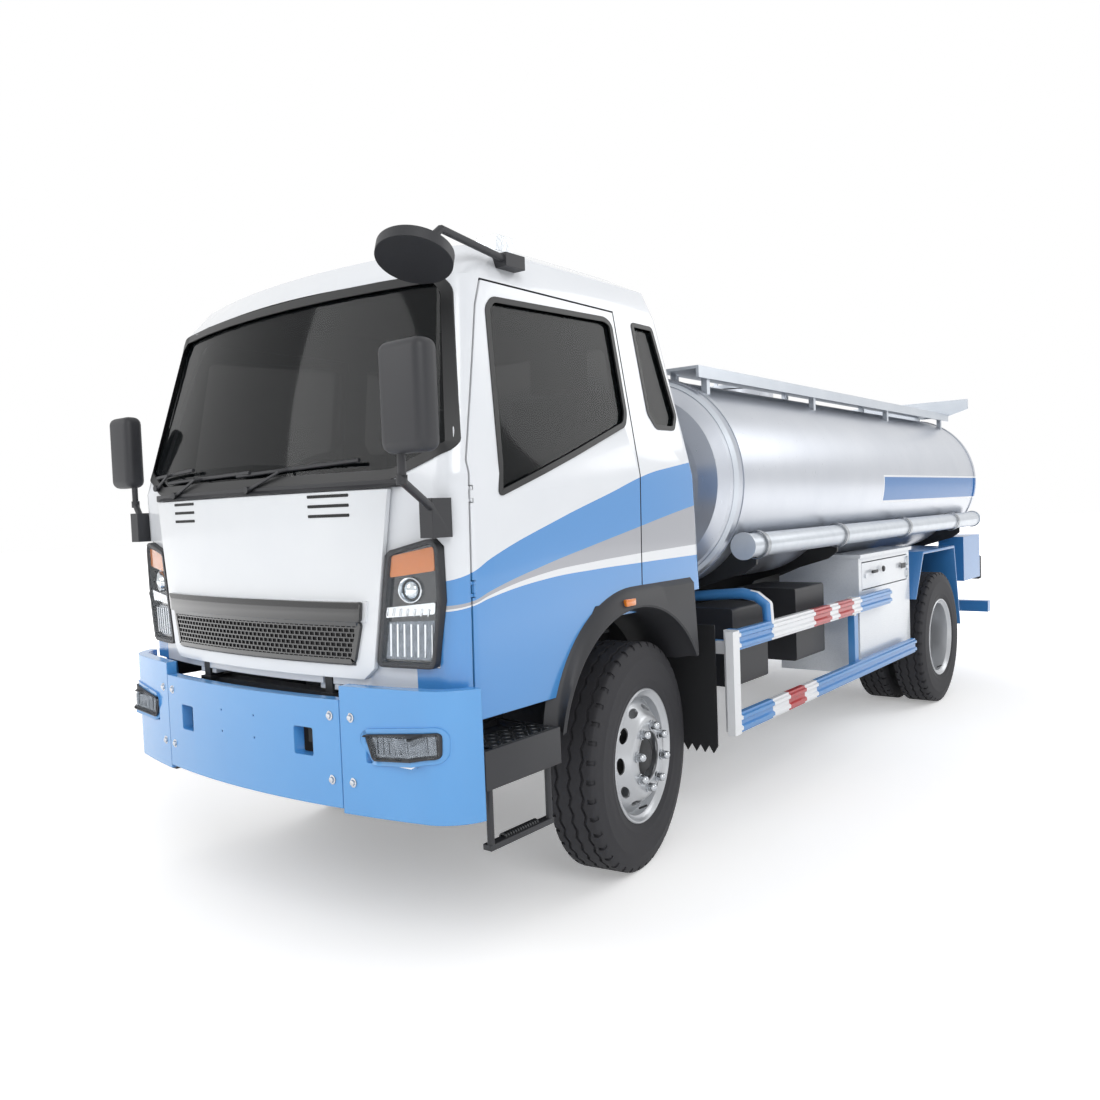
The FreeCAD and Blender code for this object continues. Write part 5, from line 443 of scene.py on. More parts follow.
# Brushed sheet: broad soft reflections drawn out upwards, under one blue stripe edged in white
TANK_METAL = TankMetal(
    "brushed_stainless_sheet", "C9CCD2", "B4B9C2", 0.3, metallic=0.75, blotch_mm=420,
    grain_mm=6, grain_depth_mm=0.04, stretch=(1, 1, 0.08), blocks=(
        ("F2F4F7", (0.5, 0.850, 1.520), (1.2, 3.34, 1.702)),
        ("2673B8", (0.5, 0.866, 1.533), (1.2, 3.34, 1.689))))
# Enamelled guard rails: blue with white and red marker blocks
GUARD_PAINT = BlockPaint(
    "guard_enamel", "4C92D2", "4386C6", 0.3, coat=0.3, grain_mm=8, grain_depth_mm=0.03,
    edge_mm=2, blocks=(
        ("ECEEF1", (1.0, -1.04, 0.84), (1.2, 0.22, 1.2)),
        ("B3141C", (1.0, -0.50, 0.84), (1.2, -0.265, 1.2)),
        ("B3141C", (1.0, -0.14, 0.84), (1.2, 0.083, 1.2)),
        ("ECEEF1", (1.0, -1.05, 0.4), (1.2, -0.485, 0.6)),
        ("B3141C", (1.0, -0.856, 0.4), (1.2, -0.649, 0.6)),
        ("ECEEF1", (1.0, -1.60, 0.4), (1.2, -1.40, 1.2))))
# Tinted float glass: grey body, hard mirror skin
WINDOW_GLASS = Pane("float_glass", "101416", "0C1012", 0.02, opacity=0.66,
                    blotch_mm=900, grain_mm=60, grain_depth_mm=0.002, coat=0.35)
# Moulded lamp cover: hardly any colour, a thin bright skin
LENS_CLEAR = Pane("clear_polycarbonate", "B9C0C6", "AEB6BD", 0.05, opacity=0.07, coat=0.5,
                  grain_mm=30, grain_depth_mm=0.01)
# Dyed lens with moulded ripples: saturated amber
LENS_AMBER = Finish("amber_polycarbonate", "F08A14", "D96F08", 0.12, coat=1.0, grain_mm=14,
                    grain_depth_mm=0.6)
# Dyed lens with moulded ripples: deep red
LENS_RED = Finish("red_polycarbonate", "A50E12", "8C0A0E", 0.14, coat=1.0, grain_mm=12,
                  grain_depth_mm=0.5)
# Pressed and metallised bowl: bumped facets, with painted reflections that mottle its colour light
# and dark
LAMP_BOWL = Finish("metallised_bowl", "8C939B", "4A5058", 0.16, metallic=0.9, blotch_mm=22,
                   grain_mm=14, grain_depth_mm=1.5)
# Lamp solids: a silvery low chamber, a dark upper one, and pale marker lamps on the roof
LAMP_BODY = HeightPaint("metallised_lamp_chambers", "BFC5CB", "8E959D", 0.14, metallic=0.5,
                        coat=1.0, blotch_mm=26, grain_mm=22, grain_depth_mm=1.2, edge_mm=3,
                        steps=((1.20, "17191C"), (2.2, "D5DADF")))
# Felt: grey with no shine at all
HEADLINER = Finish("needle_felt_lining", "2E3032", "28292B", 0.9, blotch_mm=120, grain_mm=2.5,
                   grain_depth_mm=0.3)
# Grained trim: very dark, with soft highlights at its edges
TRIM_GREY = Finish("moulded_cab_trim", "1D1F21", "18191B", 0.6, grain_mm=1.8,
                   grain_depth_mm=0.12, edge_mm=4)
# Woven cloth: dull, with a small uneven grain
SEAT_CLOTH = Finish("woven_seat_cloth", "34363A", "26272B", 0.85, blotch_mm=40, grain_mm=2.2,
                    grain_depth_mm=0.35)
# Silvered glass: a clean mirror
MIRROR_GLASS = Finish("silvered_glass", "DCE2E6", "D2DADF", 0.03, metallic=1.0, grain_mm=80,
                      grain_depth_mm=0.001)

CAD_FINISHES: Dict[str, Finish] = {
    "rear_wheel_left": RIM_SILVER, "rear_wheel_right": RIM_SILVER,
    "front_wheel_left": RIM_SILVER, "front_wheel_right": RIM_SILVER,
    "knuckle_left": CAST_GREY, "knuckle_right": CAST_GREY, "tie_rod": BARE_STEEL,
    "front_axle": CAST_GREY, "rear_axle": CAST_GREY, "leaf_springs": CAST_GREY,
    "chassis_frame": FRAME_BLACK, "engine_block": CAST_GREY, "drive_line": CAST_GREY,
    "cab_glass": WINDOW_GLASS, "door_glass_left": WINDOW_GLASS, "door_glass_right": WINDOW_GLASS,
    "cab_lamps": LAMP_BODY, "dashboard": TRIM_GREY, "steering_wheel": BLACK_PLASTIC,
    "entry_steps": BLACK_PLASTIC, "tank_shell": TANK_METAL, "manhole_lid": ALLOY,
    "tank_subframe": FRAME_BLACK, "hose_tubes": TUBE_METAL, "walkway": ALLOY,
    "side_tanks": BLACK_PLASTIC, "side_guards": GUARD_PAINT, "rear_bar": CHASSIS_BLUE,
    "outlet_pipe": BARE_STEEL, "chassis_lamps": CHROME, "front_tyre_left": TYRE_RUBBER,
    "front_tyre_right": TYRE_RUBBER, "rear_tyres_left": TYRE_RUBBER,
    "rear_tyres_right": TYRE_RUBBER, "seats": SEAT_CLOTH, "mirrors": BLACK_PLASTIC,
    "wheel_arches": BLACK_PLASTIC, "mudguards": CHASSIS_BLUE, "equipment_box": BOX_WHITE,
    "equipment_door": BOX_WHITE, "cab_shell": CAB_PAINT, "door_left": CAB_PAINT,
    "door_right": CAB_PAINT, "front_panel": PANEL_PAINT, "bumper": BUMPER_BLUE,
}


def dress(piece: bpy.types.Object, *finishes: Finish) -> None:
    """Give a piece its materials in order."""
    if piece.data.materials:
        piece.data.materials.clear()
    for finish in finishes:
        piece.data.materials.append(finish.build())


def stand(name: str, data: bpy.types.ID) -> bpy.types.Object:
    """Make an object of a mesh, a lamp or a camera, and link it to the scene."""
    item = bpy.data.objects.new(name, data)
    bpy.context.scene.collection.objects.link(item)
    return item


def mesh_of(name: str, shape: bmesh.types.BMesh) -> bpy.types.Mesh:
    """Turn a bmesh to mesh data, and free it."""
    data = bpy.data.meshes.new(name)
    shape.to_mesh(data)
    shape.free()
    return data


def piece_of(name: str, mesh: bmesh.types.BMesh, body: str, slot: str,
             *finishes: Finish) -> bpy.types.Object:
    """Turn a finished bmesh to a piece that rides on a body.

    Args:
        name: the piece's name.
        mesh: the shape, in its place.
        body: the CAD body that carries it.
        slot: the record's material slot; not used.
        finishes: its finishes, in the order of its material numbers.
    Returns:
        The new object.
    """
    for face in mesh.faces:
        face.smooth = True
    for edge in mesh.edges:
        edge.smooth = len(edge.link_faces) == 2 and edge.calc_face_angle(0.0) < SMOOTH_ANGLE
    piece = stand(name, mesh_of(name, mesh))
    dress(piece, *finishes)
    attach(piece, body)
    LOG.info("%s: %d faces on %s", name, len(piece.data.polygons), body)
    return piece


def block(mesh: bmesh.types.BMesh, low: Point, high: Point, soft: float = 0.0,
          segments: int = 2) -> None:
    """Add a block with softened edges.

    Args:
        mesh: the bmesh that takes it.
        low: its lowest corner.
        high: its highest corner.
        soft: how far its edges are rounded.
        segments: steps of the rounding.
    """
    size = Vector(high) - Vector(low)
    middle = (Vector(high) + Vector(low)) / 2
    made = bmesh.ops.create_cube(mesh, size=1, matrix=Matrix.Translation(middle) @
                                 Matrix.Diagonal((*size, 1)))
    if soft:
        edges = list({edge for point in made["verts"] for edge in point.link_edges})
        bmesh.ops.bevel(mesh, geom=edges, offset=soft, offset_type="OFFSET", segments=segments,
                        profile=0.5, affect="EDGES", material=-1)


def rod(mesh: bmesh.types.BMesh, start: Point, end: Point, radius: float, sides: int = 16,
        end_radius: Optional[float] = None) -> None:
    """Add a round bar, or a cone, between two points.

    Args:
        mesh: the bmesh that takes it.
        start: middle of one end.
        end: middle of the other end.
        radius: radius at the start.
        sides: faces round it.
        end_radius: radius at the end, where it differs.
    """
    way = Vector(end) - Vector(start)
    turn = way.to_track_quat("Z", "Y").to_matrix().to_4x4()
    place = Matrix.Translation((Vector(start) + Vector(end)) / 2) @ turn
    bmesh.ops.create_cone(mesh, cap_ends=True, segments=sides, radius1=radius,
                          radius2=radius if end_radius is None else end_radius,
                          depth=way.length, matrix=place)


def ball(mesh: bmesh.types.BMesh, middle: Point, radius: float,
         squash: Point = (1.0, 1.0, 1.0)) -> None:
    """Add a ball, flattened along any axis."""
    bmesh.ops.create_uvsphere(mesh, u_segments=20, v_segments=12, radius=radius,
                              matrix=Matrix.Translation(middle) @ Matrix.Diagonal((*squash, 1)))


def spun(mesh: bmesh.types.BMesh, profile: Sequence[Flat], middle: Point, steps: int,
         axis: Vector = Vector((1, 0, 0))) -> None:
    """Turn a closed profile about an axis through a point.

    Args:
        mesh: the bmesh that takes it.
        profile: places along the axis and radii.
        middle: the point that the profile is drawn about.
        steps: faces round the ring.
        axis: the axis of turning.
    """
    turn = Vector((1, 0, 0)).rotation_difference(axis).to_matrix().to_4x4()
    place = Matrix.Translation(middle) @ turn
    before = set(mesh.faces)
    points = [mesh.verts.new(place @ Vector((along, 0, radius))) for along, radius in profile]
    pairs = [(points[index - 1], points[index]) for index in range(len(points))
             if profile[index - 1][1] > NEAR or profile[index][1] > NEAR]
    edges = [mesh.edges.new(pair) for pair in pairs]
    bmesh.ops.spin(mesh, geom=points + edges, cent=middle, axis=axis, angle=math.tau,
                   steps=steps, use_merge=True)
    bmesh.ops.remove_doubles(mesh, verts=mesh.verts, dist=NEAR)
    faces = [face for face in mesh.faces if face not in before]
    bmesh.ops.recalc_face_normals(mesh, faces=faces)


def add_part(mesh: bmesh.types.BMesh, part: bmesh.types.BMesh,
             place: Matrix = IDENTITY) -> None:
    """Add a shape to a bmesh in a place, and leave the shape as it is."""
    data = bpy.data.meshes.new("part")
    part.to_mesh(data)
    data.transform(place)
    if place.determinant() < 0:
        data.flip_normals()
    mesh.from_mesh(data)
    bpy.data.meshes.remove(data)


def absorb(mesh: bmesh.types.BMesh, part: bmesh.types.BMesh,
           place: Matrix = IDENTITY) -> None:
    """Add a shape to a bmesh in a place, and free the shape."""
    add_part(mesh, part, place)
    part.free()


def paint(faces: Sequence[bmesh.types.BMFace], number: int) -> None:
    """Give faces one of the piece's material numbers."""
    for face in faces:
        face.material_index = number


def new_faces(mesh: bmesh.types.BMesh, before: Set[bmesh.types.BMFace], number: int) -> None:
    """Give a material number to the faces that a bmesh has gained."""
    paint([face for face in mesh.faces if face not in before], number)


def clip(mesh: bmesh.types.BMesh, place: Vector, way: Vector) -> None:
    """Cut away what lies beyond a plane through a place."""
    bmesh.ops.bisect_plane(mesh, geom=mesh.verts[:] + mesh.edges[:] + mesh.faces[:], dist=NEAR,
                           plane_co=place, plane_no=way, clear_outer=True)


def add_grid(mesh: bmesh.types.BMesh, middle: Vector, size: Flat, cells: Tuple[int, int],
             turn: Matrix = IDENTITY) -> None:
    """Add a flat grid of cells about a middle, turned where it stands."""
    bmesh.ops.create_grid(mesh, x_segments=cells[0], y_segments=cells[1], size=0.5,
                          matrix=Matrix.Translation(middle) @ turn @
                          Matrix.Diagonal((*size, 1, 1)))


def both_sides(part: bmesh.types.BMesh) -> bmesh.types.BMesh:
    """Join a shape on the left side with its mirrored twin on the right."""
    mesh = bmesh.new()
    add_part(mesh, part)
    absorb(mesh, part, MIRROR_X)
    return mesh


def wheel_place(centre: Point, outward: Point) -> Matrix:
    """Place of a wheel whose own X axis points outwards."""
    out = Vector(outward).normalized()
    up = Vector((0, 0, 1))
    turn = Matrix((out, up.cross(out), up)).transposed().to_4x4()
    return Matrix.Translation(centre) @ turn


def copy_of(node: str) -> bmesh.types.BMesh:
    """Copy a CAD node's mesh with its doubles merged and its flats joined."""
    mesh = bmesh.new()
    mesh.from_mesh(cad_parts[node].data)
    bmesh.ops.remove_doubles(mesh, verts=mesh.verts, dist=SOLID_NEAR)
    bmesh.ops.dissolve_limit(mesh, angle_limit=0.02, verts=mesh.verts, edges=mesh.edges,
                             delimit={"NORMAL"})
    return mesh


def round_edges(mesh: bmesh.types.BMesh, width: float, segments: int, sharp: float = 0.5,
                chosen: Optional[Callable[[Vector], bool]] = None) -> None:
    """Round the sharp edges of a copied solid.

    Args:
        mesh: the solid.
        width: how far from the edge the rounding starts.
        segments: steps of the rounding.
        sharp: least angle between two faces, in radians, that is rounded.
        chosen: says by an edge's middle whether it is rounded.
    """
    edges = []
    for edge in mesh.edges:
        if len(edge.link_faces) != 2 or edge.calc_face_angle(0.0) < sharp:
            continue
        middle = (edge.verts[0].co + edge.verts[1].co) / 2
        if chosen is None or chosen(middle):
            edges.append(edge)
    bmesh.ops.bevel(mesh, geom=edges, offset=width, offset_type="OFFSET", segments=segments,
                    profile=0.5, affect="EDGES", clamp_overlap=True, material=-1,
                    miter_outer="ARC")
    bmesh.ops.remove_doubles(mesh, verts=mesh.verts, dist=SOLID_NEAR)


@dataclass
class Skin:
    """The truck's outside, felt by rays so that seals, lamps and trim lie on it.

    Panes count as if they stood further out by pane_depth, so that a seal lies level. Five
    feelers keep a ray that slips through a gap from going deeper than the edge beside it.
    """

    nodes: Tuple[str, ...] = ("cab_shell", "door_left", "door_right", "front_panel")
    trees: List[BVHTree] = field(default_factory=list)
    panes: List[BVHTree] = field(default_factory=list)
    pane_depth: float = 0.012
    feeler: float = 0.012
    ledge: float = 0.02
    start_ahead: float = -4.2
    start_beside: float = 2.2
    reach: float = 2.0
    nothing: float = 9.0

    def __post_init__(self) -> None:
        """Read the solids once."""
        for names, store in ((self.nodes, self.trees),
                             (("cab_glass", "door_glass_left", "door_glass_right"), self.panes)):
            for name in names:
                mesh = bmesh.new()
                mesh.from_mesh(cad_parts[name].data)
                store.append(BVHTree.FromBMesh(mesh))
                mesh.free()

    def lay(self, plane: Plane, place: Flat, lift: float) -> Vector:
        """Find the outside at a place of an outline.

        Args:
            plane: the face that the outline is drawn on.
            place: the two coordinates on it.
            lift: how far off the surface the point ends.
        Returns:
            The point.
        """
        near = [self.hit(plane, (place[0] + a * self.feeler, place[1] + b * self.feeler))
                for a, b in ((0, 0), (1, 0), (-1, 0), (0, 1), (0, -1))]
        first = min(distance for distance, _, _ in near)
        distance, start, way = near[0]
        if distance > first + self.ledge:
            distance = first
        return start + way * (distance - lift)

    def hit(self, plane: Plane, place: Flat) -> Tuple[float, Vector, Vector]:
        """Cast one ray at the truck.

        Args:
            plane: the face that the place is on.
            place: the two coordinates on it.
        Returns:
            How far the outside is, the ray's start and its way.
        """
        if plane is Plane.FRONT:
            start, way = Vector((place[0], self.start_ahead, place[1])), Vector((0, 1, 0))
        else:
            side = 1 if plane is Plane.LEFT else -1
            start = Vector((self.start_beside * side, place[0], place[1]))
            way = Vector((-side, 0, 0))
        least = self.nothing
        for trees, depth in ((self.trees, 0.0), (self.panes, self.pane_depth)):
            for tree in trees:
                found = tree.ray_cast(start, way, self.reach)
                if found[0] is not None:
                    least = min(least, found[3] - depth)
        return least, start, way


def soft_outline(outline: Sequence[Flat], corner: float) -> List[Flat]:
    """Round an outline's corners.

    Args:
        outline: its corners in order.
        corner: how far from a corner the rounding starts.
    Returns:
        The corners of the rounded outline, in order.
    """
    mesh = bmesh.new()
    points = [mesh.verts.new((a, b, 0)) for a, b in outline]
    mesh.faces.new(points)
    if corner:
        bmesh.ops.bevel(mesh, geom=points, offset=corner, offset_type="OFFSET", segments=5,
                        profile=0.5, affect="VERTICES", clamp_overlap=True, material=-1)
    face = max(mesh.faces, key=lambda item: item.calc_area())
    face.normal_update()
    if face.normal.z < 0:
        face.normal_flip()
    rounded = [(point.co.x, point.co.y) for point in face.verts]
    mesh.free()
    return rounded


# Which way each face of the truck looks
TOWARD = {Plane.FRONT: Vector((0, -1, 0)), Plane.LEFT: Vector((1, 0, 0)),
          Plane.RIGHT: Vector((-1, 0, 0))}


def thicken(mesh: bmesh.types.BMesh, way: Vector) -> None:
    """Turn a laid sheet to a plate, with its outer face moved along a way."""
    for face in mesh.faces:
        face.normal_update()
        if face.normal.dot(way) < 0:
            face.normal_flip()
    made = bmesh.ops.extrude_face_region(mesh, geom=list(mesh.faces), use_keep_orig=True)
    lifted = [item for item in made["geom"] if isinstance(item, bmesh.types.BMVert)]
    bmesh.ops.translate(mesh, verts=lifted, vec=way)
    bmesh.ops.recalc_face_normals(mesh, faces=mesh.faces)


def patch(skin: Skin, plane: Plane, outline: Sequence[Flat], corner: float, lift: float,
          thick: float, cell: float = 0.04) -> bmesh.types.BMesh:
    """Lay a plate inside a convex outline on a curved outside.

    Args:
        skin: the outside.
        plane: the face that the outline is drawn on.
        outline: its corners.
        corner: rounding of its corners.
        lift: how far its back stands off the outside.
        thick: how thick it is.
        cell: length of its squares.
    Returns:
        The plate.
    """
    rounded = soft_outline(outline, corner)
    low = Vector((min(a for a, _ in rounded), min(b for _, b in rounded), 0))
    high = Vector((max(a for a, _ in rounded), max(b for _, b in rounded), 0))
    size = (high - low) * 1.02
    mesh = bmesh.new()
    add_grid(mesh, (low + high) / 2, size.xy,
             (max(2, round(size.x / cell)), max(2, round(size.y / cell))))
    for index, (a, b) in enumerate(rounded):
        after = rounded[(index + 1) % len(rounded)]
        out = Vector((after[1] - b, a - after[0], 0))
        if out.length > NEAR:
            clip(mesh, Vector((a, b, 0)), out.normalized())
    for point in mesh.verts:
        point.co = skin.lay(plane, (point.co.x, point.co.y), lift)
    bmesh.ops.remove_doubles(mesh, verts=mesh.verts, dist=1e-5)
    thicken(mesh, TOWARD[plane] * thick)
    return mesh


# How deep a seal is sunk in the outside, and the longest edge that it may have there
SEAL_SINK = 0.003
LONG_EDGE = 0.06


def ring_on(skin: Skin, name: str, plane: Plane, outline: Sequence[Flat], inner: float,
            outer: float, corner: float, thick: float, body: str, slot: str,
            finish: Finish) -> bpy.types.Object:
    """Lay a band along an outline on the outside, such as a window's rubber seal.

    Args:
        skin: the outside.
        name: the piece's name.
        plane: the face that the outline is drawn on.
        outline: its corners.
        inner: how far the band reaches inwards.
        outer: how far it reaches outwards.
        corner: rounding of the outline's corners.
        thick: how far the band stands off the outside.
        body: the CAD body that carries it.
        slot: the record's material slot.
        finish: its finish.
    Returns:
        The new object.
    """
    mesh = bmesh.new()
    mesh.faces.new([mesh.verts.new((a, b, 0)) for a, b in soft_outline(outline, corner)])
    around = [point.co.copy() for point in mesh.faces[:][0].verts]
    for index, point in enumerate(mesh.faces[:][0].verts):
        way = around[(index + 1) % len(around)] - around[index - 1]
        point.co += Vector((way.y, -way.x, 0)).normalized() * outer
    middle = mesh.faces[:]
    mesh.normal_update()
    bmesh.ops.inset_region(mesh, faces=middle, thickness=inner + outer, use_boundary=True,
                           use_even_offset=True)
    bmesh.ops.delete(mesh, geom=middle, context="FACES")
    long_edges = [edge for edge in mesh.edges if edge.calc_length() > LONG_EDGE]
    bmesh.ops.subdivide_edges(mesh, edges=long_edges, cuts=6, use_grid_fill=True)
    for point in mesh.verts:
        point.co = skin.lay(plane, (point.co.x, point.co.y), -SEAL_SINK)
    thicken(mesh, TOWARD[plane] * (thick + SEAL_SINK))
    return piece_of(name, mesh, body, slot, finish)


def carved(mesh: bmesh.types.BMesh, tool: bmesh.types.BMesh) -> bmesh.types.BMesh:
    """Cut one closed shape out of another.

    Args:
        mesh: the shape that is cut, which is used up.
        tool: the shape that cuts, which is used up.
    Returns:
        What is left.
    """
    holders = []
    for name, shape in (("carved_solid", mesh), ("carving_tool", tool)):
        holders.append(stand(name, mesh_of(name, shape)))
    solid, cutter = holders
    difference = solid.modifiers.new("difference", "BOOLEAN")
    difference.operation = "DIFFERENCE"
    difference.solver = "EXACT"
    difference.object = cutter
    graph = bpy.context.evaluated_depsgraph_get()
    data = bpy.data.meshes.new_from_object(solid.evaluated_get(graph))
    left = bmesh.new()
    left.from_mesh(data)
    bpy.data.meshes.remove(data)
    for holder in holders:
        shape_data = holder.data
        bpy.data.objects.remove(holder)
        bpy.data.meshes.remove(shape_data)
    bmesh.ops.remove_doubles(left, verts=left.verts, dist=1e-5)
    return left


def arc_line(mesh: bmesh.types.BMesh, start: Vector, middle: Vector, angle: float,
             steps: int) -> List[bmesh.types.BMVert]:
    """Draw an arc of points about the X axis through a middle.

    Args:
        mesh: the bmesh that takes it.
        start: first point.
        middle: the arc's middle.
        angle: how far it turns.
        steps: how many chords it has.
    Returns:
        The points in order.
    """
    before = set(mesh.verts)
    first = mesh.verts.new(start)
    bmesh.ops.spin(mesh, geom=[first], cent=middle, axis=(1, 0, 0), angle=angle, steps=steps,
                   use_merge=False)
    made = [point for point in mesh.verts if point not in before]
    ordered = [first]
    while len(ordered) < len(made):
        ordered.append(next(edge.other_vert(ordered[-1]) for edge in ordered[-1].link_edges
                            if edge.other_vert(ordered[-1]) not in ordered))
    return ordered


@dataclass
class Stage:
    """Plain pale floor, soft studio light and the camera at the photograph's place."""

    lens: float = 36 * 933.99 / 1100
    eye: Point = (3.137, -5.400, 1.561)
    right: Point = (0.78697708, 0.61584601, -0.03742674)
    down: Point = (-0.00224566, -0.05780144, -0.99832557)
    ahead: Point = (-0.61697814, 0.7857434, -0.04410543)
    floor_half: float = 60.0
    target: Point = (0, 0, 1.2)
    lamp_size: float = 5.0
    lamps: Sequence[Tuple[str, Point, float]] = (
        ("lamp_left", (7.5, -7.0, 6.5), 270), ("lamp_front", (-4.5, -9.5, 5.5), 150),
        ("lamp_rear", (6.0, 7.5, 6.0), 140))
    room_low: float = 0.36
    room_high: float = 0.72

    def camera(self) -> None:
        """Stand the camera where the photograph was taken."""
        data = bpy.data.cameras.new("camera")
        data.lens = self.lens
        data.sensor_width = 36
        data.clip_end = 300
        camera = stand("camera", data)
        axes = Matrix((self.right, -Vector(self.down), -Vector(self.ahead))).transposed()
        camera.matrix_world = Matrix.Translation(self.eye) @ axes.to_4x4()
        bpy.context.scene.camera = camera

    def lamp(self, name: str, place: Point, power: float) -> None:
        """Hang one soft lamp that looks at the truck's middle."""
        data = bpy.data.lights.new(name, "AREA")
        data.shape = "DISK"
        data.size = self.lamp_size
        data.energy = power
        lamp = stand(name, data)
        lamp.location = place
        look = Vector(self.target) - Vector(place)
        lamp.rotation_euler = look.to_track_quat("-Z", "Y").to_euler()

    def light(self) -> None:
        """Light the truck from an even pale room and three soft lamps."""
        world = bpy.data.worlds.new("room")
        bpy.context.scene.world = world
        world.use_nodes = True
        tree = world.node_tree
        back = tree.nodes["Background"]
        place = add_node(tree, "ShaderNodeTexCoord")
        axes = add_node(tree, "ShaderNodeSeparateXYZ", {0: place.outputs["Generated"]})
        ramp = add_node(tree, "ShaderNodeMapRange", {0: axes.outputs[2]},
                        in1=-0.15, in2=0.75, in3=self.room_low, in4=self.room_high)
        level = add_node(tree, "ShaderNodeMix", {0: seen_rays(tree), 2: ramp.outputs[0]},
                         data_type="FLOAT", in3=1.0)
        tree.links.new(level.outputs[0], back.inputs["Strength"])
        back.inputs["Color"].default_value = linear("FFFFFF")
        for name, spot, power in self.lamps:
            self.lamp(name, spot, power)

    def floor(self) -> None:
        """Lay a pale floor that keeps the truck's shadow."""
        mesh = bmesh.new()
        bmesh.ops.create_grid(mesh, x_segments=1, y_segments=1, size=self.floor_half)
        floor = stand("floor", mesh_of("floor", mesh))
        floor.data.materials.append(StudioFloor("matt_studio_floor", "FFFFFF", "FBFBFC", 0.9,
                                                grain_mm=40, grain_depth_mm=0.01).build())


@dataclass
class Carried:
    """CAD nodes with their own finishes, also those that a piece stands for later."""

    nodes: Sequence[str] = tuple(CAD_FINISHES)

    def dress(self) -> None:
        """Put each finish on its node's slots."""
        for name in self.nodes:
            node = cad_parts[name]
            dress(node, CAD_FINISHES[name])
            LOG.info("%s: %s", name, CAD_FINISHES[name].name)


@dataclass
class CabBody:
    """Cab shell and doors, with rounded edges, dark trim inside and a felt headliner."""

    middle: Vector = field(default_factory=lambda: Vector((0, -2.35, 1.75)))
    creases: Tuple[float, ...] = (2.400, 2.525, 2.598)
    crease_width: float = 0.030
    edge_width: float = 0.004
    trim_low: float = 1.12
    headliner_low: float = 2.3

    def on_crease(self, place: Vector) -> bool:
        """Say whether an edge runs along one of the roof's outer creases."""
        return any(abs(place.z - height) < 0.012 for height in self.creases)

    def panel(self, node: str, body: str) -> None:
        """Stand a rounded copy of a solid for the solid, with trim where it looks inwards.

        Args:
            node: the CAD node.
            body: the body that carries it.
        """
        mesh = copy_of(node)
        if body == "cab":
            round_edges(mesh, self.crease_width, 4, 0.2, self.on_crease)
        round_edges(mesh, self.edge_width, 2)
        for face in mesh.faces:
            centre = face.calc_center_median()
            if face.normal.dot(self.middle - centre) > 0.02 and centre.z > self.trim_low:
                face.material_index = 2 if centre.z > self.headliner_low else 1
        piece = piece_of(node + "_panel", mesh, body, "white_paint", CAD_FINISHES[node],
                         TRIM_GREY, HEADLINER)
        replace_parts(piece, node)

    def build(self) -> None:
        """Make the shell and both doors."""
        for node, body in (("cab_shell", "cab"), ("door_left", "door_left"),
                           ("door_right", "door_right")):
            self.panel(node, body)


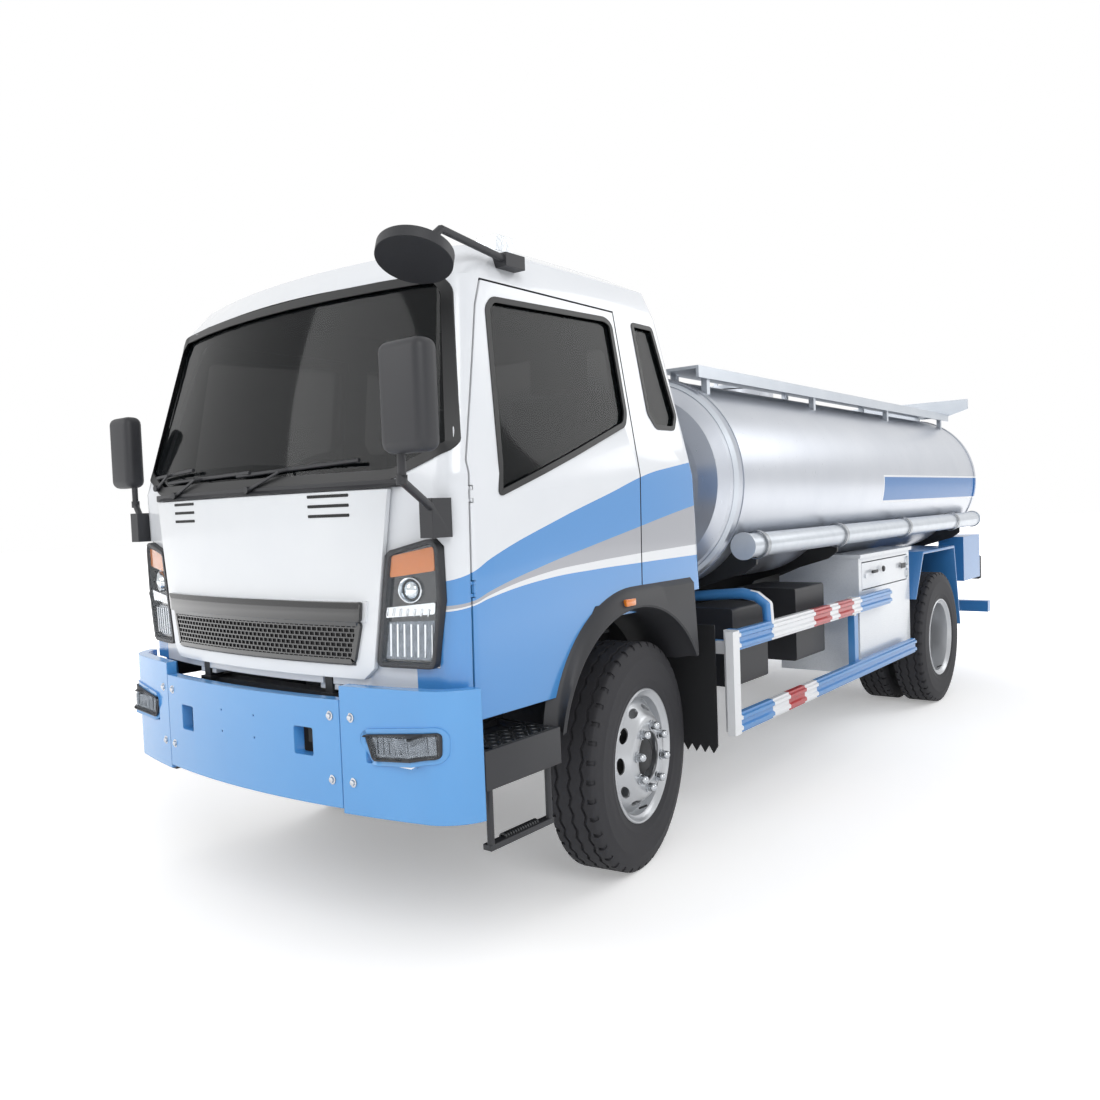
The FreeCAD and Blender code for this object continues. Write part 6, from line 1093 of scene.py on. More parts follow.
@dataclass
class Tyre:
    """Ribbed truck tyres: three zigzag grooves, notched shoulders and ringed sidewalls."""

    name: str
    node: str
    body: str
    places: Sequence[Matrix]
    steps: int = 160
    tread_radius: float = 0.487
    groove_depth: float = 0.010
    zigzag: float = 0.006
    notch_every: int = 4
    notch_depth: float = 0.009
    notch_inner: float = 0.077
    notch_low: float = 0.470
    groove_slope: float = 0.0015
    side: Sequence[Flat] = (
        (0.090, 0.268), (0.1005, 0.276), (0.1045, 0.292), (0.112, 0.318), (0.1135, 0.322),
        (0.1135, 0.327), (0.113, 0.330), (0.1165, 0.352), (0.1175, 0.378), (0.116, 0.405),
        (0.1168, 0.412), (0.1168, 0.419), (0.1145, 0.424), (0.1105, 0.448), (0.105, 0.466),
        (0.100, 0.478), (0.096, 0.4845), (0.092, 0.487), (0.076, 0.487))
    rib_edges: Sequence[float] = (0.062, 0.049, 0.0065)
    inside: Flat = (0.080, 0.276)

    def profile(self) -> List[Flat]:
        """Work out the closed section, from one bead over the tread to the other."""
        half = list(self.side)
        low = self.tread_radius - self.groove_depth
        wide, near, middle = self.rib_edges
        slope, top = self.groove_slope, self.tread_radius
        half += [(wide, top), (wide - slope, low), (near + slope, low), (near, top),
                 (middle, top), (middle - slope, low)]
        other = [(-along, radius) for along, radius in reversed(half)]
        return half + other + [(-self.inside[0], self.inside[1]), self.inside]

    def step_of(self, place: Vector) -> float:
        """Tell how many steps round the tyre a place is."""
        turn = math.atan2(place.y, place.z) % math.tau
        return turn / math.tau * self.steps

    def ring(self) -> bmesh.types.BMesh:
        """Make one tyre about its own X axis."""
        mesh = bmesh.new()
        spun(mesh, self.profile(), (0, 0, 0), self.steps)
        wave = (0.0, self.zigzag, 0.0, -self.zigzag)
        groove = self.tread_radius - self.groove_depth - 0.001
        for point in mesh.verts:
            radius = math.hypot(point.co.y, point.co.z)
            if abs(point.co.x) < self.rib_edges[0] + 0.001 and radius > groove:
                point.co.x += wave[round(self.step_of(point.co)) % 4]
        notches = []
        for face in mesh.faces:
            middle = face.calc_center_median()
            radius = math.hypot(middle.y, middle.z)
            if (abs(middle.x) > self.notch_inner and radius > self.notch_low
                    and int(self.step_of(middle)) % self.notch_every == 0):
                notches.append(face)
        made = bmesh.ops.extrude_face_region(mesh, geom=notches)
        for item in made["geom"]:
            if isinstance(item, bmesh.types.BMVert):
                radius = math.hypot(item.co.y, item.co.z)
                share = 1 - self.notch_depth / radius
                item.co = Vector((item.co.x, item.co.y * share, item.co.z * share))
        bmesh.ops.delete(mesh, geom=notches, context="FACES")
        bmesh.ops.recalc_face_normals(mesh, faces=mesh.faces)
        return mesh

    def build(self) -> None:
        """Put a tyre in each place and let the piece stand for the plain solid."""
        one = self.ring()
        mesh = bmesh.new()
        for place in self.places:
            add_part(mesh, one, place)
        one.free()
        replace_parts(piece_of(self.name, mesh, self.body, "tyre_rubber", TYRE_RUBBER), self.node)


@dataclass
class Wheel:
    """Pressed steel wheels with ten hand holes, eight capped nuts and a dark hub."""

    name: str
    node: str
    body: str
    places: Sequence[Matrix]
    dished: bool
    hand_holes: int = 10
    hole_half: Flat = (0.0185, 0.036)
    hole_at: Flat = (0.091, 0.204)
    nuts: int = 8
    nut_ring: float = 0.130
    face: Sequence[Flat] = ((0.1045, 0.287), (0.109, 0.283), (0.1085, 0.277), (0.100, 0.270),
                            (0.093, 0.264), (0.088, 0.254), (0.050, 0.248))
    back: Sequence[Flat] = ((0.050, 0.258), (0.094, 0.272), (0.100, 0.284))
    disc: Sequence[Flat] = (
        (0.052, 0.250), (0.056, 0.240), (0.064, 0.231), (0.116, 0.178), (0.124, 0.170),
        (0.128, 0.160), (0.129, 0.150), (0.129, 0.108), (0.127, 0.105), (0.119, 0.105),
        (0.119, 0.150), (0.114, 0.162), (0.054, 0.222), (0.044, 0.236), (0.040, 0.250))
    nut: Sequence[Flat] = ((0.0, 0.0), (0.0, 0.0225), (0.007, 0.0225), (0.0085, 0.0185),
                           (0.021, 0.018), (0.032, 0.017), (0.038, 0.013), (0.042, 0.006),
                           (0.0425, 0.0))
    # Where the nuts stand on a proud disc and on a dished one, and how far in its hub cap is
    foot: Tuple[float, float] = (0.129, -0.119)
    cap_shift: float = -0.115
    drum: Sequence[Flat] = ((-0.330, 0.100), (-0.330, 0.200), (-0.150, 0.205), (-0.140, 0.195),
                            (-0.125, 0.160), (-0.125, 0.100))
    cap: Sequence[Flat] = ((0.02, 0.0), (0.02, 0.104), (0.085, 0.100), (0.095, 0.085),
                           (0.112, 0.070), (0.118, 0.050), (0.120, 0.0))

    def rim(self) -> bmesh.types.BMesh:
        """Make one rim barrel with its two flanges."""
        mesh = bmesh.new()
        section = list(self.face) + [(-along, radius) for along, radius in reversed(self.face)]
        section += [(-along, radius) for along, radius in reversed(self.back)] + list(self.back)
        spun(mesh, section, (0, 0, 0), 72)
        return mesh

    def pierced_disc(self) -> bmesh.types.BMesh:
        """Make one disc with its oval hand holes cut out."""
        mesh = bmesh.new()
        spun(mesh, self.disc, (0, 0, 0), 72)
        slope = Vector((0.064, 0, 0.231)) - Vector((0.116, 0, 0.178))
        along = -slope.normalized()
        across = Vector((0, 1, 0))
        through = along.cross(across)
        stand = Matrix((along, across, through)).transposed().to_4x4()
        stand = Matrix.Translation((self.hole_at[0], 0, self.hole_at[1])) @ stand
        cutter = bmesh.new()
        for index in range(self.hand_holes):
            turn = Matrix.Rotation(math.tau * (index + 0.5) / self.hand_holes, 4, "X")
            bmesh.ops.create_cone(cutter, cap_ends=True, segments=20, radius1=1, radius2=1,
                                  depth=0.07, matrix=turn @ stand @ Matrix.Diagonal(
                                      (self.hole_half[0], self.hole_half[1], 1, 1)))
        return carved(mesh, cutter)

    def fittings(self, mesh: bmesh.types.BMesh, place: Matrix) -> None:
        """Add the nuts, the hub cap and the valve of the wheel that is seen."""
        part = bmesh.new()
        foot = self.foot[self.dished]
        for index in range(self.nuts):
            turn = math.tau * (index + 0.25) / self.nuts
            spun(part, self.nut, (foot, self.nut_ring * math.sin(turn),
                                  self.nut_ring * math.cos(turn)), 14)
        paint(part.faces, 1)
        before = set(part.faces)
        shift = self.cap_shift if self.dished else 0.0
        spun(part, [(along + shift, radius) for along, radius in self.cap], (0, 0, 0), 40)
        rod(part, (0.075, 0.0, -0.236), (0.112, 0.0, -0.218), 0.0045, 10)
        new_faces(part, before, 2)
        absorb(mesh, part, place)

    def build(self) -> None:
        """Put a wheel in each place and let the piece stand for the plain solid."""
        rim, disc = self.rim(), self.pierced_disc()
        mesh = bmesh.new()
        for index, place in enumerate(self.places):
            add_part(mesh, rim, place)
            inward = self.dished and index == 0
            add_part(mesh, disc, place @ MIRROR_X if inward else place)
        rim.free()
        disc.free()
        self.fittings(mesh, self.places[0])
        if self.dished:
            drum = bmesh.new()
            spun(drum, self.drum, (0, 0, 0), 48)
            paint(drum.faces, 2)
            absorb(mesh, drum, self.places[0])
        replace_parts(piece_of(self.name, mesh, self.body, "rim_paint", RIM_SILVER, NUT_STEEL,
                             CAST_GREY), self.node)


@dataclass
class RunningGear:
    """All wheels and tyres."""

    front_across: float = 0.86879
    front_shift: float = 0.01626
    twin_across: Tuple[float, float] = (0.9975, 0.7125)

    def build(self) -> None:
        """Make the left and right wheels of both axles."""
        toe = (math.cos(STEER_REST), math.sin(STEER_REST), 0)
        for side, sign in SIDES:
            place = [wheel_place((self.front_across * sign, FRONT_AXLE + self.front_shift * sign,
                                  HUB_HEIGHT), tuple(sign * part for part in toe))]
            Tyre("front_tread_" + side, "front_tyre_" + side, "wheel_front_" + side,
                 place).build()
            Wheel("front_disc_" + side, "front_wheel_" + side, "wheel_front_" + side, place,
                  False).build()
            twins = [wheel_place((across * sign, REAR_AXLE, HUB_HEIGHT), (sign, 0, 0))
                     for across in self.twin_across]
            Tyre("rear_tread_" + side, "rear_tyres_" + side, "wheel_rear_" + side,
                 twins).build()
            Wheel("rear_discs_" + side, "rear_wheel_" + side, "wheel_rear_" + side, twins,
                  True).build()


@dataclass
class Arches:
    """Black plastic flares over the front wheels, with their liners."""

    steps: int = 32
    end_angle: float = 150
    sheet: float = 0.003
    # Each arc: its place across, its middle along and up, its radius, the angle in degrees at
    # which it starts, and whether its rear half runs on level
    rings: Sequence[Tuple[float, float, float, float, float, bool]] = (
        (0.962, -2.1185, 0.6612, 0.600, 8, True), (0.991, -2.1185, 0.6612, 0.562, 8, True),
        (0.999, -2.1185, 0.6612, 0.556, 8, True), (1.016, -2.122, 0.645, 0.555, 9, True),
        (1.031, -2.130, 0.590, 0.566, 13, False), (1.035, -2.130, 0.590, 0.555, 14, False),
        (1.031, -2.130, 0.590, 0.546, 14, False), (0.992, -2.130, 0.590, 0.544, 14, False),
        (0.930, -2.130, 0.590, 0.524, 14, False), (0.700, -2.130, 0.590, 0.524, 14, False))

    def build(self) -> None:
        """Bridge the arcs, thicken the sheet and mirror it."""
        part = bmesh.new()
        before: List[bmesh.types.BMEdge] = []
        for across, along, height, radius, start, level in self.rings:
            angle = math.radians(start)
            first = Vector((across, along - radius * math.cos(angle),
                            height + radius * math.sin(angle)))
            line = arc_line(part, first, Vector((across, along, height)),
                            -math.radians(self.end_angle - start), self.steps)
            if level:
                for point in line:
                    if point.co.y > along:
                        point.co.z = height + radius
            edges = [next(edge for edge in one.link_edges if edge.other_vert(one) is two)
                     for one, two in zip(line, line[1:])]
            if before:
                bmesh.ops.bridge_loops(part, edges=before + edges)
            before = edges
        bmesh.ops.recalc_face_normals(part, faces=part.faces)
        bmesh.ops.solidify(part, geom=part.faces[:], thickness=self.sheet)
        bmesh.ops.recalc_face_normals(part, faces=part.faces)
        flare = set(part.faces)
        block(part, (1.022, -2.235, 1.150), (1.040, -2.165, 1.180), 0.004)
        new_faces(part, flare, 1)
        piece = piece_of("wheel_arch_flares", both_sides(part), "cab", "dark_plastic",
                         BLACK_PLASTIC, LENS_AMBER)
        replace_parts(piece, "wheel_arches")


@dataclass
class Mudguards:
    """Blue rear mudguards, and black flaps with toothed lower edges."""

    flap_low: float = 0.372
    teeth: int = 13
    tooth: float = 0.036
    sheet: float = 0.007
    guard_low: float = 0.80
    # The front flaps: inner and outer side, place along the truck and upper edge
    front: Tuple[float, float, float, float] = (0.432, 1.033, -1.492, 0.985)

    def flap(self, mesh: bmesh.types.BMesh, left: float, right: float, along: float,
             high: float) -> None:
        """Add one rubber sheet whose lower edge is cut to teeth."""
        sheet = bmesh.new()
        low = self.flap_low
        middle = Vector(((left + right) / 2, along, (low + high) / 2))
        add_grid(sheet, middle, (right - left, high - low), (self.teeth * 2, 10),
                 Matrix.Rotation(math.pi / 2, 4, "X"))
        pitch = (right - left) / (self.teeth * 2)
        for point in sheet.verts:
            if point.co.z < low + 0.001 and round((point.co.x - left) / pitch) % 2 == 0:
                point.co.z += self.tooth
        bmesh.ops.solidify(sheet, geom=sheet.faces[:], thickness=self.sheet)
        bmesh.ops.recalc_face_normals(sheet, faces=sheet.faces)
        absorb(mesh, sheet)

    def build(self) -> None:
        """Copy the solid guards, and swap the front flaps for toothed ones."""
        mesh = copy_of("mudguards")
        gone = [face for face in mesh.faces if face.calc_center_median().y < 0]
        bmesh.ops.delete(mesh, geom=gone, context="FACES")
        for face in mesh.faces:
            if face.calc_center_median().z < self.guard_low:
                face.material_index = 1
        round_edges(mesh, 0.004, 2, 0.7)
        before = set(mesh.faces)
        left, right, along, high = self.front
        self.flap(mesh, left, right, along, high)
        self.flap(mesh, -right, -left, along, high)
        new_faces(mesh, before, 1)
        piece = piece_of("guards_and_flaps", mesh, "chassis", "blue_paint", CHASSIS_BLUE,
                         FLAP_RUBBER)
        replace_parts(piece, "mudguards")


@dataclass
class Windows:
    """Black rubber seals round every pane."""

    skin: Skin
    screen: Sequence[Flat] = ((-0.740, 1.697), (0.740, 1.697), (0.955, 1.787), (0.845, 2.343),
                              (0.795, 2.393), (-0.795, 2.393), (-0.845, 2.343),
                              (-0.955, 1.787))
    door: Sequence[Flat] = ((-2.9478, 1.6165), (-2.483, 1.7677), (-2.100, 1.900),
                            (-2.075, 1.9525), (-2.075, 2.331), (-2.115, 2.351),
                            (-2.8326, 2.326), (-2.8726, 2.286))
    quarter: Sequence[Flat] = ((-1.845, 1.900), (-1.698, 1.900), (-1.663, 1.960),
                               (-1.745, 2.356), (-1.905, 2.356), (-1.895, 1.960))

    def build(self) -> None:
        """Lay each seal."""
        ring_on(self.skin, "windscreen_seal", Plane.FRONT, self.screen, 0.020, 0.016, 0.02,
                0.006, "cab", "dark_plastic", SEAL_RUBBER)
        for side, plane in (("left", Plane.LEFT), ("right", Plane.RIGHT)):
            ring_on(self.skin, "door_seal_" + side, plane, self.door, 0.014, 0.008, 0.018,
                    0.004, "door_" + side, "dark_plastic", SEAL_RUBBER)
            ring_on(self.skin, "quarter_seal_" + side, plane, self.quarter, 0.012, 0.008, 0.015,
                    0.004, "cab", "dark_plastic", SEAL_RUBBER)


@dataclass
class FrontFace:
    """Service panel dressing: mesh grille over a sheet of painted shade for its recess, gloss bar,
    pressed slots drawn as patches of painted shade, cowl and wipers.
    """

    skin: Skin
    grille: Sequence[Flat] = ((-0.560, 1.045), (0.560, 1.045), (0.598, 1.186), (-0.598, 1.186))
    bar: Sequence[Flat] = ((-0.610, 1.190), (0.610, 1.190), (0.618, 1.262), (-0.618, 1.262))
    cells: Tuple[int, int] = (46, 8)
    field: Tuple[Flat, Flat] = ((-0.60, 1.045), (0.60, 1.186))
    wire: float = 0.0026
    wire_depth: float = 0.005
    slot_heights: Sequence[float] = (1.565, 1.600, 1.635)
    slot_spans: Sequence[Flat] = ((0.37, 0.57), (-0.55, -0.37))
    slot_half: float = 0.0055
    cowl: Sequence[Flat] = ((-0.80, 1.655), (0.80, 1.655), (0.80, 1.682), (-0.80, 1.682))
    wipers: Sequence[Tuple[Flat, Flat, Flat]] = (
        ((-0.56, 1.675), (-0.36, 1.735), (0.02, 1.742)),
        ((0.02, 1.675), (0.22, 1.735), (0.60, 1.755)),
        ((-0.78, 1.715), (-0.64, 1.765), (-0.42, 1.775)))

    def lattice(self) -> bmesh.types.BMesh:
        """Make the grille's mesh of brick-laid cells."""
        mesh = bmesh.new()
        low, high = (Vector((*corner, 0)) for corner in self.field)
        size = high - low
        add_grid(mesh, (low + high) / 2, size.xy, (self.cells[0] * 2, self.cells[1]))
        width, height = size.x / (self.cells[0] * 2), size.y / self.cells[1]
        loose = []
        for edge in mesh.edges:
            one, two = edge.verts
            if abs(one.co.x - two.co.x) < 1e-5:
                middle = (one.co + two.co) / 2
                row = int((middle.y - low.y) / height)
                column = round((middle.x - low.x) / width)
                if (row + column) % 2 and 0 < column < self.cells[0] * 2:
                    loose.append(edge)
        bmesh.ops.dissolve_edges(mesh, edges=loose, use_verts=False)
        inner = mesh.faces[:]
        mesh.normal_update()
        bmesh.ops.inset_individual(mesh, faces=inner, thickness=self.wire, use_even_offset=True)
        bmesh.ops.delete(mesh, geom=inner, context="FACES")
        for (a, b), (c, d) in zip(self.grille, self.grille[1:] + self.grille[:1]):
            clip(mesh, Vector((a, b, 0)), Vector((d - b, a - c, 0)).normalized())
        for point in mesh.verts:
            point.co = self.skin.lay(Plane.FRONT, (point.co.x, point.co.y),
                                     self.wire_depth)
        thicken(mesh, Vector((0, -self.wire_depth, 0)))
        return mesh

    def wiper(self, index: int, pivot: Flat, elbow: Flat, tip: Flat) -> None:
        """Make one wiper: a cranked arm and a blade that lies on the glass."""
        lay = self.skin.lay
        on_glass = 0.014
        foot = lay(Plane.FRONT, pivot, 0.012)
        knee = lay(Plane.FRONT, elbow, 0.030)
        mesh = bmesh.new()
        rod(mesh, foot + Vector((0, 0.02, 0)), foot - Vector((0, 0.014, 0)), 0.014, 14)
        rod(mesh, foot, knee, 0.007, 10, 0.005)
        end = lay(Plane.FRONT, tip, on_glass)
        start = lay(Plane.FRONT, (elbow[0] * 2 - tip[0], elbow[1] - 0.004), on_glass)
        start = start.lerp(lay(Plane.FRONT, elbow, on_glass), 0.25)
        rod(mesh, start, end, 0.0075, 6)
        rod(mesh, knee, start.lerp(end, 0.45), 0.005, 8)
        piece_of("wiper_" + str(index), mesh, "cab", "dark_plastic", BLACK_PLASTIC)

    def build(self) -> None:
        """Lay all pieces on the face."""
        skin, body = self.skin, "front_panel"
        # Painted shade: a dark sheet laid on the panel stands for the shaded recess behind the
        # grille mesh, partly the dark parts behind it
        piece_of("grille_backing", patch(skin, Plane.FRONT, self.grille, 0.012, 0.001, 0.003),
                 body, "dark_plastic", GRILLE_DARK)
        piece_of("grille_mesh", self.lattice(), body, "dark_plastic", GLOSS_BLACK)
        ring_on(skin, "grille_frame", Plane.FRONT, self.grille, 0.012, 0.006, 0.014, 0.012, body,
                "dark_plastic", GLOSS_BLACK)
        bar = patch(skin, Plane.FRONT, self.bar, 0.010, 0.002, 0.016)
        round_edges(bar, 0.003, 2, 0.9)
        piece_of("gloss_bar", bar, body, "dark_plastic", GLOSS_BLACK)
        # Painted shade: thin dark patches on the panel stand for the shaded openings of the
        # pressed slots
        slots = bmesh.new()
        for height in self.slot_heights:
            for low, high in self.slot_spans:
                under, over = height - self.slot_half, height + self.slot_half
                outline = ((low, under), (high, under), (high, over), (low, over))
                absorb(slots, patch(skin, Plane.FRONT, outline, 0.004, 0.0003, 0.001))
        piece_of("pressed_slot_shade", slots, body, "dark_plastic", GRILLE_DARK)
        piece_of("cowl_strip", patch(skin, Plane.FRONT, self.cowl, 0.006, -0.004, 0.010), "cab",
                 "dark_plastic", BLACK_PLASTIC)
        for index, points in enumerate(self.wipers):
            self.wiper(index, *points)


@dataclass
class Headlamps:
    """Stacked headlamps: amber indicator, projector, ribbed band and chromed reflector."""

    skin: Skin
    outline: Sequence[Flat] = ((0.662, 1.040), (0.888, 1.040), (0.926, 1.265), (0.926, 1.445),
                               (0.900, 1.472), (0.724, 1.430))
    amber: Sequence[Flat] = ((0.722, 1.345), (0.905, 1.368), (0.905, 1.450), (0.735, 1.420))
    band: Sequence[Flat] = ((0.690, 1.205), (0.900, 1.222), (0.905, 1.262), (0.698, 1.240))
    bowl: Sequence[Flat] = ((0.680, 1.062), (0.868, 1.062), (0.892, 1.200), (0.690, 1.190))
    projector: Flat = (0.800, 1.302)
    looks: Point = (0.35, -0.94, 0)
    bezel: Sequence[Flat] = ((0, 0.046), (0.016, 0.044), (0.018, 0.040), (0.006, 0.034),
                             (0, 0.034))
    eye: float = 0.031
    ribs: int = 7
    rib_start: float = 0.705
    rib_pitch: float = 0.028

    def build(self) -> None:
        """Build the left lamp's layers and mirror them."""
        lay = self.skin.lay
        part = patch(self.skin, Plane.FRONT, self.outline, 0.016, 0.001, 0.003, 0.03)
        for number, outline, thick in ((1, self.amber, 0.012), (4, self.bowl, 0.006),
                                       (2, self.band, 0.016)):
            layer = patch(self.skin, Plane.FRONT, outline, 0.008, 0.004, thick, 0.03)
            paint(layer.faces, number)
            absorb(part, layer)
        before = set(part.faces)
        middle = lay(Plane.FRONT, self.projector, 0.004)
        out = Vector(self.looks).normalized()
        spun(part, self.bezel, tuple(middle), 32, out)
        for step in range(self.ribs):
            across = self.rib_start + step * self.rib_pitch
            for low, high, lift in ((1.072, 1.185, 0.010), (1.214, 1.238, 0.020)):
                foot = lay(Plane.FRONT, (across, low), lift)
                head = lay(Plane.FRONT, (across + 0.006, high), lift)
                rod(part, foot, head, 0.004, 8)
        new_faces(part, before, 2)
        before = set(part.faces)
        ball(part, tuple(middle + out * 0.004), self.eye, (1, 0.6, 1))
        new_faces(part, before, 3)
        piece_of("headlamp_chambers", both_sides(part), "cab", "lamp_glass", GLOSS_BLACK,
                 LENS_AMBER, CHROME, MIRROR_GLASS, LAMP_BOWL)
        cover = patch(self.skin, Plane.FRONT, self.outline, 0.016, 0.024, 0.003, 0.03)
        piece_of("headlamp_lenses", both_sides(cover), "cab", "lamp_glass", LENS_CLEAR)
        for side, sign in SIDES:
            ring_on(self.skin, "headlamp_frame_" + side, Plane.FRONT,
                    [(a * sign, b) for a, b in self.outline], 0.010, 0.006, 0.018, 0.026, "cab",
                    "dark_plastic", BLACK_PLASTIC)


@dataclass
class FogLamps:
    """Wide fog lamps in bevelled surrounds on the bumper's corners, and the bumper's bolts."""

    skin: Skin
    outline: Sequence[Flat] = ((0.668, 0.812), (0.700, 0.730), (0.960, 0.757), (0.962, 0.836))
    ribs: int = 9
    rib_start: float = 0.715
    rib_pitch: float = 0.029
    bolt: Sequence[Flat] = ((-0.001, 0.0), (-0.001, 0.017), (0.001, 0.017), (0.002, 0.011),
                            (0.007, 0.010), (0.008, 0.006), (0.008, 0.0))
    bolts: Sequence[Flat] = ((0.605, 0.867), (0.510, 0.867), (0.605, 0.640), (0.510, 0.640))

    def build(self) -> None:
        """Lay lamp, frame and lens on the bumper, and mirror them."""
        part = patch(self.skin, Plane.FRONT, self.outline, 0.012, 0.001, 0.004, 0.03)
        for step in range(self.ribs):
            across = self.rib_start + step * self.rib_pitch
            foot = self.skin.lay(Plane.FRONT, (across, 0.750 + step * 0.003), 0.006)
            head = self.skin.lay(Plane.FRONT, (across - 0.004, 0.808 + step * 0.0025), 0.006)
            rod(part, foot, head, 0.0045, 8)
        piece_of("fog_reflectors", both_sides(part), "chassis", "lamp_glass", LAMP_BOWL)
        cover = patch(self.skin, Plane.FRONT, self.outline, 0.012, 0.013, 0.003, 0.03)
        piece_of("fog_lenses", both_sides(cover), "chassis", "lamp_glass", LENS_CLEAR)
        for side, sign in SIDES:
            outline = [(a * sign, b) for a, b in self.outline]
            ring_on(self.skin, "fog_frame_" + side, Plane.FRONT, outline, 0.006, 0.004, 0.012,
                    0.016, "chassis", "dark_plastic", BLACK_PLASTIC)
            ring_on(self.skin, "fog_surround_" + side, Plane.FRONT, outline, -0.004, 0.022,
                    0.020, 0.007, "chassis", "blue_paint", BUMPER_BLUE)
        bolts = bmesh.new()
        for place in self.bolts:
            foot = self.skin.lay(Plane.FRONT, place, 0.0)
            spun(bolts, self.bolt, tuple(foot), 20, Vector((0, -1, 0)))
        piece_of("bumper_bolts", both_sides(bolts), "chassis", "bare_steel", NUT_STEEL)


@dataclass
class Mirrors:
    """Rounded mirror housings with silvered glass on their backs."""

    # Housings are the points of the solid further out than this, between these two heights
    housing: float = 1.02
    low: float = 1.70
    high: float = 2.2
    reach: float = 1.2195
    soft: float = 0.034
    neck_low: float = 1.62

    def build(self) -> None:
        """Swap the plain housings of a copy of the solid for rounded ones."""
        mesh = copy_of("mirrors")
        for sign in (1, -1):
            shell = [point for point in mesh.verts if point.co.x * sign > self.housing
                     and self.low < point.co.z < self.high]
            inner = min(point.co.x * sign for point in shell)
            near = min(point.co.y for point in shell)
            far = max(point.co.y for point in shell)
            base = min(point.co.z for point in shell)
            top = max(point.co.z for point in shell)
            bmesh.ops.delete(mesh, geom=shell, context="VERTS")
            ends = sorted((inner * sign, self.reach * sign))
            block(mesh, (ends[0], near, base), (ends[1], far, top), self.soft, 5)
            neck = [point.co.copy() for point in mesh.verts if point.co.x * sign > self.housing
                    and self.neck_low < point.co.z < self.low]
            if neck:
                knee = sum(neck, Vector()) / len(neck)
                rod(mesh, tuple(knee), (knee.x, knee.y, base + 0.03), 0.013, 16)
                ball(mesh, tuple(knee), 0.0135)
        bmesh.ops.holes_fill(mesh, edges=mesh.edges[:], sides=0)
        bmesh.ops.recalc_face_normals(mesh, faces=mesh.faces)
        for face in mesh.faces:
            face.normal_update()
        glass = [face for face in mesh.faces if face.normal.y > 0.8 and face.calc_area() > 0.02
                 and self.low < face.calc_center_median().z < self.high]
        bmesh.ops.inset_individual(mesh, faces=glass, thickness=0.012, depth=-0.003)
        paint(glass, 1)
        piece = piece_of("mirror_housings", mesh, "cab", "dark_plastic", BLACK_PLASTIC,
                         MIRROR_GLASS)
        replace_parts(piece, "mirrors")


@dataclass
class Seats:
    """Two high-backed seats: crowned cushions and backs with sewn channels and head rests."""

    across: float = 0.450
    half: float = 0.235
    cushion: Tuple[Point, Point] = ((0, -2.345, 1.400), (0, -1.880, 1.540))
    back: Tuple[Point, Point] = ((0, -1.930, 1.500), (0, -1.790, 2.080))
    rest: Tuple[Point, Point] = ((0, -1.915, 2.110), (0, -1.810, 2.300))
    crown: float = 0.022
    channel_at: float = 0.6
    channel_half: float = 0.06
    channel_depth: float = 0.008
    swell: float = 0.012
    tuck: float = 0.010

    def pad(self, name: str, across: float, half: float, low: Point, high: Point, way: int,
            fill: float) -> bpy.types.Object:
        """Make one padded block whose broad face swells between its seams.

        Args:
            name: the piece's name.
            across: middle of the seat.
            half: half its width.
            low: lowest corner.
            high: highest corner.
            way: the axis that the broad face looks along.
            fill: how tight the padding is; not used.
        Returns:
            The new object.
        """
        mesh = bmesh.new()
        size = Vector((half * 2, high[1] - low[1], high[2] - low[2]))
        middle = Vector((across, (low[1] + high[1]) / 2, (low[2] + high[2]) / 2))
        bmesh.ops.create_cube(mesh, size=1, matrix=Matrix.Translation(middle) @
                              Matrix.Diagonal((*size, 1)))
        bmesh.ops.subdivide_edges(mesh, edges=mesh.edges[:], cuts=11, use_grid_fill=True)
        other = 3 - way
        for point in mesh.verts:
            local = point.co - middle
            shares = [min(1.0, abs(local[axis]) / (size[axis] / 2)) for axis in range(3)]
            broad = (1 - shares[0] ** 2) * (1 - shares[other] ** 2)
            if shares[way] > 0.99:
                push = abs(self.crown * (broad - 0.6))
                if abs(shares[0] - self.channel_at) < self.channel_half:
                    push -= self.channel_depth
                point.co[way] += math.copysign(1, local[way]) * push
            for axis in (0, other):
                if shares[axis] > 0.99:
                    pull = self.swell * (1 - shares[3 - axis - way] ** 2)
                    point.co[axis] += math.copysign(pull - self.tuck, local[axis])
        bmesh.ops.recalc_face_normals(mesh, faces=mesh.faces)
        piece = piece_of(name, mesh, "cab", "seat_cloth", SEAT_CLOTH)
        smooth = piece.modifiers.new("smooth", "SUBSURF")
        smooth.levels = smooth.render_levels = 1
        return piece

    def build(self) -> None:
        """Make both seats, the first of which stands for the solid, and the frames under them."""
        for side, sign in SIDES:
            middle = self.across * sign
            cushion = self.pad("seat_cushion_" + side, middle, self.half, *self.cushion, 2, 0.7)
            if side == "left":
                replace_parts(cushion, "seats")
            self.pad("seat_back_" + side, middle, self.half, *self.back, 1, 0.7)
            self.pad("head_rest_" + side, middle, 0.125, *self.rest, 1, 0.8)
        frames = bmesh.new()
        block(frames, (0.230, -2.320, 1.165), (0.670, -1.900, 1.405), 0.012)
        for across in (0.400, 0.500):
            rod(frames, (across, -1.862, 2.05), (across, -1.862, 2.14), 0.007, 12)
        piece_of("seat_frames", both_sides(frames), "cab", "dark_plastic", TRIM_GREY)


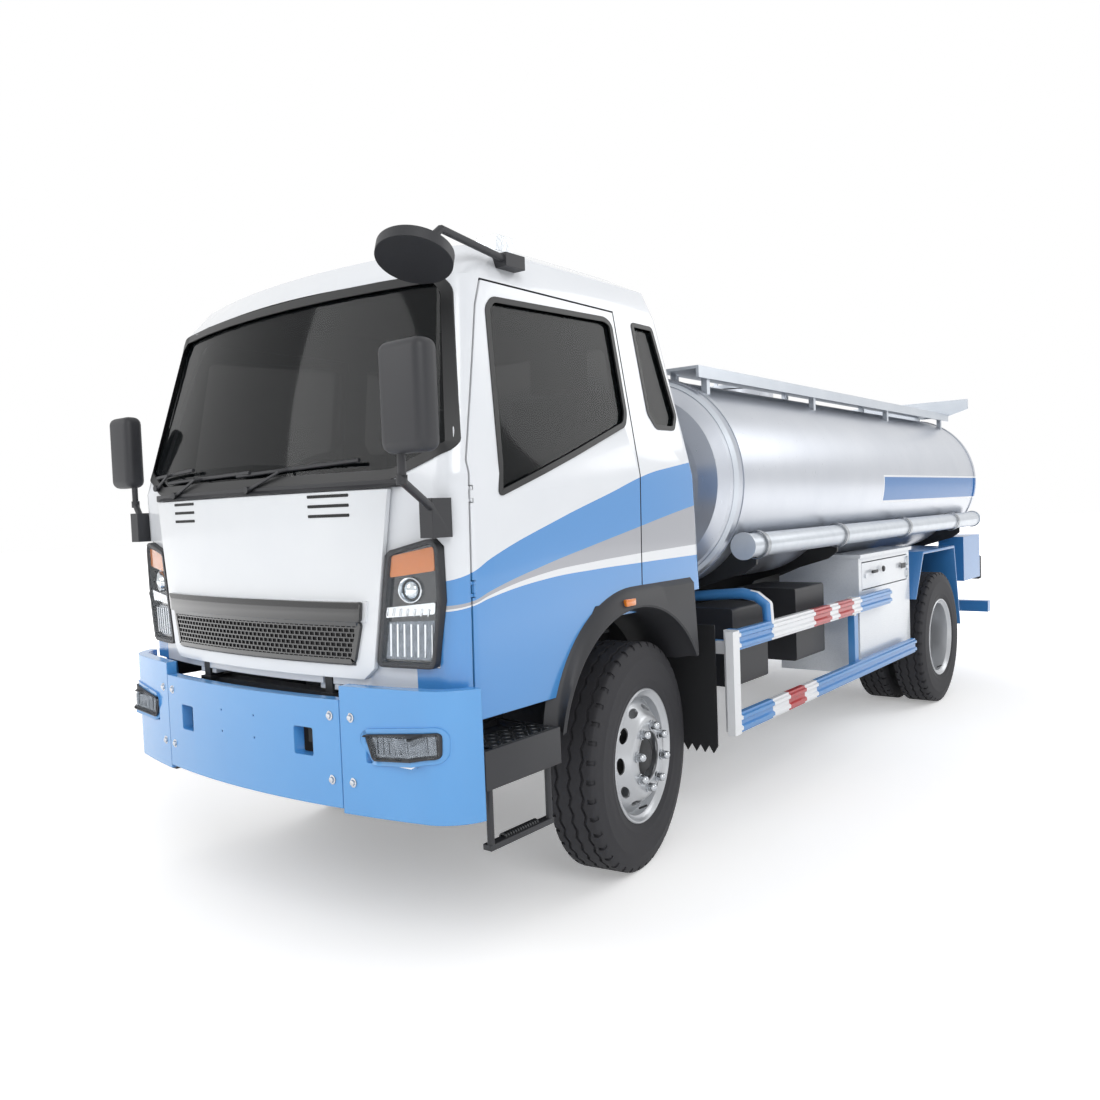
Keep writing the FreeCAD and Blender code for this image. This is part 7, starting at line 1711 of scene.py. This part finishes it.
@dataclass
class SmallFittings:
    """Tube clamps, weld rings, step treads and sleeves, rear lamps and the box's lock."""

    tube: Flat = (1.0598, 1.342)
    tube_radius: float = 0.068
    clamps: Sequence[float] = (-1.071, 0.003, 1.20, 2.403)
    clamp_half: float = 0.018
    clamp_sheet: float = 0.004
    ring_inset: float = 0.075
    ring_half: float = 0.010
    tread_rows: int = 4
    tread_columns: int = 9
    tread_pitch: float = 0.037
    tread_start: Point = (0.898, -3.045, 0.758)
    tear: float = 0.015
    sleeve_start: Point = (0.985, -2.985, 0.416)
    sleeve_ribs: int = 14
    sleeve_pitch: float = 0.0135

    def clamp_bands(self) -> None:
        """Put a band round each hose tube where it is held."""
        part = bmesh.new()
        half, inner = self.clamp_half, self.tube_radius
        outer = inner + self.clamp_sheet
        for along in self.clamps:
            spun(part, ((-half, inner), (-half, outer), (half, outer), (half, inner)),
                 (self.tube[0], along, self.tube[1]), 40, Vector((0, 1, 0)))
        piece_of("tube_clamps", both_sides(part), "chassis", "bare_steel", BARE_STEEL)

    def weld_rings(self) -> None:
        """Raise a flat ring from the tank's own outline near each head."""
        low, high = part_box("tank_shell")
        mesh = bmesh.new()
        for along in (low[1] + self.ring_inset, high[1] - self.ring_inset):
            part = copy_of("tank_shell")
            for way in (-1, 1):
                clip(part, Vector((0, along + way * self.ring_half, 0)), Vector((0, way, 0)))
            bmesh.ops.solidify(part, geom=part.faces[:], thickness=-0.004)
            bmesh.ops.recalc_face_normals(part, faces=part.faces)
            absorb(mesh, part)
        piece_of("weld_rings", mesh, "chassis", "tank_metal", ALLOY)

    def step_treads(self) -> None:
        """Lay chequered plates on the entry steps."""
        part = bmesh.new()
        block(part, (0.880, -3.070, 0.754), (1.028, -2.730, 0.758), 0.001, 1)
        across, along, height = self.tread_start
        for row in range(self.tread_rows):
            for column in range(self.tread_columns):
                turn = Matrix.Rotation(math.radians(40 if (row + column) % 2 else -40), 4, "Z")
                place = Matrix.Translation((across + row * self.tread_pitch,
                                            along + column * self.tread_pitch, height))
                bmesh.ops.create_uvsphere(part, u_segments=8, v_segments=6, radius=self.tear,
                                          matrix=place @ turn @ Matrix.Diagonal(
                                              (1, 0.36, 0.3, 1)))
        piece_of("step_treads", both_sides(part), "chassis", "dark_plastic", TREAD_PLATE)

    def step_loops(self) -> None:
        """Round the entry steps' edges, and put a ribbed sleeve on each loop's lower bar."""
        mesh = copy_of("entry_steps")
        round_edges(mesh, 0.006, 2, 0.9)
        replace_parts(piece_of("step_blocks", mesh, "chassis", "dark_plastic", BLACK_PLASTIC),
                    "entry_steps")
        for side, sign in SIDES:
            across, start, height = self.sleeve_start
            sleeve = bmesh.new()
            for index in range(self.sleeve_ribs):
                along = start + index * self.sleeve_pitch
                spun(sleeve, ((-0.005, 0.012), (-0.004, 0.0175), (0.004, 0.0175),
                              (0.005, 0.012)), (across * sign, along, height), 16,
                     Vector((0, 1, 0)))
            piece_of("step_sleeve_" + side, sleeve, "chassis", "dark_plastic", TREAD_PLATE)

    def lamps_behind(self) -> None:
        """Give the rear lamps red lenses in black bodies."""
        mesh = copy_of("chassis_lamps")
        for face in mesh.faces:
            if face.calc_center_median().y > 0:
                face.material_index = 1 if face.normal.y < 0.5 else 2
        round_edges(mesh, 0.004, 2, 0.9)
        piece = piece_of("chassis_lamp_bodies", mesh, "chassis", "lamp_glass", CHROME,
                         BLACK_PLASTIC, LENS_RED)
        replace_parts(piece, "chassis_lamps")

    def box_details(self) -> None:
        """Put the lock, the blank plate and the handle on the equipment box's door."""
        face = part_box("equipment_door")[1][0]
        mesh = bmesh.new()
        spun(mesh, ((-0.002, 0.0), (-0.002, 0.020), (0.006, 0.019), (0.010, 0.014),
                    (0.010, 0.0)), (face, 0.785, 1.085), 24)
        block(mesh, (face - 0.001, 1.150, 1.060), (face + 0.003, 1.245, 1.095), 0.001, 1)
        block(mesh, (face - 0.001, 0.560, 1.070), (face + 0.012, 0.660, 1.090), 0.004)
        piece_of("box_door_lock", mesh, "box_door", "dark_plastic", BLACK_PLASTIC)

    def build(self) -> None:
        """Make all small fittings."""
        self.clamp_bands()
        self.weld_rings()
        self.step_treads()
        self.step_loops()
        self.lamps_behind()
        self.box_details()


def main() -> None:
    """Build the truck's looks in order and report each piece."""
    logging.basicConfig(level=logging.INFO, format="%(message)s")
    stage = Stage()
    stage.camera()
    stage.light()
    stage.floor()
    Carried().dress()
    skin = Skin()
    CabBody().build()
    RunningGear().build()
    Arches().build()
    Mudguards().build()
    Windows(skin).build()
    FrontFace(skin).build()
    Headlamps(Skin(nodes=("cab_shell", "front_panel", "cab_lamps"))).build()
    FogLamps(Skin(nodes=("bumper", "chassis_lamps"))).build()
    Mirrors().build()
    Seats().build()
    SmallFittings().build()
    bpy.context.scene.view_settings.view_transform = "Standard"


if __name__ == "__main__":
    main()
